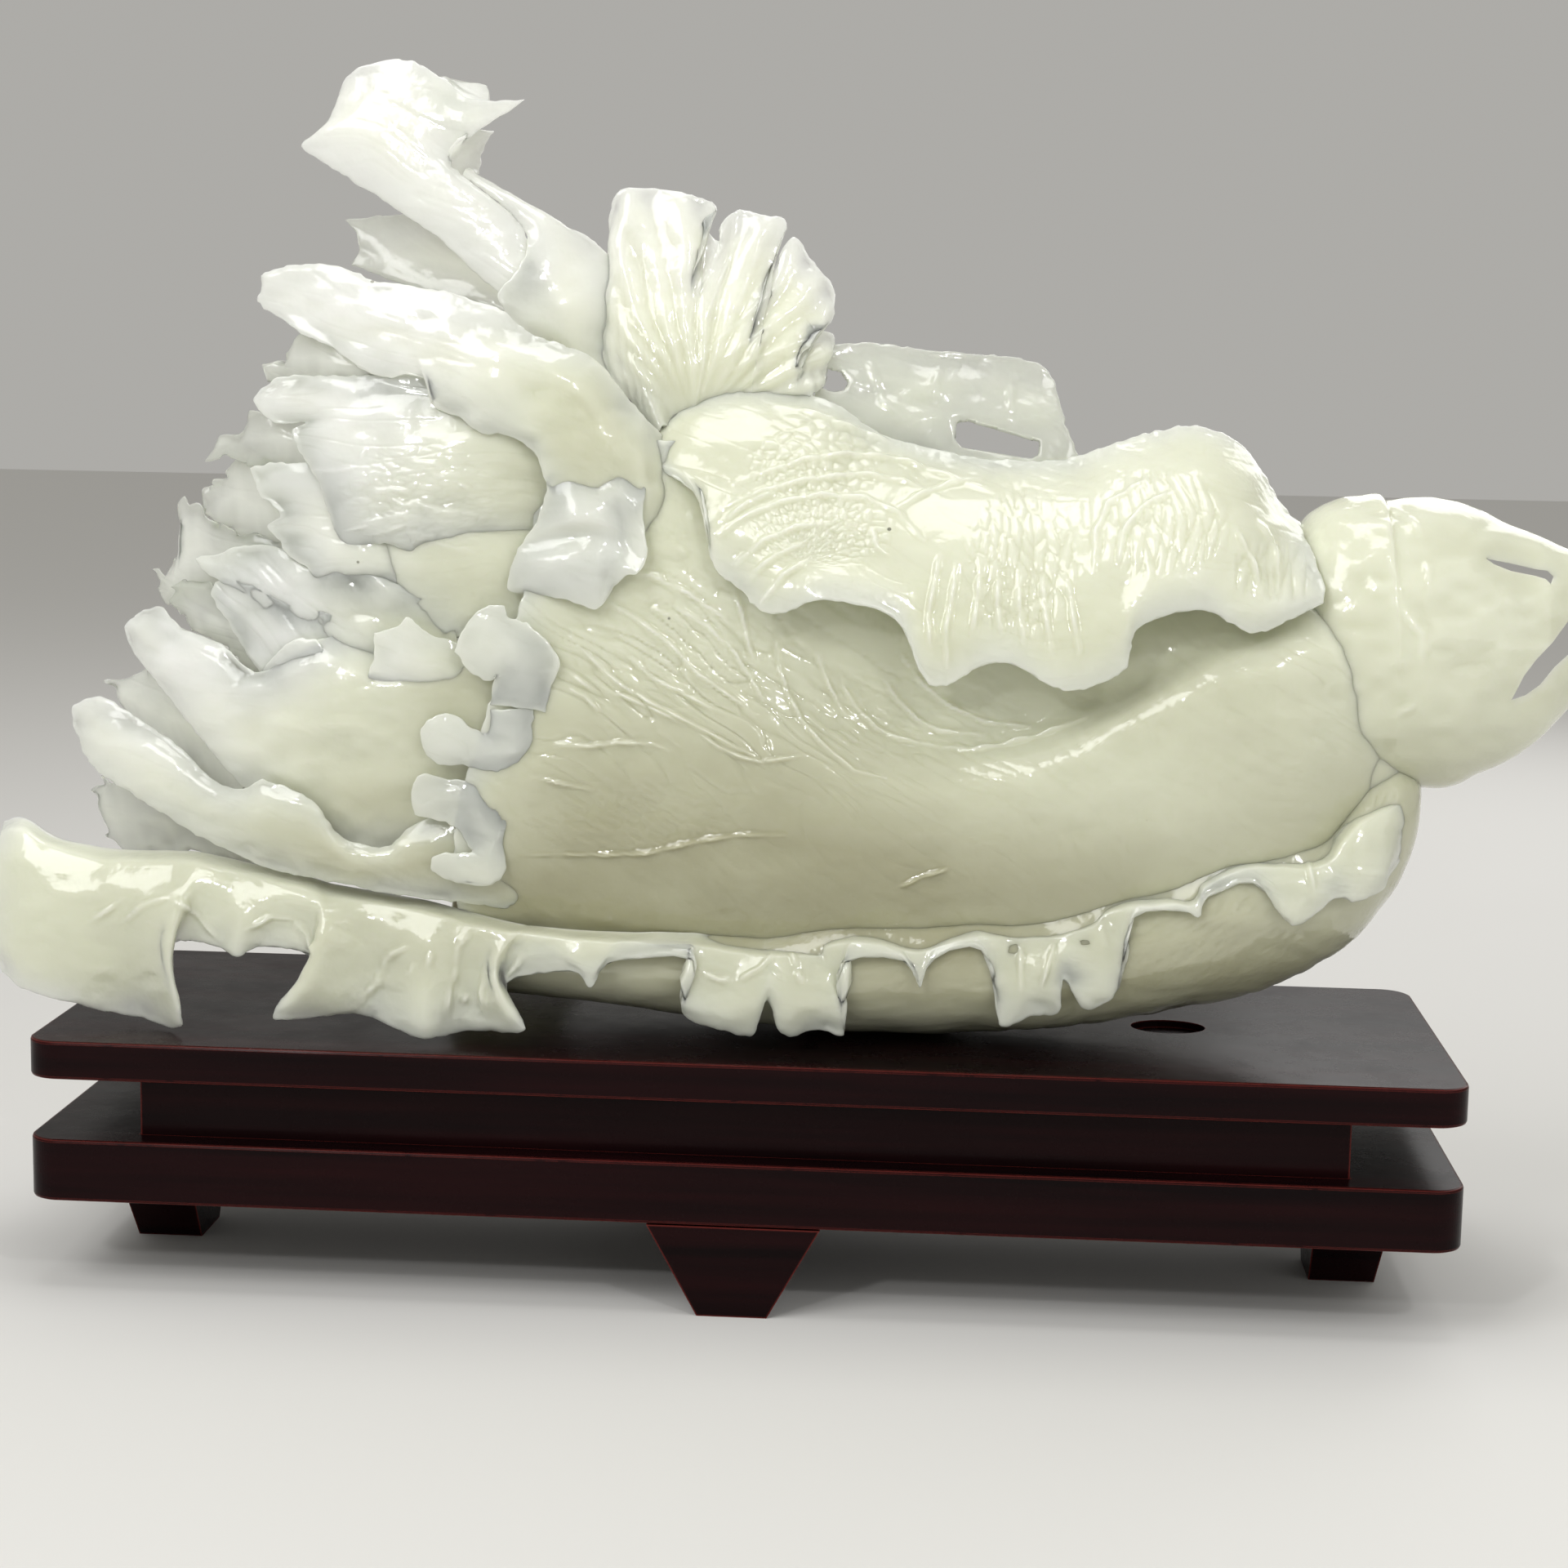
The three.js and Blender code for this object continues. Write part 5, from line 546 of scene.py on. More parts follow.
SKIRT_TIP_SHARES = [
    [(60, 1075, 0.34), (55, 1105, 0.33), (60, 1150, 0.34)],
    [(20, 1072, 0.36), (15, 1105, 0.35), (20, 1148, 0.36)],
    [(-14, 1080, 0.4), (-20, 1105, 0.39), (-16, 1140, 0.4)],
]
HEART_SHARES = [
    (330, 640, 900, 0.5, 0.06), (400, 560, 985, 0.5, 0.16), (480, 500, 1045, 0.5, 0.24),
    (560, 455, 1095, 0.5, 0.22), (660, 420, 1150, 0.5, 0.26), (760, 445, 1190, 0.5, 0.29),
    (880, 455, 1215, 0.5, 0.29), (960, 462, 1226, 0.5, 0.28), (1020, 496, 1235, 0.5, 0.26),
    (1180, 560, 1240, 0.5, 0.255), (1340, 560, 1230, 0.5, 0.255), (1460, 550, 1206, 0.5, 0.255),
    (1560, 618, 1174, 0.5, 0.27), (1630, 660, 1150, 0.5, 0.3), (1680, 680, 1090, 0.5, 0.28),
    (1712, 720, 1020, 0.5, 0.22),
]
RIB_SHARES = [
    (600, 850, 1060, 0.36, 0.17), (700, 805, 1110, 0.34, 0.22), (800, 845, 1130, 0.33, 0.23),
    (900, 890, 1125, 0.32, 0.23), (1000, 930, 1130, 0.31, 0.23), (1100, 962, 1130, 0.31, 0.235),
    (1200, 960, 1130, 0.31, 0.235), (1300, 935, 1120, 0.31, 0.235), (1400, 885, 1110, 0.31, 0.235),
    (1500, 835, 1060, 0.32, 0.225), (1560, 805, 1010, 0.33, 0.215), (1620, 790, 960, 0.35, 0.2),
]
UNDERSIDE_SHARES = [
    (560, 1125, 1195, 0.42, 0.14), (621, 1074, 1208, 0.44, 0.27), (720, 1079, 1219, 0.45, 0.31),
    (830, 1071, 1233, 0.45, 0.34), (940, 1085, 1245, 0.45, 0.36), (1040, 1058, 1254, 0.45, 0.37),
    (1174, 1050, 1256, 0.45, 0.38), (1270, 1046, 1252, 0.45, 0.38), (1350, 1014, 1246, 0.45, 0.38),
    (1421, 998, 1234, 0.45, 0.37), (1506, 953, 1217, 0.45, 0.36), (1566, 945, 1197, 0.45, 0.34),
    (1613, 958, 1172, 0.45, 0.33), (1656, 911, 1143, 0.45, 0.31), (1690, 897, 1103, 0.45, 0.27),
    (1711, 907, 1071, 0.45, 0.23), (1726, 924, 1032, 0.45, 0.17), (1735, 945, 989, 0.45, 0.08),
]
CROWN_SHARES = [
    (1560, 720, 900, 0.46, 0.2), (1592, 645, 950, 0.46, 0.27), (1615, 620, 965, 0.45, 0.3),
    (1645, 607, 972, 0.45, 0.32), (1685, 602, 970, 0.45, 0.33), (1697, 611, 968, 0.45, 0.33),
    (1728, 610, 964, 0.45, 0.33), (1765, 611, 964, 0.46, 0.32), (1800, 620, 952, 0.46, 0.295),
    (1850, 645, 925, 0.46, 0.25), (1880, 657, 905, 0.45, 0.215), (1905, 667, 880, 0.45, 0.18),
    (1930, 678, 855, 0.44, 0.14), (1958, 692, 834, 0.44, 0.09), (1980, 716, 808, 0.44, 0.03),
]
FIN_HOLE_PIXELS = [
    (1172, 516), (1185, 514), (1273, 540), (1271, 556), (1262, 560), (1178, 546), (1171, 538),
]
FIN_EYE_PIXELS = [
    (1007, 474), (1014, 450), (1030, 454), (1038, 466), (1034, 476), (1020, 479),
]
ROOT_SLIT_PIXELS = [
    (1820, 684), (1850, 690), (1880, 697), (1895, 699), (1902, 706), (1899, 715), (1893, 709),
    (1880, 705), (1850, 699), (1830, 691),
]
ROOT_EYE_PIXELS = [
    (1851, 857), (1866, 828), (1881, 808), (1901, 787), (1925, 754), (2000, 690), (2000, 830),
    (1925, 797), (1903, 817), (1886, 838), (1868, 851),
]
FRONT_VEINS = [
    [(700, 780), (735, 817), (760, 838), (790, 857), (825, 875), (868, 897), (930, 930)],
    [(738, 842), (765, 853), (800, 868), (840, 888)],
    [(950, 785), (955, 820), (965, 850), (980, 880), (1003, 908), (1045, 943), (1081, 952)],
    [(860, 900), (882, 916), (905, 926), (931, 933), (985, 925)],
    [(640, 1046), (745, 1046), (792, 1044), (854, 1030), (908, 1022), (960, 1022)],
    [(770, 700), (800, 706), (835, 722), (870, 745), (900, 768)],
    [(740, 735), (780, 758), (820, 788), (856, 826), (890, 850), (925, 876)],
    [(765, 800), (800, 830), (838, 850), (880, 872)],
    [(830, 745), (868, 768), (900, 800), (925, 840), (942, 872)],
    [(895, 715), (908, 750), (916, 788), (926, 815)],
    [(1030, 838), (1050, 868), (1072, 890), (1100, 905), (1150, 914)],
    [(1080, 828), (1100, 858), (1122, 880), (1150, 895), (1205, 900)],
    [(1100, 798), (1130, 838), (1162, 864), (1205, 884), (1262, 890)],
    [(1150, 914), (1200, 918), (1262, 905), (1330, 880)],
    [(1000, 800), (1015, 840), (1035, 875)],
    [(700, 845), (716, 852), (735, 872)],
    [(703, 828), (722, 842)],
    [(680, 912), (720, 914), (760, 909), (800, 911), (818, 918)],
    [(650, 950), (700, 962), (725, 967)],
    [(1100, 1085), (1130, 1072), (1162, 1063)],
    [(790, 700), (812, 706)],
    [(801, 744), (820, 755)],
]
FRONT_PEBBLES = [(840, 780, 170, 110), (1120, 870, 150, 70), (760, 1000, 140, 50)]
CURLED_VEINS = [
    [(900, 592), (931, 580), (985, 562), (1040, 556), (1100, 563), (1160, 582), (1215, 602)],
    [(886, 622), (930, 602), (985, 587), (1050, 580), (1110, 590), (1150, 608)],
    [(880, 655), (912, 632), (955, 614), (1005, 605), (1060, 610), (1100, 628), (1130, 660)],
    [(900, 690), (935, 662), (975, 645), (1015, 640)],
    [(915, 708), (950, 680), (985, 665)],
    [(930, 740), (958, 705), (990, 685)],
    [(884, 640), (915, 616), (950, 600)],
    [(1096, 623), (1123, 608), (1162, 592), (1200, 585)],
    [(1069, 650), (1073, 669), (1085, 679)],
    [(1150, 680), (1144, 715), (1136, 755), (1140, 800)],
    [(1172, 690), (1166, 730), (1158, 770), (1160, 815)],
    [(1200, 700), (1196, 740), (1190, 780)],
    [(950, 496), (985, 503), (1030, 520), (1060, 530), (1100, 546)],
    [(1223, 700), (1221, 741), (1226, 775)],
    [(1248, 705), (1248, 745), (1254, 785)],
    [(1276, 710), (1280, 750), (1288, 800)],
    [(1308, 712), (1314, 755), (1322, 800)],
    [(1340, 700), (1342, 650), (1357, 618), (1401, 588)],
    [(1370, 690), (1376, 650), (1400, 620), (1440, 600)],
    [(1540, 640), (1560, 670), (1565, 700)],
    [(1515, 650), (1535, 690), (1545, 730)],
]
CURLED_PEBBLES = [(1000, 560, 90, 60), (1010, 650, 90, 45), (1250, 690, 75, 100),
                  (1420, 640, 100, 70), (1560, 700, 60, 40)]
CROWN_VEINS = [
    [(1603, 674), (1630, 722)],
    [(1675, 703), (1690, 720)],
    [(1697, 620), (1720, 630), (1742, 655)],
    [(1748, 690), (1749, 723)],
    [(1705, 735), (1740, 775), (1742, 810)],
    [(1700, 880), (1735, 860)],
]
TALL_VEINS = [
    [(590, 218), (650, 255), (740, 300)],
]
FAN_VEINS = [
    [(813, 262), (820, 305), (833, 345), (840, 375), (835, 405), (822, 430)],
    [(790, 270), (800, 320), (815, 360), (820, 400), (808, 430)],
    [(886, 300), (862, 340), (848, 370), (846, 400)],
    [(905, 285), (885, 335), (870, 375), (862, 410)],
    [(960, 345), (915, 385), (880, 415), (850, 450)],
    [(990, 365), (940, 400), (900, 428), (865, 458)],
    [(1010, 410), (960, 425), (910, 445), (870, 470)],
    [(930, 300), (915, 345), (895, 390)],
]
FIN_VEINS = [
    [(1060, 430), (1080, 490), (1110, 520)],
    [(1150, 450), (1140, 490)],
    [(1240, 450), (1235, 510)],
]
SKIRT_VEINS = [
    [(640, 1170), (622, 1195), (628, 1225)], [(150, 1130), (175, 1108), (205, 1099)],
    [(205, 1099), (240, 1118), (268, 1150)], [(300, 1140), (330, 1122), (360, 1125)],
    [(360, 1125), (378, 1145), (384, 1170)], [(112, 1128), (135, 1112), (150, 1100)],
    [(470, 1180), (485, 1165), (500, 1160)], [(500, 1195), (508, 1180)],
    [(522, 1185), (528, 1165)], [(555, 1185), (560, 1160), (575, 1142)],
    [(565, 1215), (572, 1228)], [(430, 1235), (460, 1205), (480, 1160)],
    [(545, 1250), (550, 1210), (560, 1180)], [(600, 1250), (590, 1215), (592, 1180)],
    [(860, 1190), (880, 1200), (900, 1200)], [(905, 1200), (930, 1185), (945, 1170)],
    [(970, 1168), (975, 1185)], [(985, 1205), (975, 1190)],
    [(1290, 1160), (1275, 1210)], [(1250, 1160), (1250, 1215)], [(1600, 1050), (1610, 1090)],
]
SHELL_VEINS = [
    [(505, 566), (530, 568), (545, 572)], [(455, 603), (480, 598), (500, 603)],
    [(470, 608), (495, 618), (520, 620)], [(500, 614), (530, 622), (565, 628)],
    [(520, 626), (560, 626), (590, 632)], [(440, 640), (470, 635), (500, 628)],
    [(420, 650), (445, 645), (460, 640)], [(455, 655), (480, 648), (500, 640)],
    [(385, 575), (410, 576), (435, 572)], [(440, 560), (448, 550)],
    [(535, 665), (560, 672), (580, 673)], [(560, 592), (575, 598)],
]
# Soft areas of painted light, whiter (below 0), and painted shade, deeper (above 0), partly the
# stone's own tone: x, y, two reaches, strength.
PAINTED_LIGHT_AND_SHADE_AREAS = [
    (450, 180, 190, 150, -0.75), (600, 330, 150, 130, -0.4), (420, 400, 170, 110, -0.7),
    (370, 560, 160, 150, -0.9), (850, 320, 160, 120, -0.55), (190, 850, 150, 120, -0.7),
    (300, 1190, 330, 70, 0.5), (1280, 630, 420, 120, -0.2), (1740, 780, 190, 180, -0.15),
    (1150, 480, 200, 80, 0.1), (1520, 850, 170, 90, 0.2), (720, 980, 70, 50, 0.3),
    (620, 330, 90, 90, -0.2), (300, 760, 120, 80, -0.9), (1000, 1080, 560, 80, 0.95),
    (840, 960, 260, 130, 0.55), (1080, 940, 220, 60, 0.1), (640, 620, 50, 110, 0.05),
    (740, 490, 90, 130, 0.35), (540, 740, 100, 50, 0.3), (560, 830, 60, 60, 0.35),
    (450, 1000, 90, 50, 0.4), (1350, 1200, 520, 70, 0.9), (1700, 1010, 160, 110, 0.4),
    (240, 1060, 260, 30, 0.4), (700, 1120, 300, 40, 0.4),
]


def srgb(text: str) -> tuple[float, float, float, float]:
    """Turn an sRGB hex colour into the linear colour a shader takes.

    Args:
        text: colour such as "#C9CFAE".

    Returns:
        Linear red, green, blue and an alpha of one.
    """
    values = [int(text[i:i + 2], 16) / 255 for i in (1, 3, 5)]
    linear = [v / 12.92 if v <= 0.04045 else ((v + 0.055) / 1.055) ** 2.4 for v in values]
    return (*linear, 1.0)


def smoothstep(low: float, high: float, value: np.ndarray) -> np.ndarray:
    """Rise smoothly from 0 at low to 1 at high.

    Args:
        low: value where the rise starts.
        high: value where it ends.
        value: values to ease.

    Returns:
        Eased values between 0 and 1.
    """
    t = np.clip((value - low) / (high - low), 0.0, 1.0)
    return t * t * (3 - 2 * t)


def lattice(x: np.ndarray, y: np.ndarray, seed: int) -> np.ndarray:
    """Fixed random value from 0 to 1 for each whole-number cell.

    Args:
        x: cell columns.
        y: cell rows.
        seed: picks one of many patterns.

    Returns:
        One value for each cell.
    """
    wave = np.sin(x * 127.1 + y * 311.7 + seed * 74.7) * 43758.5453
    return wave - np.floor(wave)


def smooth_noise(x: np.ndarray, y: np.ndarray, seed: int) -> np.ndarray:
    """Soft noise from -1 to 1 with features about one unit wide.

    Args:
        x: first coordinate.
        y: second coordinate.
        seed: picks one of many patterns.

    Returns:
        Noise at each point.
    """
    cx, cy = np.floor(x), np.floor(y)
    fx, fy = smoothstep(0, 1, x - cx), smoothstep(0, 1, y - cy)
    low = lattice(cx, cy, seed) * (1 - fx) + lattice(cx + 1, cy, seed) * fx
    high = lattice(cx, cy + 1, seed) * (1 - fx) + lattice(cx + 1, cy + 1, seed) * fx
    return (low * (1 - fy) + high * fy) * 2 - 1


# How far off a place counts as having nothing near it.
NOTHING_NEAR = 1e9
DOME_STEEPNESS = 2.2


def pebbles(x: np.ndarray, y: np.ndarray, seed: int) -> np.ndarray:
    """Rounded pebbles, one to a cell, parted by narrow valleys.

    Args:
        x: first coordinate, in pebble widths.
        y: second coordinate, in pebble widths.
        seed: picks one of many patterns.

    Returns:
        Height from 0 in the valleys to about 1 on the domes.
    """
    cx, cy = np.floor(x), np.floor(y)
    nearest = np.full(x.shape, NOTHING_NEAR)
    second = np.full(x.shape, NOTHING_NEAR)
    for dx in (-1, 0, 1):
        for dy in (-1, 0, 1):
            px = cx + dx + lattice(cx + dx, cy + dy, seed)
            py = cy + dy + lattice(cx + dx, cy + dy, seed + 9)
            gap = np.hypot(x - px, y - py)
            second = np.minimum(second, np.maximum(nearest, gap))
            nearest = np.minimum(nearest, gap)
    return 1 - np.exp(-(second - nearest) * DOME_STEEPNESS)


# A vein's blunt ends, the power of its taper, and the lumps along its top.
VEIN_END_SHARE = 0.02
VEIN_TAPER = 0.6
VEIN_TOP = 0.8
LUMP_SHARE = 0.35
LUMP_PX = 7.0


def ridge(px: np.ndarray, line: list, width: float) -> np.ndarray:
    """Raised vein along a line, tapering to both ends.

    Args:
        px: points as photo pixels, shape (..., 2).
        line: corners of the vein, as photo pixels.
        width: half width of the vein in pixels.

    Returns:
        Height from 0 to 1 at each point.
    """
    corners = np.array(line, float)
    lengths = np.linalg.norm(np.diff(corners, axis=0), axis=1)
    total, done = lengths.sum(), 0.0
    best = np.zeros(px.shape[:-1])
    for a, b, length in zip(corners[:-1], corners[1:], lengths):
        t = np.clip(((px - a) @ (b - a)) / (length * length), 0, 1)
        gap = np.linalg.norm(px - (a + t[..., None] * (b - a)), axis=-1)
        along = (done + t * length) / total
        held = np.clip(along, VEIN_END_SHARE, 1 - VEIN_END_SHARE)
        taper = np.sin(np.pi * held) ** VEIN_TAPER
        lumps = VEIN_TOP + LUMP_SHARE * np.sin(along * total / LUMP_PX + corners[0, 0])
        best = np.maximum(best, np.exp(-(gap / width) ** 2) * taper * lumps)
        done += length
    return best


def catmull(values: np.ndarray, at: np.ndarray) -> np.ndarray:
    """Smooth curve through the first axis of a table.

    Args:
        values: table whose first axis is followed.
        at: places to read, from 0 to the last row's number.

    Returns:
        The table read at those places.
    """
    last = len(values) - 1
    i = np.minimum(np.floor(at).astype(int), last - 1)
    t = (at - i).reshape((-1,) + (1,) * (values.ndim - 1))
    a, b = values[np.maximum(i - 1, 0)], values[i]
    c, d = values[i + 1], values[np.minimum(i + 2, last)]
    return 0.5 * (2 * b + (c - a) * t + (2 * a - 5 * b + 4 * c - d) * t ** 2
                  + (3 * b - a - 3 * c + d) * t ** 3)


# Extra readings in the first step from a margin: multiples of the closest, and the last.
LIP_MULTIPLES = (1, 3, 6)
LAST_LIP_SHARE = 0.55


def lip_places(count: int, spans: int, lip: float) -> np.ndarray:
    """Reading places, even in the middle and close together at both margins.

    Args:
        count: how many even places, a multiple of four and one more.
        spans: how many table spans they cover.
        lip: share of one even step that the closest place is from the margin.

    Returns:
        Places from 0 to spans.
    """
    even = np.linspace(0, spans, count)
    step = even[1]
    near = step * np.array([lip * n for n in LIP_MULTIPLES] + [LAST_LIP_SHARE])
    return np.sort(np.concatenate([even, near, spans - near]))


def painted_light_and_shade(px: np.ndarray) -> np.ndarray:
    """Painted light and shade by place, partly the stone's own tone: -1 where whitest to 1 where
    deepest.

    Args:
        px: points as photo pixels, shape (..., 2).

    Returns:
        One tone for each point.
    """
    total = np.zeros(px.shape[:-1])
    for x, y, reach_x, reach_y, strength in PAINTED_LIGHT_AND_SHADE_AREAS:
        gap = ((px[..., 0] - x) / reach_x) ** 2 + ((px[..., 1] - y) / reach_y) ** 2
        total += strength * np.exp(-gap)
    return np.clip(total, -1.0, 1.0)


def mesh_object(name: str, points: np.ndarray, faces: list,
                marks: dict[str, np.ndarray]) -> bpy.types.Object:
    """Make a smooth-shaded mesh object at the origin, faces outward.

    Args:
        name: the piece's name.
        points: corner places in metres.
        faces: corner numbers of each face.
        marks: named value at each corner, kept as attributes.

    Returns:
        The new object, linked to the scene.
    """
    mesh = bpy.data.meshes.new(name)
    mesh.from_pydata(points.tolist(), [], faces)
    for key, values in marks.items():
        kept = mesh.attributes.new(key, "FLOAT", "POINT")
        kept.data.foreach_set("value", values.astype(np.float32))
    shell = bmesh.new()
    shell.from_mesh(mesh)
    if shell.calc_volume(signed=True) < 0:
        bmesh.ops.reverse_faces(shell, faces=shell.faces)
    shell.to_mesh(mesh)
    shell.free()
    mesh.shade_smooth()
    made = bpy.data.objects.new(name, mesh)
    bpy.context.scene.collection.objects.link(made)
    return made


def add_node(tree: bpy.types.NodeTree, kind: str, settings: dict, links: dict) -> bpy.types.Node:
    """Add one shader node with its settings and what feeds it.

    Args:
        tree: the material's node tree.
        kind: the node's type name.
        settings: values for its properties, or for its inputs by name.
        links: output sockets to join to its inputs, by input name or number.

    Returns:
        The new node.
    """
    node = tree.nodes.new(kind)
    for key, value in settings.items():
        if isinstance(key, int) or key in node.inputs:
            node.inputs[key].default_value = value
        else:
            setattr(node, key, value)
    for key, socket in links.items():
        tree.links.new(socket, node.inputs[key])
    return node


@dataclass(frozen=True)
class Viewpoint:
    """Where the carving's pixel readings are taken from, in millimetres and degrees."""

    focal_px: float = 3490.0
    across: float = 71.4
    back: float = 835.4
    height: float = 288.4
    yaw: float = -3.98
    pitch: float = 8.37
    roll: float = 1.02
    stone_front: float = 4.0
    stone_depth: float = 120.0

    def origin(self) -> np.ndarray:
        """Ground point under the middle of the stand's front edge, in metres."""
        low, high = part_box("lower_board")
        return np.array([(low[0] + high[0]) / 2, low[1], CAD_BOX[0][2]])

    def axes(self) -> tuple[np.ndarray, np.ndarray, np.ndarray]:
        """Work out the directions of the view.

        Returns:
            Unit directions along it, across it and up it.
        """
        yaw, pitch, roll = (math.radians(a) for a in (self.yaw, self.pitch, self.roll))
        forward = np.array([math.sin(yaw) * math.cos(pitch),
                            math.cos(yaw) * math.cos(pitch), -math.sin(pitch)])
        level = np.array([math.cos(yaw), -math.sin(yaw), 0.0])
        upright = np.cross(level, forward)
        across = level * math.cos(roll) + upright * math.sin(roll)
        up = upright * math.cos(roll) - level * math.sin(roll)
        return forward, across, up

    def eye(self) -> np.ndarray:
        """The viewpoint itself, in the frame's metres."""
        return self.origin() + np.array([self.across, -self.back, self.height]) * MM

    def points(self, net: np.ndarray) -> np.ndarray:
        """Place pixels at shares of the stone's depth.

        Args:
            net: array whose last axis is pixel x, pixel y and depth share.

        Returns:
            Points in metres, same shape.
        """
        forward, across, up = self.axes()
        centre = FRAME_PX / 2
        rays = (forward * self.focal_px + across * (net[..., :1] - centre)
                + up * (centre - net[..., 1:2]))
        plane = self.origin()[1] + (self.stone_front + self.stone_depth * net[..., 2]) * MM
        travel = (plane - self.eye()[1]) / rays[..., 1]
        return self.eye() + rays * travel[..., None]

    def pixels(self, points: np.ndarray) -> np.ndarray:
        """Photo pixels at which points in space are seen.

        Args:
            points: places in metres, last axis x, y, z.

        Returns:
            Pixel x and y of each point.
        """
        forward, across, up = self.axes()
        ray = points - self.eye()
        scale = self.focal_px / (ray @ forward)
        return np.stack([FRAME_PX / 2 + scale * (ray @ across),
                         FRAME_PX / 2 - scale * (ray @ up)], axis=-1)


class LeafKind(Enum):
    """Thickness in mm at the middle and margin, thinness there, and fade in mm."""

    BLADE = (5.2, 1.2, 0.0, 0.75, 7.0)
    SHELL = (3.2, 0.9, 0.05, 0.7, 7.0)
    FIN = (3.0, 1.2, 0.9, 0.98, 16.0)
    SKIRT = (4.6, 1.2, 0.5, 0.74, 12.0)
    FRINGE = (2.2, 0.8, 0.6, 1.0, 18.0)
    CURL = (2.2, 0.9, 0.35, 0.7, 10.0)


# Sizes of the relief's layers in photo pixels, and how strongly each one shows.
SWELL_PX = (60.0, 34.0)
RIPPLE_PX = (26.0, 15.0)
RIPPLE_SHARE = 0.45
FLOW_PX = (74.0, 11.0)
FLOW_BEND_PX = 90.0
FLOW_BEND = 1.6
GROOVE_STEEPNESS = 2.4
PEBBLE_EDGE_SHARES = (0.72, 1.08)
PEBBLE_BEND_PX = 70.0
PEBBLE_SHIFT_PX = 9
SWIRL_RADIUS_PX = 170
RIB_BEND_PX = 70
RIB_BEND = 1.8
RIB_START_PX = (20, 120)


@dataclass
class Relief:
    """Carved surface of one leaf, in photo pixels and mm of height."""

    veins: Lines = field(default_factory=list)
    vein_width: float = 3.2
    vein_height: float = 0.9
    pebble_areas: list[tuple[float, float, float, float]] = field(default_factory=list)
    pebble_px: tuple[float, float] = (22.0, 12.0)
    pebble_turn: float = 0.0
    pebble_height: float = 0.6
    swirl: tuple[float, float] | None = None
    waves: float = 0.35
    flow_turn: float = 20.0
    flow_height: float = 0.12
    flow_area: tuple[float, float, float, float, float] | None = None
    ribs: tuple[float, float, float, float] | None = None
    seed: int = 1

    def height(self, px: np.ndarray) -> np.ndarray:
        """Height of the relief in mm.

        Args:
            px: points as photo pixels, shape (..., 2).

        Returns:
            Millimetres above the smooth leaf at each point.
        """
        x, y = px[..., 0], px[..., 1]
        total = self.waves * smooth_noise(x / SWELL_PX[0], y / SWELL_PX[1], self.seed)
        ripple = smooth_noise(x / RIPPLE_PX[0], y / RIPPLE_PX[1], self.seed + 3)
        total += self.waves * RIPPLE_SHARE * ripple
        turn = math.radians(self.flow_turn)
        along = (x * math.cos(turn) + y * math.sin(turn)) / FLOW_PX[0]
        beside = (y * math.cos(turn) - x * math.sin(turn)) / FLOW_PX[1]
        bend = smooth_noise(x / FLOW_BEND_PX, y / FLOW_BEND_PX, self.seed + 7)
        beside = beside + FLOW_BEND * bend
        groove = 1 - np.abs(smooth_noise(along, beside, self.seed + 11)) * GROOVE_STEEPNESS
        depth = self.flow_height
        if self.flow_area:
            cx, cy, rx, ry, extra = self.flow_area
            depth = depth + extra * np.exp(-(((x - cx) / rx) ** 2 + ((y - cy) / ry) ** 2))
        total -= depth * np.clip(groove, 0, 1) ** 2
        if self.ribs:
            total += self._rib_height(x, y)
        veins = np.zeros(x.shape)
        for line in self.veins:
            veins = np.maximum(veins, ridge(px, line, self.vein_width))
        mask = np.zeros(x.shape)
        for cx, cy, rx, ry in self.pebble_areas:
            gap = np.hypot((x - cx) / rx, (y - cy) / ry)
            mask = np.maximum(mask, 1 - smoothstep(*PEBBLE_EDGE_SHARES, gap))
        if self.pebble_areas:
            along, beside = self._pebble_places(x, y)
            dome = pebbles(along, beside, self.seed)
            total += self.pebble_height * (dome - 0.5) * mask * (1 - veins)
        return total + self.vein_height * veins

    def _rib_height(self, x: np.ndarray, y: np.ndarray) -> np.ndarray:
        """Soft ribs that spread from one point: its x and y, ribs in a turn, height.

        Args:
            x: photo pixels across.
            y: photo pixels down.

        Returns:
            Millimetres at each point.
        """
        centre_x, centre_y, count, height = self.ribs
        reach = np.hypot(x - centre_x, y - centre_y)
        turn = np.arctan2(y - centre_y, x - centre_x)
        bend = smooth_noise(reach / RIB_BEND_PX, turn * 4, self.seed + 13)
        wave = np.sin(turn * count + RIB_BEND * bend)
        return height * wave * smoothstep(*RIB_START_PX, reach)

    def _pebble_places(self, x: np.ndarray, y: np.ndarray) -> tuple[np.ndarray, np.ndarray]:
        """Pebble coordinates, round the swirl's middle or along one direction.

        Args:
            x: photo pixels across.
            y: photo pixels down.

        Returns:
            Both coordinates, in pebble widths.
        """
        shift = smooth_noise(x / PEBBLE_BEND_PX, y / PEBBLE_BEND_PX, self.seed + 5)
        bend = shift * PEBBLE_SHIFT_PX
        if self.swirl:
            reach = np.hypot(x - self.swirl[0], y - self.swirl[1])
            turn = np.arctan2(y - self.swirl[1], x - self.swirl[0])
            return turn * SWIRL_RADIUS_PX / self.pebble_px[0], (reach + bend) / self.pebble_px[1]
        turn = math.radians(self.pebble_turn)
        along = x * math.cos(turn) + y * math.sin(turn)
        beside = -x * math.sin(turn) + y * math.cos(turn) + bend
        return along / self.pebble_px[0], beside / self.pebble_px[1]


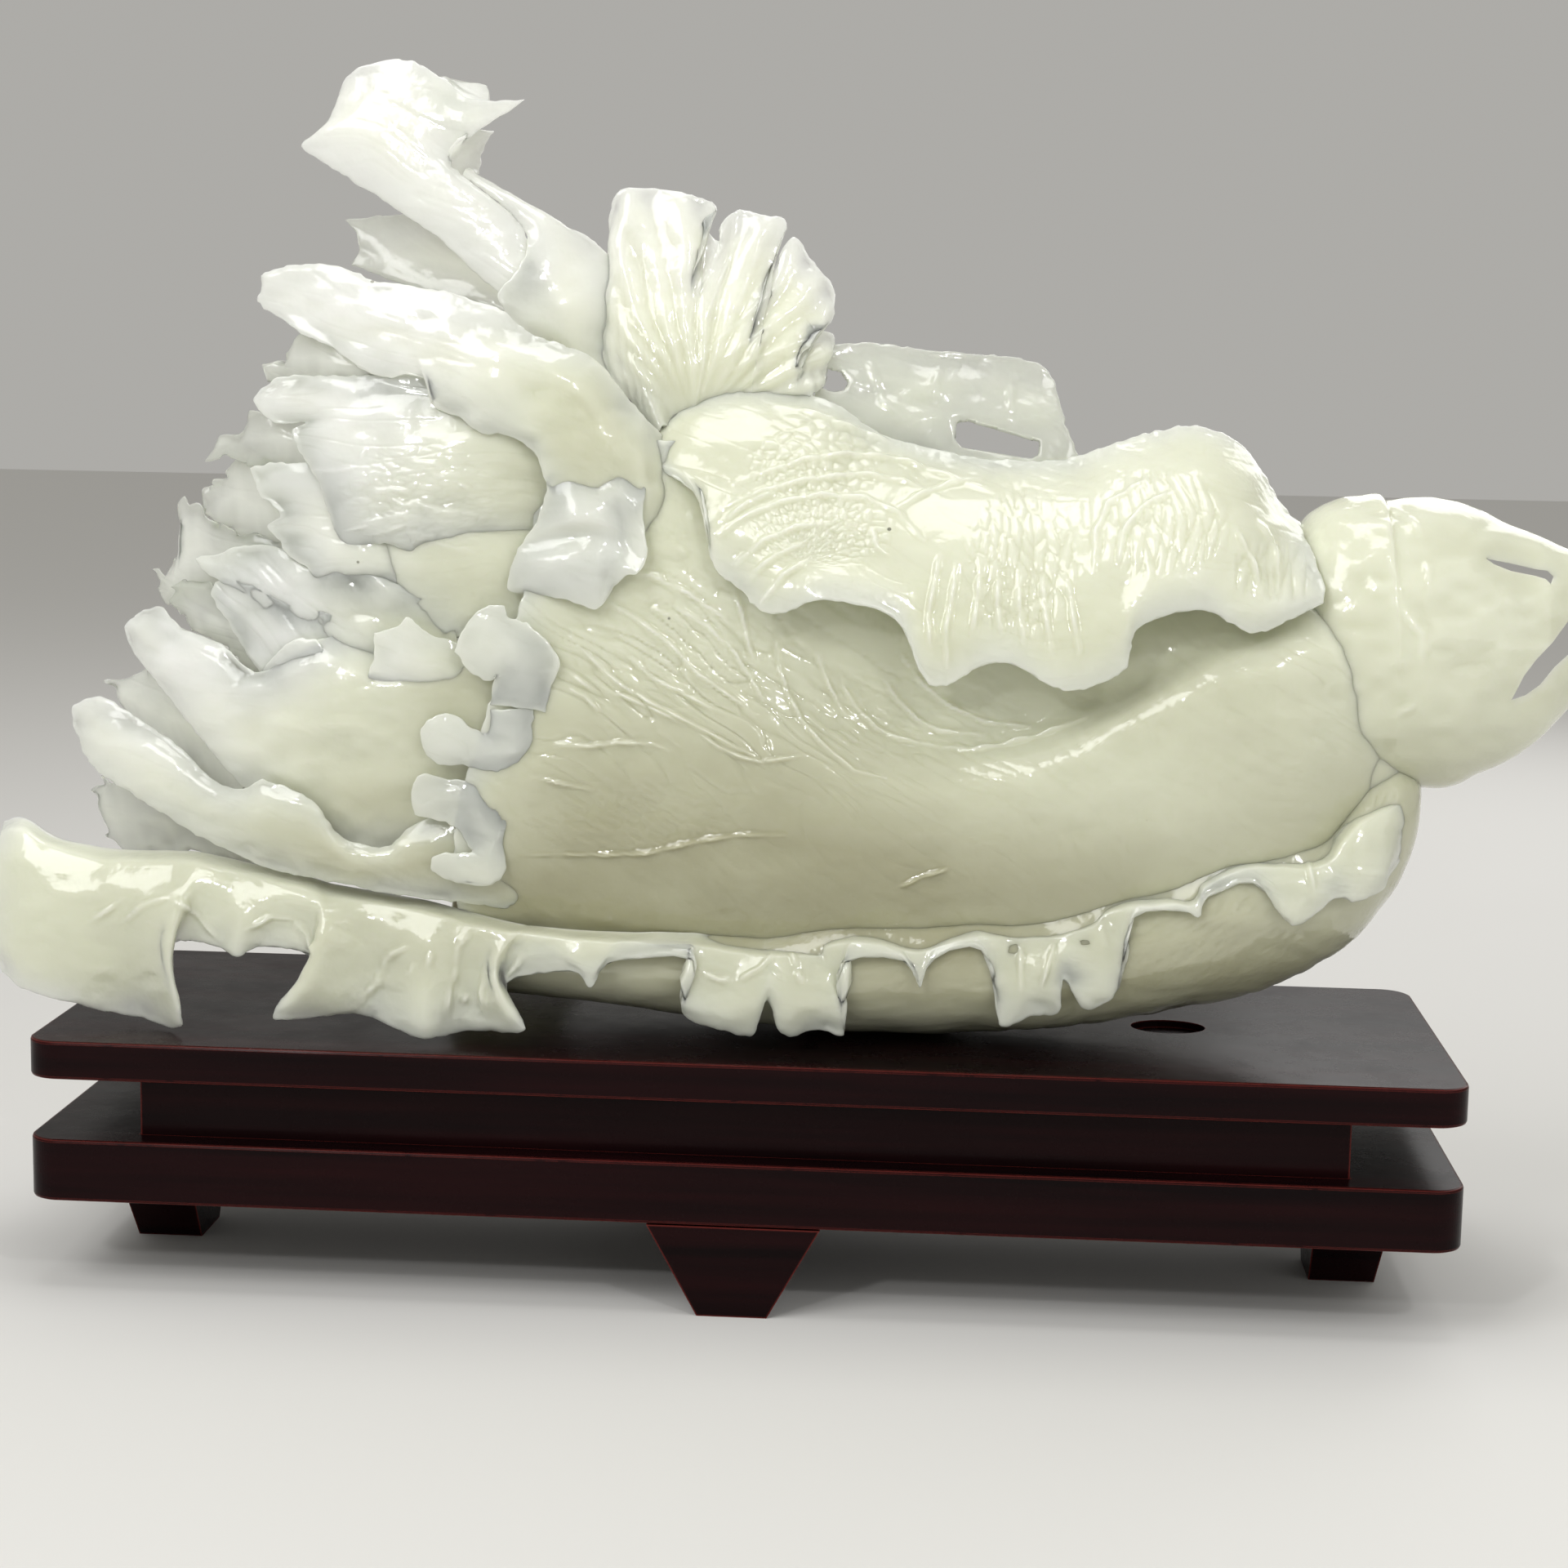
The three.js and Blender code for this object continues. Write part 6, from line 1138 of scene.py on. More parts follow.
def polygon_gap(px: np.ndarray, outline: list) -> tuple[np.ndarray, np.ndarray]:
    """Signed distance to an outline and the nearest place on it.

    Args:
        px: points as photo pixels, shape (..., 2).
        outline: corners of the closed outline.

    Returns:
        Distance, negative inside, and the nearest outline point.
    """
    corners = np.array(outline, float)
    best = np.full(px.shape[:-1], NOTHING_NEAR)
    nearest = np.array(px)
    inside = np.zeros(px.shape[:-1], bool)
    for a, b in zip(corners, np.roll(corners, -1, axis=0)):
        t = np.clip(((px - a) @ (b - a)) / ((b - a) @ (b - a)), 0, 1)
        place = a + t[..., None] * (b - a)
        gap = np.linalg.norm(px - place, axis=-1)
        nearer = gap < best
        best = np.where(nearer, gap, best)
        nearest[nearer] = place[nearer]
        crosses = (a[1] > px[..., 1]) != (b[1] > px[..., 1])
        with np.errstate(divide="ignore", invalid="ignore"):
            x_cross = a[0] + (px[..., 1] - a[1]) * (b[0] - a[0]) / (b[1] - a[1])
        inside ^= crosses & (px[..., 0] < x_cross)
    return np.where(inside, -best, best), nearest


# How far a leaf's ragged edge and its ruffles reach inwards, and a ruffle's width.
RAGGED_REACH_PX = 9.0
RUFFLE_REACH_PX = 26.0
RUFFLE_PX = 34.0
# From the margin inwards a leaf thickens, its relief rises and its lip is rounded.
TAPER_MM = 22.0
RELIEF_RISE_MM = 2.5
LIP_SHARE = 0.65
CLOSEST_READING_SHARE = 0.12


@dataclass
class Leaf:
    """One carved leaf: a sheet through its net with rounded lips and a relief."""

    name: str
    net: Net
    kind: LeafKind
    rows: int
    across: int
    relief: Relief = field(default_factory=Relief)
    holes: list = field(default_factory=list)
    back_step: int = 1
    free: tuple[bool, bool, bool, bool] = (False, True, True, True)
    ragged: float = 1.6
    ragged_px: float = 8.0
    ruffle: float = 0.007
    sink: float = 0.0
    sink_px: float = 40.0
    # Extra tone of painted light (below 0) and painted shade (above 0), gone near the held sides.
    light_and_shade_tone: float = 0.0
    tone_px: float = 60.0

    def _grid(self) -> np.ndarray:
        """Read the net finely, closer together at the margins.

        Returns:
            Photo pixel x, pixel y and depth share at each grid point.
        """
        net = np.array(self.net, float)
        spans = [len(net) - 1, len(net[0]) - 1]
        down = catmull(net, lip_places(self.rows, spans[0], CLOSEST_READING_SHARE))
        over = lip_places(self.across, spans[1], CLOSEST_READING_SHARE)
        grid = catmull(down.transpose(1, 0, 2), over)
        return grid.transpose(1, 0, 2).copy()

    @staticmethod
    def _reaches(places: np.ndarray) -> list[np.ndarray]:
        """Distances along the grid from its first and last row and column.

        Args:
            places: grid points, as pixels or metres.

        Returns:
            Four arrays, one for each side.
        """
        ahead = np.linalg.norm(np.diff(places, axis=0), axis=-1)
        beside = np.linalg.norm(np.diff(places, axis=1), axis=-1)
        down = np.pad(np.cumsum(ahead, axis=0), ((1, 0), (0, 0)))
        over = np.pad(np.cumsum(beside, axis=1), ((0, 0), (1, 0)))
        return [down, down[-1:] - down, over, over[:, -1:] - over]

    def _margin_gap(self, places: np.ndarray) -> np.ndarray:
        """Distance of each grid point from the free margins, along the grid."""
        reaches = self._reaches(places)
        return np.min([reach for reach, free in zip(reaches, self.free) if free], axis=0)

    def _root_share(self, grid: np.ndarray, reach_px: float) -> np.ndarray:
        """How near each point is to a side that isn't free.

        Args:
            grid: the finely read net.
            reach_px: distance at which the share has fallen to 0.

        Returns:
            Shares from 1 at such a side to 0.
        """
        held = [reach for reach, free in zip(self._reaches(grid[..., :2]), self.free)
                if not free]
        if not held:
            return np.zeros(grid.shape[:2])
        return 1 - smoothstep(0, reach_px, np.min(held, axis=0))

    def _cut_holes(self, grid: np.ndarray) -> tuple[np.ndarray, np.ndarray]:
        """Snap points inside holes to their rims.

        Args:
            grid: the finely read net, changed in place.

        Returns:
            Which points lie inside a hole, and each point's pixel gap to a rim.
        """
        inside = np.zeros(grid.shape[:2], bool)
        rim_gap = np.full(grid.shape[:2], NOTHING_NEAR)
        for outline in self.holes:
            gap, nearest = polygon_gap(grid[..., :2], outline)
            deep = gap < 0
            grid[..., :2] = np.where(deep[..., None], nearest, grid[..., :2])
            rim_gap = np.minimum(rim_gap, np.maximum(gap, 0))
            inside |= deep
        return inside, rim_gap

    def build(self, view: Viewpoint, lift: float) -> bpy.types.Object:
        """Make the leaf's mesh.

        Args:
            view: the viewpoint the net is read from.
            lift: height in metres added to settle the stone on its board.

        Returns:
            The leaf, with a "thin" attribute that rises towards its margins.
        """
        middle, edge, body_thin, margin_thin, fade = self.kind.value
        grid = self._grid()
        flat_gap = self._margin_gap(grid[..., :2])
        shake = self.ragged * np.exp(-flat_gap / RAGGED_REACH_PX)
        wave = self.ragged_px
        x, y = grid[..., 0].copy(), grid[..., 1].copy()
        grid[..., 0] += shake * smooth_noise(x / wave, y / wave, self.relief.seed + 20)
        grid[..., 1] += shake * smooth_noise(x / wave, y / wave, self.relief.seed + 30)
        ruffle = self.ruffle * np.exp(-flat_gap / RUFFLE_REACH_PX)
        grid[..., 2] += ruffle * smooth_noise(x / RUFFLE_PX, y / RUFFLE_PX, self.relief.seed + 40)
        grid[..., 2] += self.sink * self._root_share(grid, self.sink_px)
        inside, rim_gap = self._cut_holes(grid)
        places = view.points(grid)
        normal = np.cross(np.gradient(places, axis=0), np.gradient(places, axis=1))
        normal /= np.linalg.norm(normal, axis=-1, keepdims=True) + 1e-12
        facing = np.sum(normal * (view.eye() - places), axis=-1).mean()
        normal *= 1 if facing > 0 else -1
        pixel = np.linalg.norm(view.points(grid[:1, :1] + [1.0, 0, 0]) - places[:1, :1])
        gap = np.minimum(self._margin_gap(places), rim_gap * pixel)
        gap[inside] = 0
        thick = (edge + (middle - edge) * smoothstep(0, TAPER_MM * MM, gap)) * MM
        lip = np.clip(gap / (LIP_SHARE * edge * MM), 0, 1)
        bulge = np.sqrt(1 - (1 - lip) ** 2)
        rise = smoothstep(0, RELIEF_RISE_MM * MM, gap)
        height = self.relief.height(grid[..., :2]) * MM * rise
        front = places - normal * (thick * (1 - bulge) / 2)[..., None] + normal * height[..., None]
        back = places - normal * (thick * (1 + bulge) / 2)[..., None]
        thin = body_thin + (margin_thin - body_thin) * np.exp(-gap / (fade * MM))
        # The tone mark carries painted light and shade by place.
        own_light_and_shade_tone = self.light_and_shade_tone * (1 - self._root_share(grid, self.tone_px))
        marks = {"thin": thin, "relief": height / MM, "light_and_shade_tone": painted_light_and_shade(grid[..., :2]) + own_light_and_shade_tone}
        made = self._mesh(front, back, marks, inside, facing > 0)
        made.data.transform(Matrix.Translation((0, 0, lift)))
        return made

    def _mesh(self, front: np.ndarray, back: np.ndarray, marks: dict,
              inside: np.ndarray, facing: bool) -> bpy.types.Object:
        """Join the two faces of the sheet into one closed mesh.

        Args:
            front: points of the near face.
            back: points of the far face, same shape.
            marks: named value at each grid point, kept as attributes.
            inside: grid points that lie in a hole.
            facing: whether the grid's own turn faces the viewer.

        Returns:
            The sheet, with its marks.
        """
        rows, across = front.shape[:2]
        number = np.arange(rows * across).reshape(rows, across)
        step = self.back_step
        rim = inside.copy()
        rim[0, :] = rim[-1, :] = rim[:, 0] = rim[:, -1] = True
        behind = number.copy()
        kept = np.zeros((rows, across), bool)
        kept[::step, ::step] = True
        kept &= ~rim
        behind[kept] = rows * across + np.arange(kept.sum())
        points = np.concatenate([front.reshape(-1, 3), back[kept]])
        full = inside[:-1, :-1] & inside[1:, :-1] & inside[:-1, 1:] & inside[1:, 1:]
        i, j = np.nonzero(~full)
        quads = np.stack([number[i, j], number[i + 1, j], number[i + 1, j + 1],
                          number[i, j + 1]], axis=1)
        faces = (quads if facing else quads[:, ::-1]).tolist()
        if step == 1:
            backs = np.stack([behind[i, j], behind[i, j + 1], behind[i + 1, j + 1],
                              behind[i + 1, j]], axis=1)
            faces += (backs if facing else backs[:, ::-1]).tolist()
        else:
            faces += self._coarse_back(behind, step, facing)
        marks = {key: np.concatenate([value.reshape(-1), value[kept]])
                 for key, value in marks.items()}
        return mesh_object(self.name, points, faces, marks)

    @staticmethod
    def _coarse_back(behind: np.ndarray, step: int, facing: bool) -> list:
        """Large back faces that still share every corner of the rim.

        Args:
            behind: corner number at each grid place.
            step: grid steps in one large face.
            facing: whether the grid's own turn faces the viewer.

        Returns:
            Faces as lists of corner numbers.
        """
        rows, across = behind.shape
        faces = []
        for i in range(0, rows - 1, step):
            for j in range(0, across - 1, step):
                top = range(j, j + step) if i == 0 else [j]
                right = range(i, i + step) if j + step == across - 1 else [i]
                low = range(j + step, j, -1) if i + step == rows - 1 else [j + step]
                left = range(i + step, i, -1) if j == 0 else [i + step]
                ring = ([behind[i, k] for k in top] + [behind[k, j + step] for k in right]
                        + [behind[i + step, k] for k in low] + [behind[k, j] for k in left])
                faces.append([int(k) for k in (ring if facing else ring[::-1])])
        return faces


# Width and height of a stem's low waves, an opening's ends, and the sharpest smooth edge.
STEM_SWELL_MM = (20.0, 12.0)
OPENING_DEPTH_SHARES = (-0.5, 1.5)
ARRIS_DEG = 50


@dataclass
class Stem:
    """Solid part of oval sections, such as the cabbage's heart or a root."""

    name: str
    stations: Stations
    rows: int
    sides: int
    thin: float = 0.0
    relief: Relief | None = None
    holes: list = field(default_factory=list)
    waves: float = 0.5
    seed: int = 3

    def build(self, view: Viewpoint, lift: float) -> bpy.types.Object:
        """Make the solid.

        Args:
            view: the viewpoint the stations are read from.
            lift: height in metres added to settle the stone on its board.

        Returns:
            The solid, closed at both ends.
        """
        table = np.array(self.stations, float)
        read = catmull(table, np.linspace(0, len(table) - 1, self.rows))
        high = view.points(read[:, [0, 1, 3]])
        low = view.points(read[:, [0, 2, 3]])
        turn = np.linspace(0, 2 * np.pi, self.sides, endpoint=False)
        centre, reach = (high + low) / 2, (high - low) / 2
        ring = centre[:, None] + reach[:, None] * np.cos(turn)[None, :, None]
        ring[..., 1] += (read[:, 4] * view.stone_depth * MM)[:, None] * np.sin(turn)
        out = ring - centre[:, None]
        out /= np.linalg.norm(out, axis=-1, keepdims=True) + 1e-9
        swell = smooth_noise(ring[..., 0] / (STEM_SWELL_MM[0] * MM),
                             (ring[..., 2] + ring[..., 1]) / (STEM_SWELL_MM[1] * MM), self.seed)
        ends = np.sin(np.linspace(0, np.pi, self.rows)) ** 0.5
        height = swell * self.waves
        if self.relief:
            height = height + self.relief.height(view.pixels(ring))
        ring += out * (height * MM * ends[:, None])[..., None]
        points = np.concatenate([ring.reshape(-1, 3), centre[[0, -1]]])
        # The tone mark carries painted light and shade by place.
        marks = {"thin": np.full(len(points), self.thin),
                 "relief": np.append(height.reshape(-1), [0.0, 0.0]),
                 "light_and_shade_tone": painted_light_and_shade(view.pixels(points))}
        first, last = len(points) - 2, len(points) - 1
        faces = []
        for i in range(self.rows - 1):
            for k in range(self.sides):
                n = (k + 1) % self.sides
                a, b = i * self.sides, (i + 1) * self.sides
                faces.append([a + k, b + k, b + n, a + n])
        end = (self.rows - 1) * self.sides
        for k in range(self.sides):
            n = (k + 1) % self.sides
            faces += [[first, k, n], [last, end + n, end + k]]
        made = mesh_object(self.name, points, faces, marks)
        for outline in self.holes:
            self._pierce(made, view, outline)
        made.data.transform(Matrix.Translation((0, 0, lift)))
        return made

    @staticmethod
    def _pierce(made: bpy.types.Object, view: Viewpoint, outline: list) -> None:
        """Cut an opening right through the solid, along the view.

        Args:
            made: the solid, changed in place.
            view: the viewpoint the outline is read from.
            outline: corners of the opening, as photo pixels.
        """
        count = len(outline)
        corners = [view.points(np.array([[x, y, share] for x, y in outline], float))
                   for share in OPENING_DEPTH_SHARES]
        sides = [[k, (k + 1) % count, (k + 1) % count + count, k + count] for k in range(count)]
        cutter = mesh_object("opening", np.concatenate(corners),
                             sides + [list(range(count))[::-1],
                                      list(range(count, 2 * count))], {})
        cut = made.modifiers.new("opening", "BOOLEAN")
        cut.operation, cut.solver, cut.object = "DIFFERENCE", "EXACT", cutter
        bpy.ops.object.select_all(action="DESELECT")
        bpy.context.view_layer.objects.active = made
        made.select_set(True)
        bpy.ops.object.modifier_apply(modifier=cut.name)
        bpy.data.objects.remove(cutter)
        bpy.ops.object.shade_smooth_by_angle(angle=math.radians(ARRIS_DEG))


@dataclass(frozen=True)
class JadeFinish:
    """Nephrite, ground and hand polished: celadon body, greenish white where carved thin, with
    painted light and shade by place and painted shade in the valleys.
    """

    # The white and deep colours are where the painted light and the painted shade end.
    white: str = "#F7F8EE"
    pale: str = "#E9EBD8"
    body: str = "#DCDEC8"
    deep: str = "#ABA98C"
    painted_valley_shade: str = "#D0D1B6"
    thin: str = "#F0F4E3"
    speck: str = "#4A4A38"
    scatter_mm: tuple[float, float, float] = (6.5, 6.1, 6.4)
    roughness: float = 0.11
    ior: float = 1.62

    def build(self) -> bpy.types.Material:
        """Make the jade, with its clouds, painted light and shade, thin margins and fine surface
        waves.

        Returns:
            The material.
        """
        material = bpy.data.materials.new("nephrite_jade")
        material.use_nodes = True
        tree = material.node_tree
        shader = tree.nodes["Principled BSDF"]
        place = add_node(tree, "ShaderNodeTexCoord", {}, {}).outputs["Object"]
        # Cloudy growth bands inside the stone, 30 to 60 mm long.
        cloud = add_node(tree, "ShaderNodeTexNoise",
                         {"Scale": 22.0, "Detail": 4.0, "Roughness": 0.55, "Distortion": 0.6},
                         {"Vector": place})
        # Painted light and shade: the tone mark makes the stone whiter where light falls on the upper
        # parts and deeper and yellower where shade falls low down, partly its own tone.
        light_and_shade_tone = add_node(tree, "ShaderNodeAttribute", {"attribute_name": "light_and_shade_tone"}, {})
        level = add_node(tree, "ShaderNodeMath", {"operation": "MULTIPLY_ADD", 1: 0.5, 2: 0.38},
                         {0: light_and_shade_tone.outputs["Fac"]})
        clouded = add_node(tree, "ShaderNodeMath", {"operation": "MULTIPLY_ADD", 1: 0.24},
                           {0: cloud.outputs["Fac"], 2: level.outputs[0]})
        # The ramp's white end paints light and its deep end paints shade.
        tint = add_node(tree, "ShaderNodeValToRGB", {}, {"Fac": clouded.outputs[0]})
        tint.color_ramp.elements.new(0.34).color = srgb(self.pale)
        tint.color_ramp.elements.new(0.52).color = srgb(self.body)
        tint.color_ramp.elements[0].color = srgb(self.white)
        tint.color_ramp.elements[-1].color = srgb(self.deep)
        # Painted shade: valleys between carved pebbles are coloured deeper and yellower than their
        # tops.
        relief = add_node(tree, "ShaderNodeAttribute", {"attribute_name": "relief"}, {})
        painted_valley_shade = add_node(tree, "ShaderNodeMapRange",
                          {"From Min": 0.1, "From Max": -0.7, "To Min": 0.0, "To Max": 0.3},
                          {"Value": relief.outputs["Fac"]})
        valley_shaded = add_node(tree, "ShaderNodeMix", {"data_type": "RGBA", 7: srgb(self.painted_valley_shade)},
                          {0: painted_valley_shade.outputs[0], 6: tint.outputs["Color"]})
        # Margins and leaf tips lose the body colour and turn a clear greenish white.
        thin = add_node(tree, "ShaderNodeAttribute", {"attribute_name": "thin"}, {})
        fade = add_node(tree, "ShaderNodeMapRange",
                        {"From Min": 0.1, "From Max": 0.9, "To Min": 0.0, "To Max": 0.9},
                        {"Value": thin.outputs["Fac"]})
        margin = add_node(tree, "ShaderNodeMix", {"data_type": "RGBA", 7: srgb(self.thin)},
                          {0: fade.outputs[0], 6: valley_shaded.outputs[2]})
        # The thinnest leaves are clear enough to show what lies behind them.
        clear = add_node(tree, "ShaderNodeMapRange",
                         {"From Min": 0.72, "From Max": 1.0, "To Min": 0.0, "To Max": 0.5},
                         {"Value": thin.outputs["Fac"]})
        tree.links.new(clear.outputs[0], shader.inputs["Transmission Weight"])
        # A few dark mineral specks, about a millimetre wide.
        dots = add_node(tree, "ShaderNodeTexVoronoi", {"Scale": 26.0}, {"Vector": place})
        near = add_node(tree, "ShaderNodeMapRange",
                        {"From Min": 0.012, "From Max": 0.02, "To Min": 0.75, "To Max": 0.0},
                        {"Value": dots.outputs["Distance"]})
        stone = add_node(tree, "ShaderNodeMix", {"data_type": "RGBA", 7: srgb(self.speck)},
                         {0: near.outputs[0], 6: margin.outputs[2]})
        tree.links.new(stone.outputs[2], shader.inputs["Base Color"])
        # Hand polishing leaves low waves 3 to 6 mm across and a silky haze.
        wave = add_node(tree, "ShaderNodeTexNoise", {"Scale": 210.0, "Detail": 2.0},
                        {"Vector": place})
        haze = add_node(tree, "ShaderNodeMapRange",
                        {"To Min": self.roughness - 0.05, "To Max": self.roughness + 0.07},
                        {"Value": cloud.outputs["Fac"]})
        bump = add_node(tree, "ShaderNodeBump", {"Strength": 0.2, "Distance": 0.0012},
                        {"Height": wave.outputs["Fac"]})
        tree.links.new(haze.outputs[0], shader.inputs["Roughness"])
        tree.links.new(bump.outputs["Normal"], shader.inputs["Normal"])
        shader.inputs["IOR"].default_value = self.ior
        shader.inputs["Subsurface Weight"].default_value = 1.0
        shader.inputs["Subsurface Radius"].default_value = self.scatter_mm
        shader.inputs["Subsurface Scale"].default_value = MM
        return material


@dataclass(frozen=True)
class LacquerFinish:
    """Dark red-brown lacquer on hardwood, rubbed red along its arrises."""

    name: str = "rosewood_lacquer"
    ground: str = "#0E0506"
    warm: str = "#20090B"
    worn: str = "#7E322C"
    dust: str = "#3A2C2D"
    roughness: float = 0.22
    wear_mm: float = 0.9

    def build(self) -> bpy.types.Material:
        """Make the lacquer, with grain ghosting through it, dust and worn arrises.

        Returns:
            The material.
        """
        material = bpy.data.materials.new(self.name)
        material.use_nodes = True
        tree = material.node_tree
        shader = tree.nodes["Principled BSDF"]
        place = add_node(tree, "ShaderNodeTexCoord", {}, {}).outputs["Object"]
        # Wood grain drawn out along the boards, hardly seen through the lacquer.
        drawn = add_node(tree, "ShaderNodeMapping", {"Scale": (6.0, 90.0, 160.0)},
                         {"Vector": place})
        grain = add_node(tree, "ShaderNodeTexNoise", {"Scale": 1.0, "Detail": 5.0},
                         {"Vector": drawn.outputs[0]})
        lacquer = add_node(tree, "ShaderNodeValToRGB", {}, {"Fac": grain.outputs["Fac"]})
        lacquer.color_ramp.elements[0].position = 0.35
        lacquer.color_ramp.elements[0].color = srgb(self.ground)
        lacquer.color_ramp.elements[1].position = 0.75
        lacquer.color_ramp.elements[1].color = srgb(self.warm)
        # Bevel against the true normal finds the arrises where the lacquer is thin.
        rounded = add_node(tree, "ShaderNodeBevel", {"samples": 6, "Radius": self.wear_mm * MM}, {})
        true = add_node(tree, "ShaderNodeNewGeometry", {}, {})
        turned = add_node(tree, "ShaderNodeVectorMath", {"operation": "DOT_PRODUCT"},
                          {0: rounded.outputs[0], 1: true.outputs["True Normal"]})
        rub = add_node(tree, "ShaderNodeTexNoise", {"Scale": 160.0, "Detail": 3.0},
                       {"Vector": place})
        patchy = add_node(tree, "ShaderNodeMath", {"operation": "MULTIPLY_ADD", 1: 0.03, 2: 0.955},
                          {0: rub.outputs["Fac"]})
        bare = add_node(tree, "ShaderNodeMath", {"operation": "LESS_THAN"},
                        {0: turned.outputs["Value"], 1: patchy.outputs[0]})
        share = add_node(tree, "ShaderNodeMath", {"operation": "MULTIPLY", 1: 0.62},
                         {0: bare.outputs[0]})
        edged = add_node(tree, "ShaderNodeMix", {"data_type": "RGBA", 7: srgb(self.worn)},
                         {0: share.outputs[0], 6: lacquer.outputs["Color"]})
        # Faint drifts of dust, about 30 mm long, dull the gloss where they lie.
        drift = add_node(tree, "ShaderNodeTexNoise",
                         {"Scale": 34.0, "Detail": 8.0, "Roughness": 0.72}, {"Vector": place})
        settled = add_node(tree, "ShaderNodeMapRange",
                           {"From Min": 0.64, "From Max": 0.9, "To Min": 0.0, "To Max": 0.15},
                           {"Value": drift.outputs["Fac"]})
        dusty = add_node(tree, "ShaderNodeMix", {"data_type": "RGBA", 7: srgb(self.dust)},
                         {0: settled.outputs[0], 6: edged.outputs[2]})
        tree.links.new(dusty.outputs[2], shader.inputs["Base Color"])
        dull = add_node(tree, "ShaderNodeMapRange",
                        {"From Min": 0.35, "From Max": 0.8, "To Min": self.roughness,
                         "To Max": self.roughness + 0.16}, {"Value": drift.outputs["Fac"]})
        tree.links.new(dull.outputs[0], shader.inputs["Roughness"])
        # Brushed coats leave an orange peel, drawn about 6 mm wide so that it shows.
        peel = add_node(tree, "ShaderNodeBump", {"Strength": 0.1, "Distance": 0.0006},
                        {"Height": rub.outputs["Fac"]})
        tree.links.new(peel.outputs["Normal"], shader.inputs["Normal"])
        shader.inputs["Specular IOR Level"].default_value = 0.06
        shader.inputs["Coat Weight"].default_value = 0.03
        shader.inputs["Coat Roughness"].default_value = 0.1
        return material


# The middle of the curled leaf's swirl, and the place the fan's ribs spread from.
SWIRL_PIXEL = (985, 690)
FAN_ROOT_PIXEL = (850, 520)
# The far skirt leaves out this many rows at the start of the near one's net.
FAR_SKIRT_START = 11
SETTLE_READINGS = 120


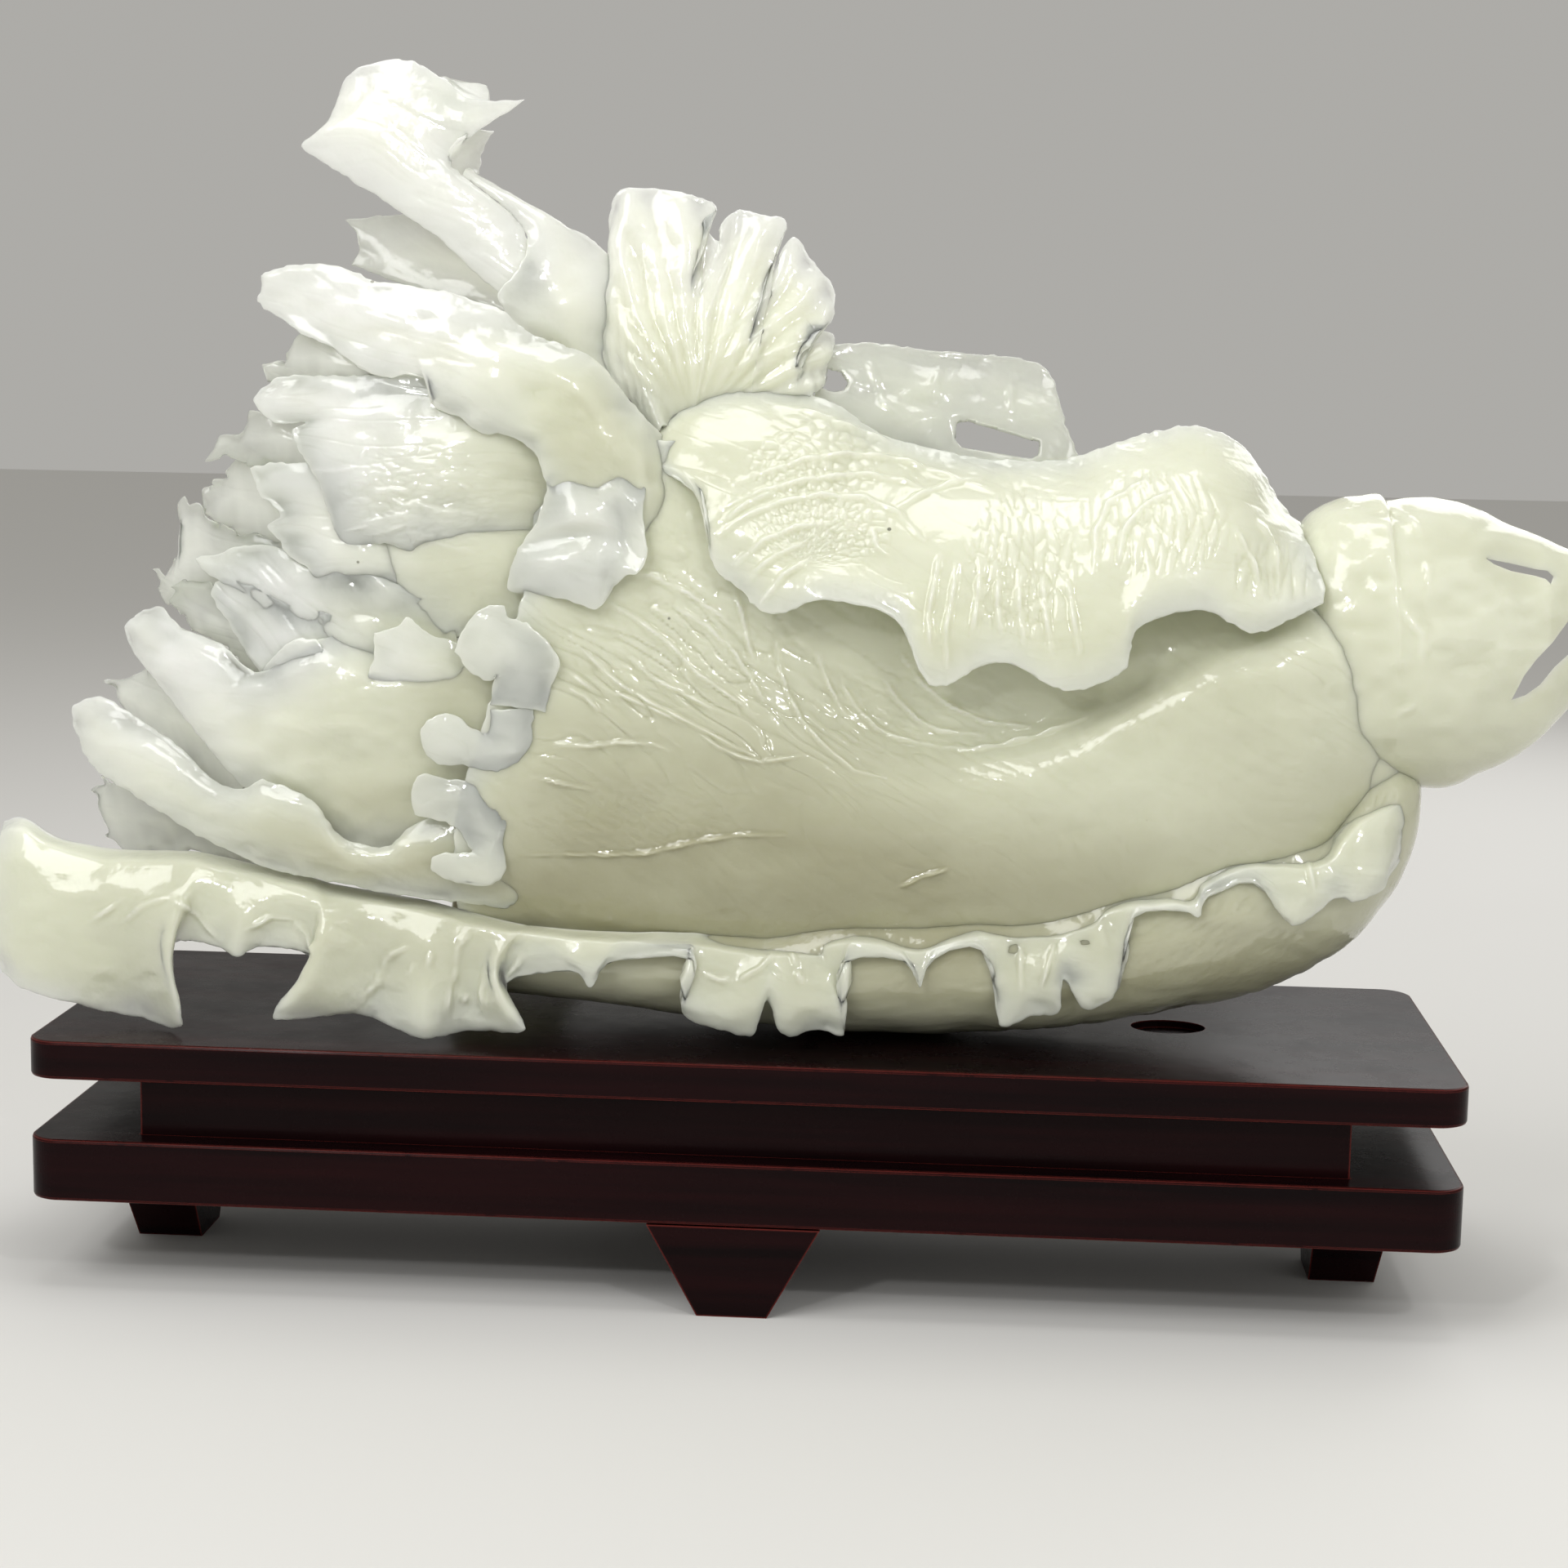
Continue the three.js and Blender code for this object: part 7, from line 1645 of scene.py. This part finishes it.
@dataclass
class Carving:
    """The cabbage: its heart, rib, underside, root crown, leaves and curled ends."""

    view: Viewpoint
    finish: JadeFinish
    far_shrink: float = 0.05
    far_lower: float = 0.1
    lift: float = 0.0
    jade: bpy.types.Material | None = None

    def build(self) -> None:
        """Make every piece of the stone and settle it on the board."""
        self.jade = self.finish.build()
        self.lift = self._settle()
        for stem in self._stems():
            self._keep(stem.build(self.view, self.lift))
        for leaf in self._leaves() + self._fringe() + self._curls():
            self._keep(leaf.build(self.view, self.lift))
        for leaf in self._far_leaves():
            self._keep(self._mirror(leaf.build(self.view, 0.0)))

    def _settle(self) -> float:
        """Bring the underside's lowest point onto the board.

        Returns:
            Metres to lift the stone.
        """
        stations = catmull(np.array(UNDERSIDE_SHARES, float),
                           np.linspace(0, len(UNDERSIDE_SHARES) - 1, SETTLE_READINGS))
        low = self.view.points(stations[:, [0, 2, 3]])[:, 2].min()
        return float(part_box("jade_cabbage")[0][2]) - float(low)

    def _keep(self, piece: bpy.types.Object) -> None:
        """Give a piece its jade and tie it to the carving.

        Args:
            piece: finished object, at the origin.
        """
        piece.data.materials.append(self.jade)
        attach(piece, "carving")
        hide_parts("jade_cabbage")
        LOG.info("%s: %d faces", piece.name, len(piece.data.polygons))

    def _stems(self) -> list[Stem]:
        """List the solid parts that the leaves grow from.

        Returns:
            The parts, not yet built.
        """
        return [
            Stem("heart", HEART_SHARES, 90, 40),
            Stem("rib", RIB_SHARES, 90, 40),
            Stem("underside", UNDERSIDE_SHARES, 240, 120,
                 relief=Relief(waves=0.5, flow_turn=-4.0, flow_height=0.5, seed=62)),
            Stem("crown", CROWN_SHARES, 260, 240, 0.05,
                 Relief(CROWN_VEINS, 5.0, 1.0, waves=0.9, flow_height=0.0, seed=21),
                 [ROOT_SLIT_PIXELS, ROOT_EYE_PIXELS]),
        ]

    def _leaves(self) -> list[Leaf]:
        """List the leaves on the near side.

        Returns:
            The leaves, not yet built.
        """
        shell = Relief(SHELL_VEINS, 2.2, 0.6, [(520, 610, 110, 70)], (22, 8), 3.0, 0.35,
                       waves=0.6, flow_turn=2.0, flow_height=0.14, seed=6)
        # Tones given here add painted light (below 0) and painted shade (above 0).
        return [
            Leaf("front_leaf", FRONT_LEAF_SHARES, LeafKind.BLADE, 385, 217,
                 Relief(FRONT_VEINS, 2.3, 1.8, FRONT_PEBBLES, (34, 10), 30.0, 0.4,
                        flow_turn=34.0, flow_height=0.16, flow_area=(850, 830, 200, 120, 0.8),
                        seed=2),
                 back_step=4, sink=0.03, sink_px=60),
            Leaf("curled_leaf", CURLED_LEAF_SHARES, LeafKind.BLADE, 401, 205,
                 Relief(CURLED_VEINS, 3.2, 1.6, CURLED_PEBBLES, (20, 13), 0.0, 0.75,
                        swirl=SWIRL_PIXEL, flow_height=0.1, seed=4),
                 back_step=4),
            Leaf("fin_leaf", FIN_LEAF_SHARES, LeafKind.FIN, 121, 61,
                 Relief(FIN_VEINS, 5.0, 0.9, waves=0.8, seed=8),
                 [FIN_HOLE_PIXELS, FIN_EYE_PIXELS]),
            Leaf("fan_leaf", FAN_LEAF_SHARES, LeafKind.SHELL, 125, 105,
                 Relief(FAN_VEINS, 2.6, 0.6, waves=0.5, flow_turn=75.0, flow_height=0.15,
                        ribs=(*FAN_ROOT_PIXEL, 34, 0.5), seed=9),
                 free=(True, True, False, True)),
            Leaf("tall_leaf", TALL_LEAF_SHARES, LeafKind.SHELL, 133, 65,
                 Relief(TALL_VEINS, 5.0, 1.0, [(690, 320, 60, 60)], (14, 12), 0.0, 0.7, seed=10),
                 back_step=4),
            Leaf("tall_side", TALL_SIDE_SHARES, LeafKind.SHELL, 61, 37, Relief(seed=11)),
            Leaf("tall_cup", TALL_CUP_SHARES, LeafKind.SHELL, 41, 37, Relief(seed=12)),
            Leaf("tall_back", TALL_BACK_SHARES, LeafKind.FRINGE, 33, 33, Relief(seed=13)),
            Leaf("behind_leaf", BEHIND_LEAF_SHARES, LeafKind.FRINGE, 49, 49, Relief(seed=14)),
            Leaf("upper_left", UPPER_LEFT_SHARES, LeafKind.SHELL, 169, 77,
                 Relief(waves=0.7, seed=15), back_step=4, sink=0.09, sink_px=80),
            Leaf("shell_front", SHELL_FRONT_SHARES, LeafKind.SHELL, 157, 157, shell,
                 back_step=4),
            Leaf("shell_body", SHELL_BODY_SHARES, LeafKind.SHELL, 129, 117, shell, back_step=4),
            Leaf("shell_low", SHELL_LOW_SHARES, LeafKind.SHELL, 109, 101, shell,
                 back_step=4, sink=0.02),
            Leaf("inner_one", INNER_ONE_SHARES, LeafKind.SHELL, 89, 57,
                 Relief(waves=0.6, flow_turn=45.0, flow_height=0.25, seed=35)),
            Leaf("inner_two", INNER_TWO_SHARES, LeafKind.SHELL, 89, 57,
                 Relief(waves=0.6, flow_turn=50.0, flow_height=0.25, seed=36)),
            Leaf("lower_left", LOWER_LEFT_SHARES, LeafKind.SHELL, 133, 93,
                 Relief(waves=0.8, seed=16), back_step=4),
            Leaf("lower_lobe", LOWER_LOBE_SHARES, LeafKind.SHELL, 69, 37, Relief(seed=17),
                 free=(False, True, False, True), sink=0.03, sink_px=60, light_and_shade_tone=-0.6),
            Leaf("mid_lobe", MID_LOBE_SHARES, LeafKind.SHELL, 61, 49, Relief(seed=24),
                 free=(False, True, True, False), sink=0.012, light_and_shade_tone=-0.6),
            Leaf("long_leaf", LONG_LEAF_SHARES, LeafKind.SHELL, 201, 61,
                 Relief(waves=0.6, seed=18), back_step=4),
            Leaf("skirt_leaf", SKIRT_LEAF_SHARES, LeafKind.SKIRT, 589, 57,
                 Relief(SKIRT_VEINS, 3.0, 1.6, waves=0.7, seed=19), back_step=4,
                 free=(True, True, False, True), sink=0.05, sink_px=16, light_and_shade_tone=0.45),
            Leaf("skirt_tip", SKIRT_TIP_SHARES, LeafKind.FRINGE, 37, 33, Relief(seed=20)),
        ]

    def _fringe(self) -> list[Leaf]:
        """List the thin pointed leaves behind the shell's ragged left side.

        Returns:
            The leaves, not yet built.
        """
        tables = {
            "fringe_one": FRINGE_ONE_SHARES, "fringe_two": FRINGE_TWO_SHARES,
            "fringe_three": FRINGE_THREE_SHARES, "fringe_four": FRINGE_FOUR_SHARES,
            "fringe_five": FRINGE_FIVE_SHARES, "lower_behind": LOWER_BEHIND_SHARES,
            "long_behind": LONG_BEHIND_SHARES,
        }
        return [Leaf(name, net, LeafKind.FRINGE, 121, 65, Relief(waves=0.7, seed=30 + i),
                     ragged=7.0, ragged_px=11.0)
                for i, (name, net) in enumerate(tables.items())]

    def _curls(self) -> list[Leaf]:
        """List the curled ends of the front leaf's left margin.

        Returns:
            The leaves, not yet built.
        """
        tables = [LEAF_CURL_ONE_SHARES, LEAF_CURL_TWO_SHARES, LEAF_CURL_THREE_SHARES,
                  LEAF_CURL_FOUR_SHARES]
        # The curls get painted light through their tone.
        return [Leaf(f"leaf_curl_{i + 1}", net, LeafKind.CURL, 73, 45, Relief(seed=40 + i),
                     free=(i > 0, True, True, True), light_and_shade_tone=-0.6)
                for i, net in enumerate(tables)]

    def _far_leaves(self) -> list[Leaf]:
        """List the same leaves for the far side, read more coarsely.

        Returns:
            The leaves, not yet built or mirrored.
        """
        pebbled = Relief(FRONT_VEINS, 3.4, 0.9, FRONT_PEBBLES, (26, 12), 28.0, 0.4, seed=52)
        return [
            Leaf("far_front_leaf", FRONT_LEAF_SHARES, LeafKind.BLADE, 217, 121, pebbled,
                 back_step=4),
            Leaf("far_curled_leaf", CURLED_LEAF_SHARES, LeafKind.BLADE, 217, 97,
                 Relief(CURLED_VEINS, 3.2, 1.1, CURLED_PEBBLES, (15, 13), 0.0, 0.6,
                        swirl=SWIRL_PIXEL, seed=53), back_step=4),
            Leaf("far_upper_left", UPPER_LEFT_SHARES, LeafKind.SHELL, 121, 57, Relief(seed=54)),
            Leaf("far_shell", SHELL_BODY_SHARES, LeafKind.SHELL, 97, 81, Relief(seed=55)),
            Leaf("far_lower_left", LOWER_LEFT_SHARES, LeafKind.SHELL, 97, 61, Relief(seed=56)),
            Leaf("far_long_leaf", LONG_LEAF_SHARES, LeafKind.SHELL, 137, 41, Relief(seed=57)),
            Leaf("far_skirt", SKIRT_LEAF_SHARES[FAR_SKIRT_START:], LeafKind.SHELL, 397, 37,
                 Relief(seed=58)),
        ]

    def _mirror(self, piece: bpy.types.Object) -> bpy.types.Object:
        """Turn a near leaf into its far-side counterpart.

        Args:
            piece: near leaf, not yet lifted onto the board.

        Returns:
            The same object, mirrored through the stone's middle plane.
        """
        board = float(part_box("top_board")[1][2])
        middle = float(self.view.origin()[1]) + (self.view.stone_front
                                                 + self.view.stone_depth / 2) * MM
        centre = float(self.view.origin()[0])
        settle = Matrix.Translation((centre, middle, board + self.lift))
        scale = Matrix.Diagonal((1 - self.far_shrink, -1, 1 - self.far_lower, 1))
        piece.data.transform(settle @ scale @ Matrix.Translation((-centre, -middle, -board)))
        piece.data.flip_normals()
        return piece


@dataclass
class Stand:
    """The two-tier lacquered stand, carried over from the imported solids."""

    finish: LacquerFinish

    def build(self) -> None:
        """Lacquer every board, rail and foot."""
        lacquer = self.finish.build()
        for name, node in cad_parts.items():
            if name == "jade_cabbage":
                continue
            if not node.material_slots:
                node.data.materials.append(lacquer)
            for place in node.material_slots:
                place.material = lacquer
            LOG.info("%s: lacquered", name)


@dataclass(frozen=True)
class Lamp:
    """One square area lamp: its place and side in metres, and its power in watts."""

    name: str
    place: tuple[float, float, float]
    side: float
    power: float


STUDIO_LAMPS = (
    Lamp("key", (-0.75, -0.95, 1.3), 0.8, 8.6),
    Lamp("fill", (1.1, -1.1, 0.8), 1.4, 3.6),
    Lamp("overhead", (0.0, 0.0, 1.5), 0.7, 5.0),
    Lamp("rim", (0.6, 1.2, 0.9), 0.9, 5.0),
    Lamp("spark_left", (-0.45, -1.1, 0.75), 0.07, 1.9),
    Lamp("spark_right", (0.5, -1.0, 1.0), 0.07, 1.8),
)
SENSOR_MM = 36.0


@dataclass
class Studio:
    """Plain pale floor, soft lamps and a camera at the photograph's angle."""

    view: Viewpoint
    floor: str = "#E2E1DE"
    floor_side: float = 12.0
    floor_roughness: float = 0.9
    air: str = "#DDDBD6"
    air_strength: float = 0.58
    lamp_target: tuple[float, float, float] = (0.0, 0.0, 0.2)

    def build(self) -> None:
        """Set up the floor, lamps, world and camera."""
        self._floor()
        for lamp in STUDIO_LAMPS:
            self._hang(lamp)
        self._world()
        self._camera()
        bpy.context.scene.view_settings.view_transform = "Standard"

    def _floor(self) -> None:
        """Lay a wide matt floor under the feet."""
        bpy.ops.object.select_all(action="DESELECT")
        bpy.ops.mesh.primitive_plane_add(size=self.floor_side, location=(0, 0, CAD_BOX[0][2]))
        floor = bpy.context.object
        floor.name = "studio_floor"
        material = bpy.data.materials.new("studio_paper")
        material.use_nodes = True
        shader = material.node_tree.nodes["Principled BSDF"]
        shader.inputs["Base Color"].default_value = srgb(self.floor)
        shader.inputs["Roughness"].default_value = self.floor_roughness
        floor.data.materials.append(material)

    def _hang(self, lamp: Lamp) -> None:
        """Hang one area lamp aimed at the carving.

        Args:
            lamp: where it hangs, its side and its power.
        """
        light = bpy.data.lights.new(lamp.name, "AREA")
        light.size, light.energy = lamp.side, lamp.power
        holder = bpy.data.objects.new(lamp.name, light)
        holder.location = lamp.place
        aim = Vector(self.lamp_target) - Vector(lamp.place)
        holder.rotation_euler = aim.to_track_quat("-Z", "Y").to_euler()
        bpy.context.scene.collection.objects.link(holder)

    def _world(self) -> None:
        """Fill the surroundings with pale grey."""
        world = bpy.data.worlds.new("studio_air")
        world.use_nodes = True
        air = world.node_tree.nodes["Background"]
        air.inputs["Color"].default_value = srgb(self.air)
        air.inputs["Strength"].default_value = self.air_strength
        bpy.context.scene.world = world

    def _camera(self) -> None:
        """Place the camera at the photograph's viewpoint."""
        lens = bpy.data.cameras.new("camera")
        lens.sensor_width = SENSOR_MM
        lens.lens = SENSOR_MM * self.view.focal_px / FRAME_PX
        holder = bpy.data.objects.new("camera", lens)
        forward, across, up = self.view.axes()
        turn = Matrix((across, up, -forward)).transposed()
        holder.matrix_world = Matrix.Translation(self.view.eye()) @ turn.to_4x4()
        bpy.context.scene.collection.objects.link(holder)
        bpy.context.scene.camera = holder


def main() -> None:
    """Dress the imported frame."""
    logging.basicConfig(level=logging.INFO, format="%(message)s")
    view = Viewpoint()
    Carving(view, JadeFinish()).build()
    Stand(LacquerFinish()).build()
    Studio(view).build()


if __name__ == "__main__":
    main()
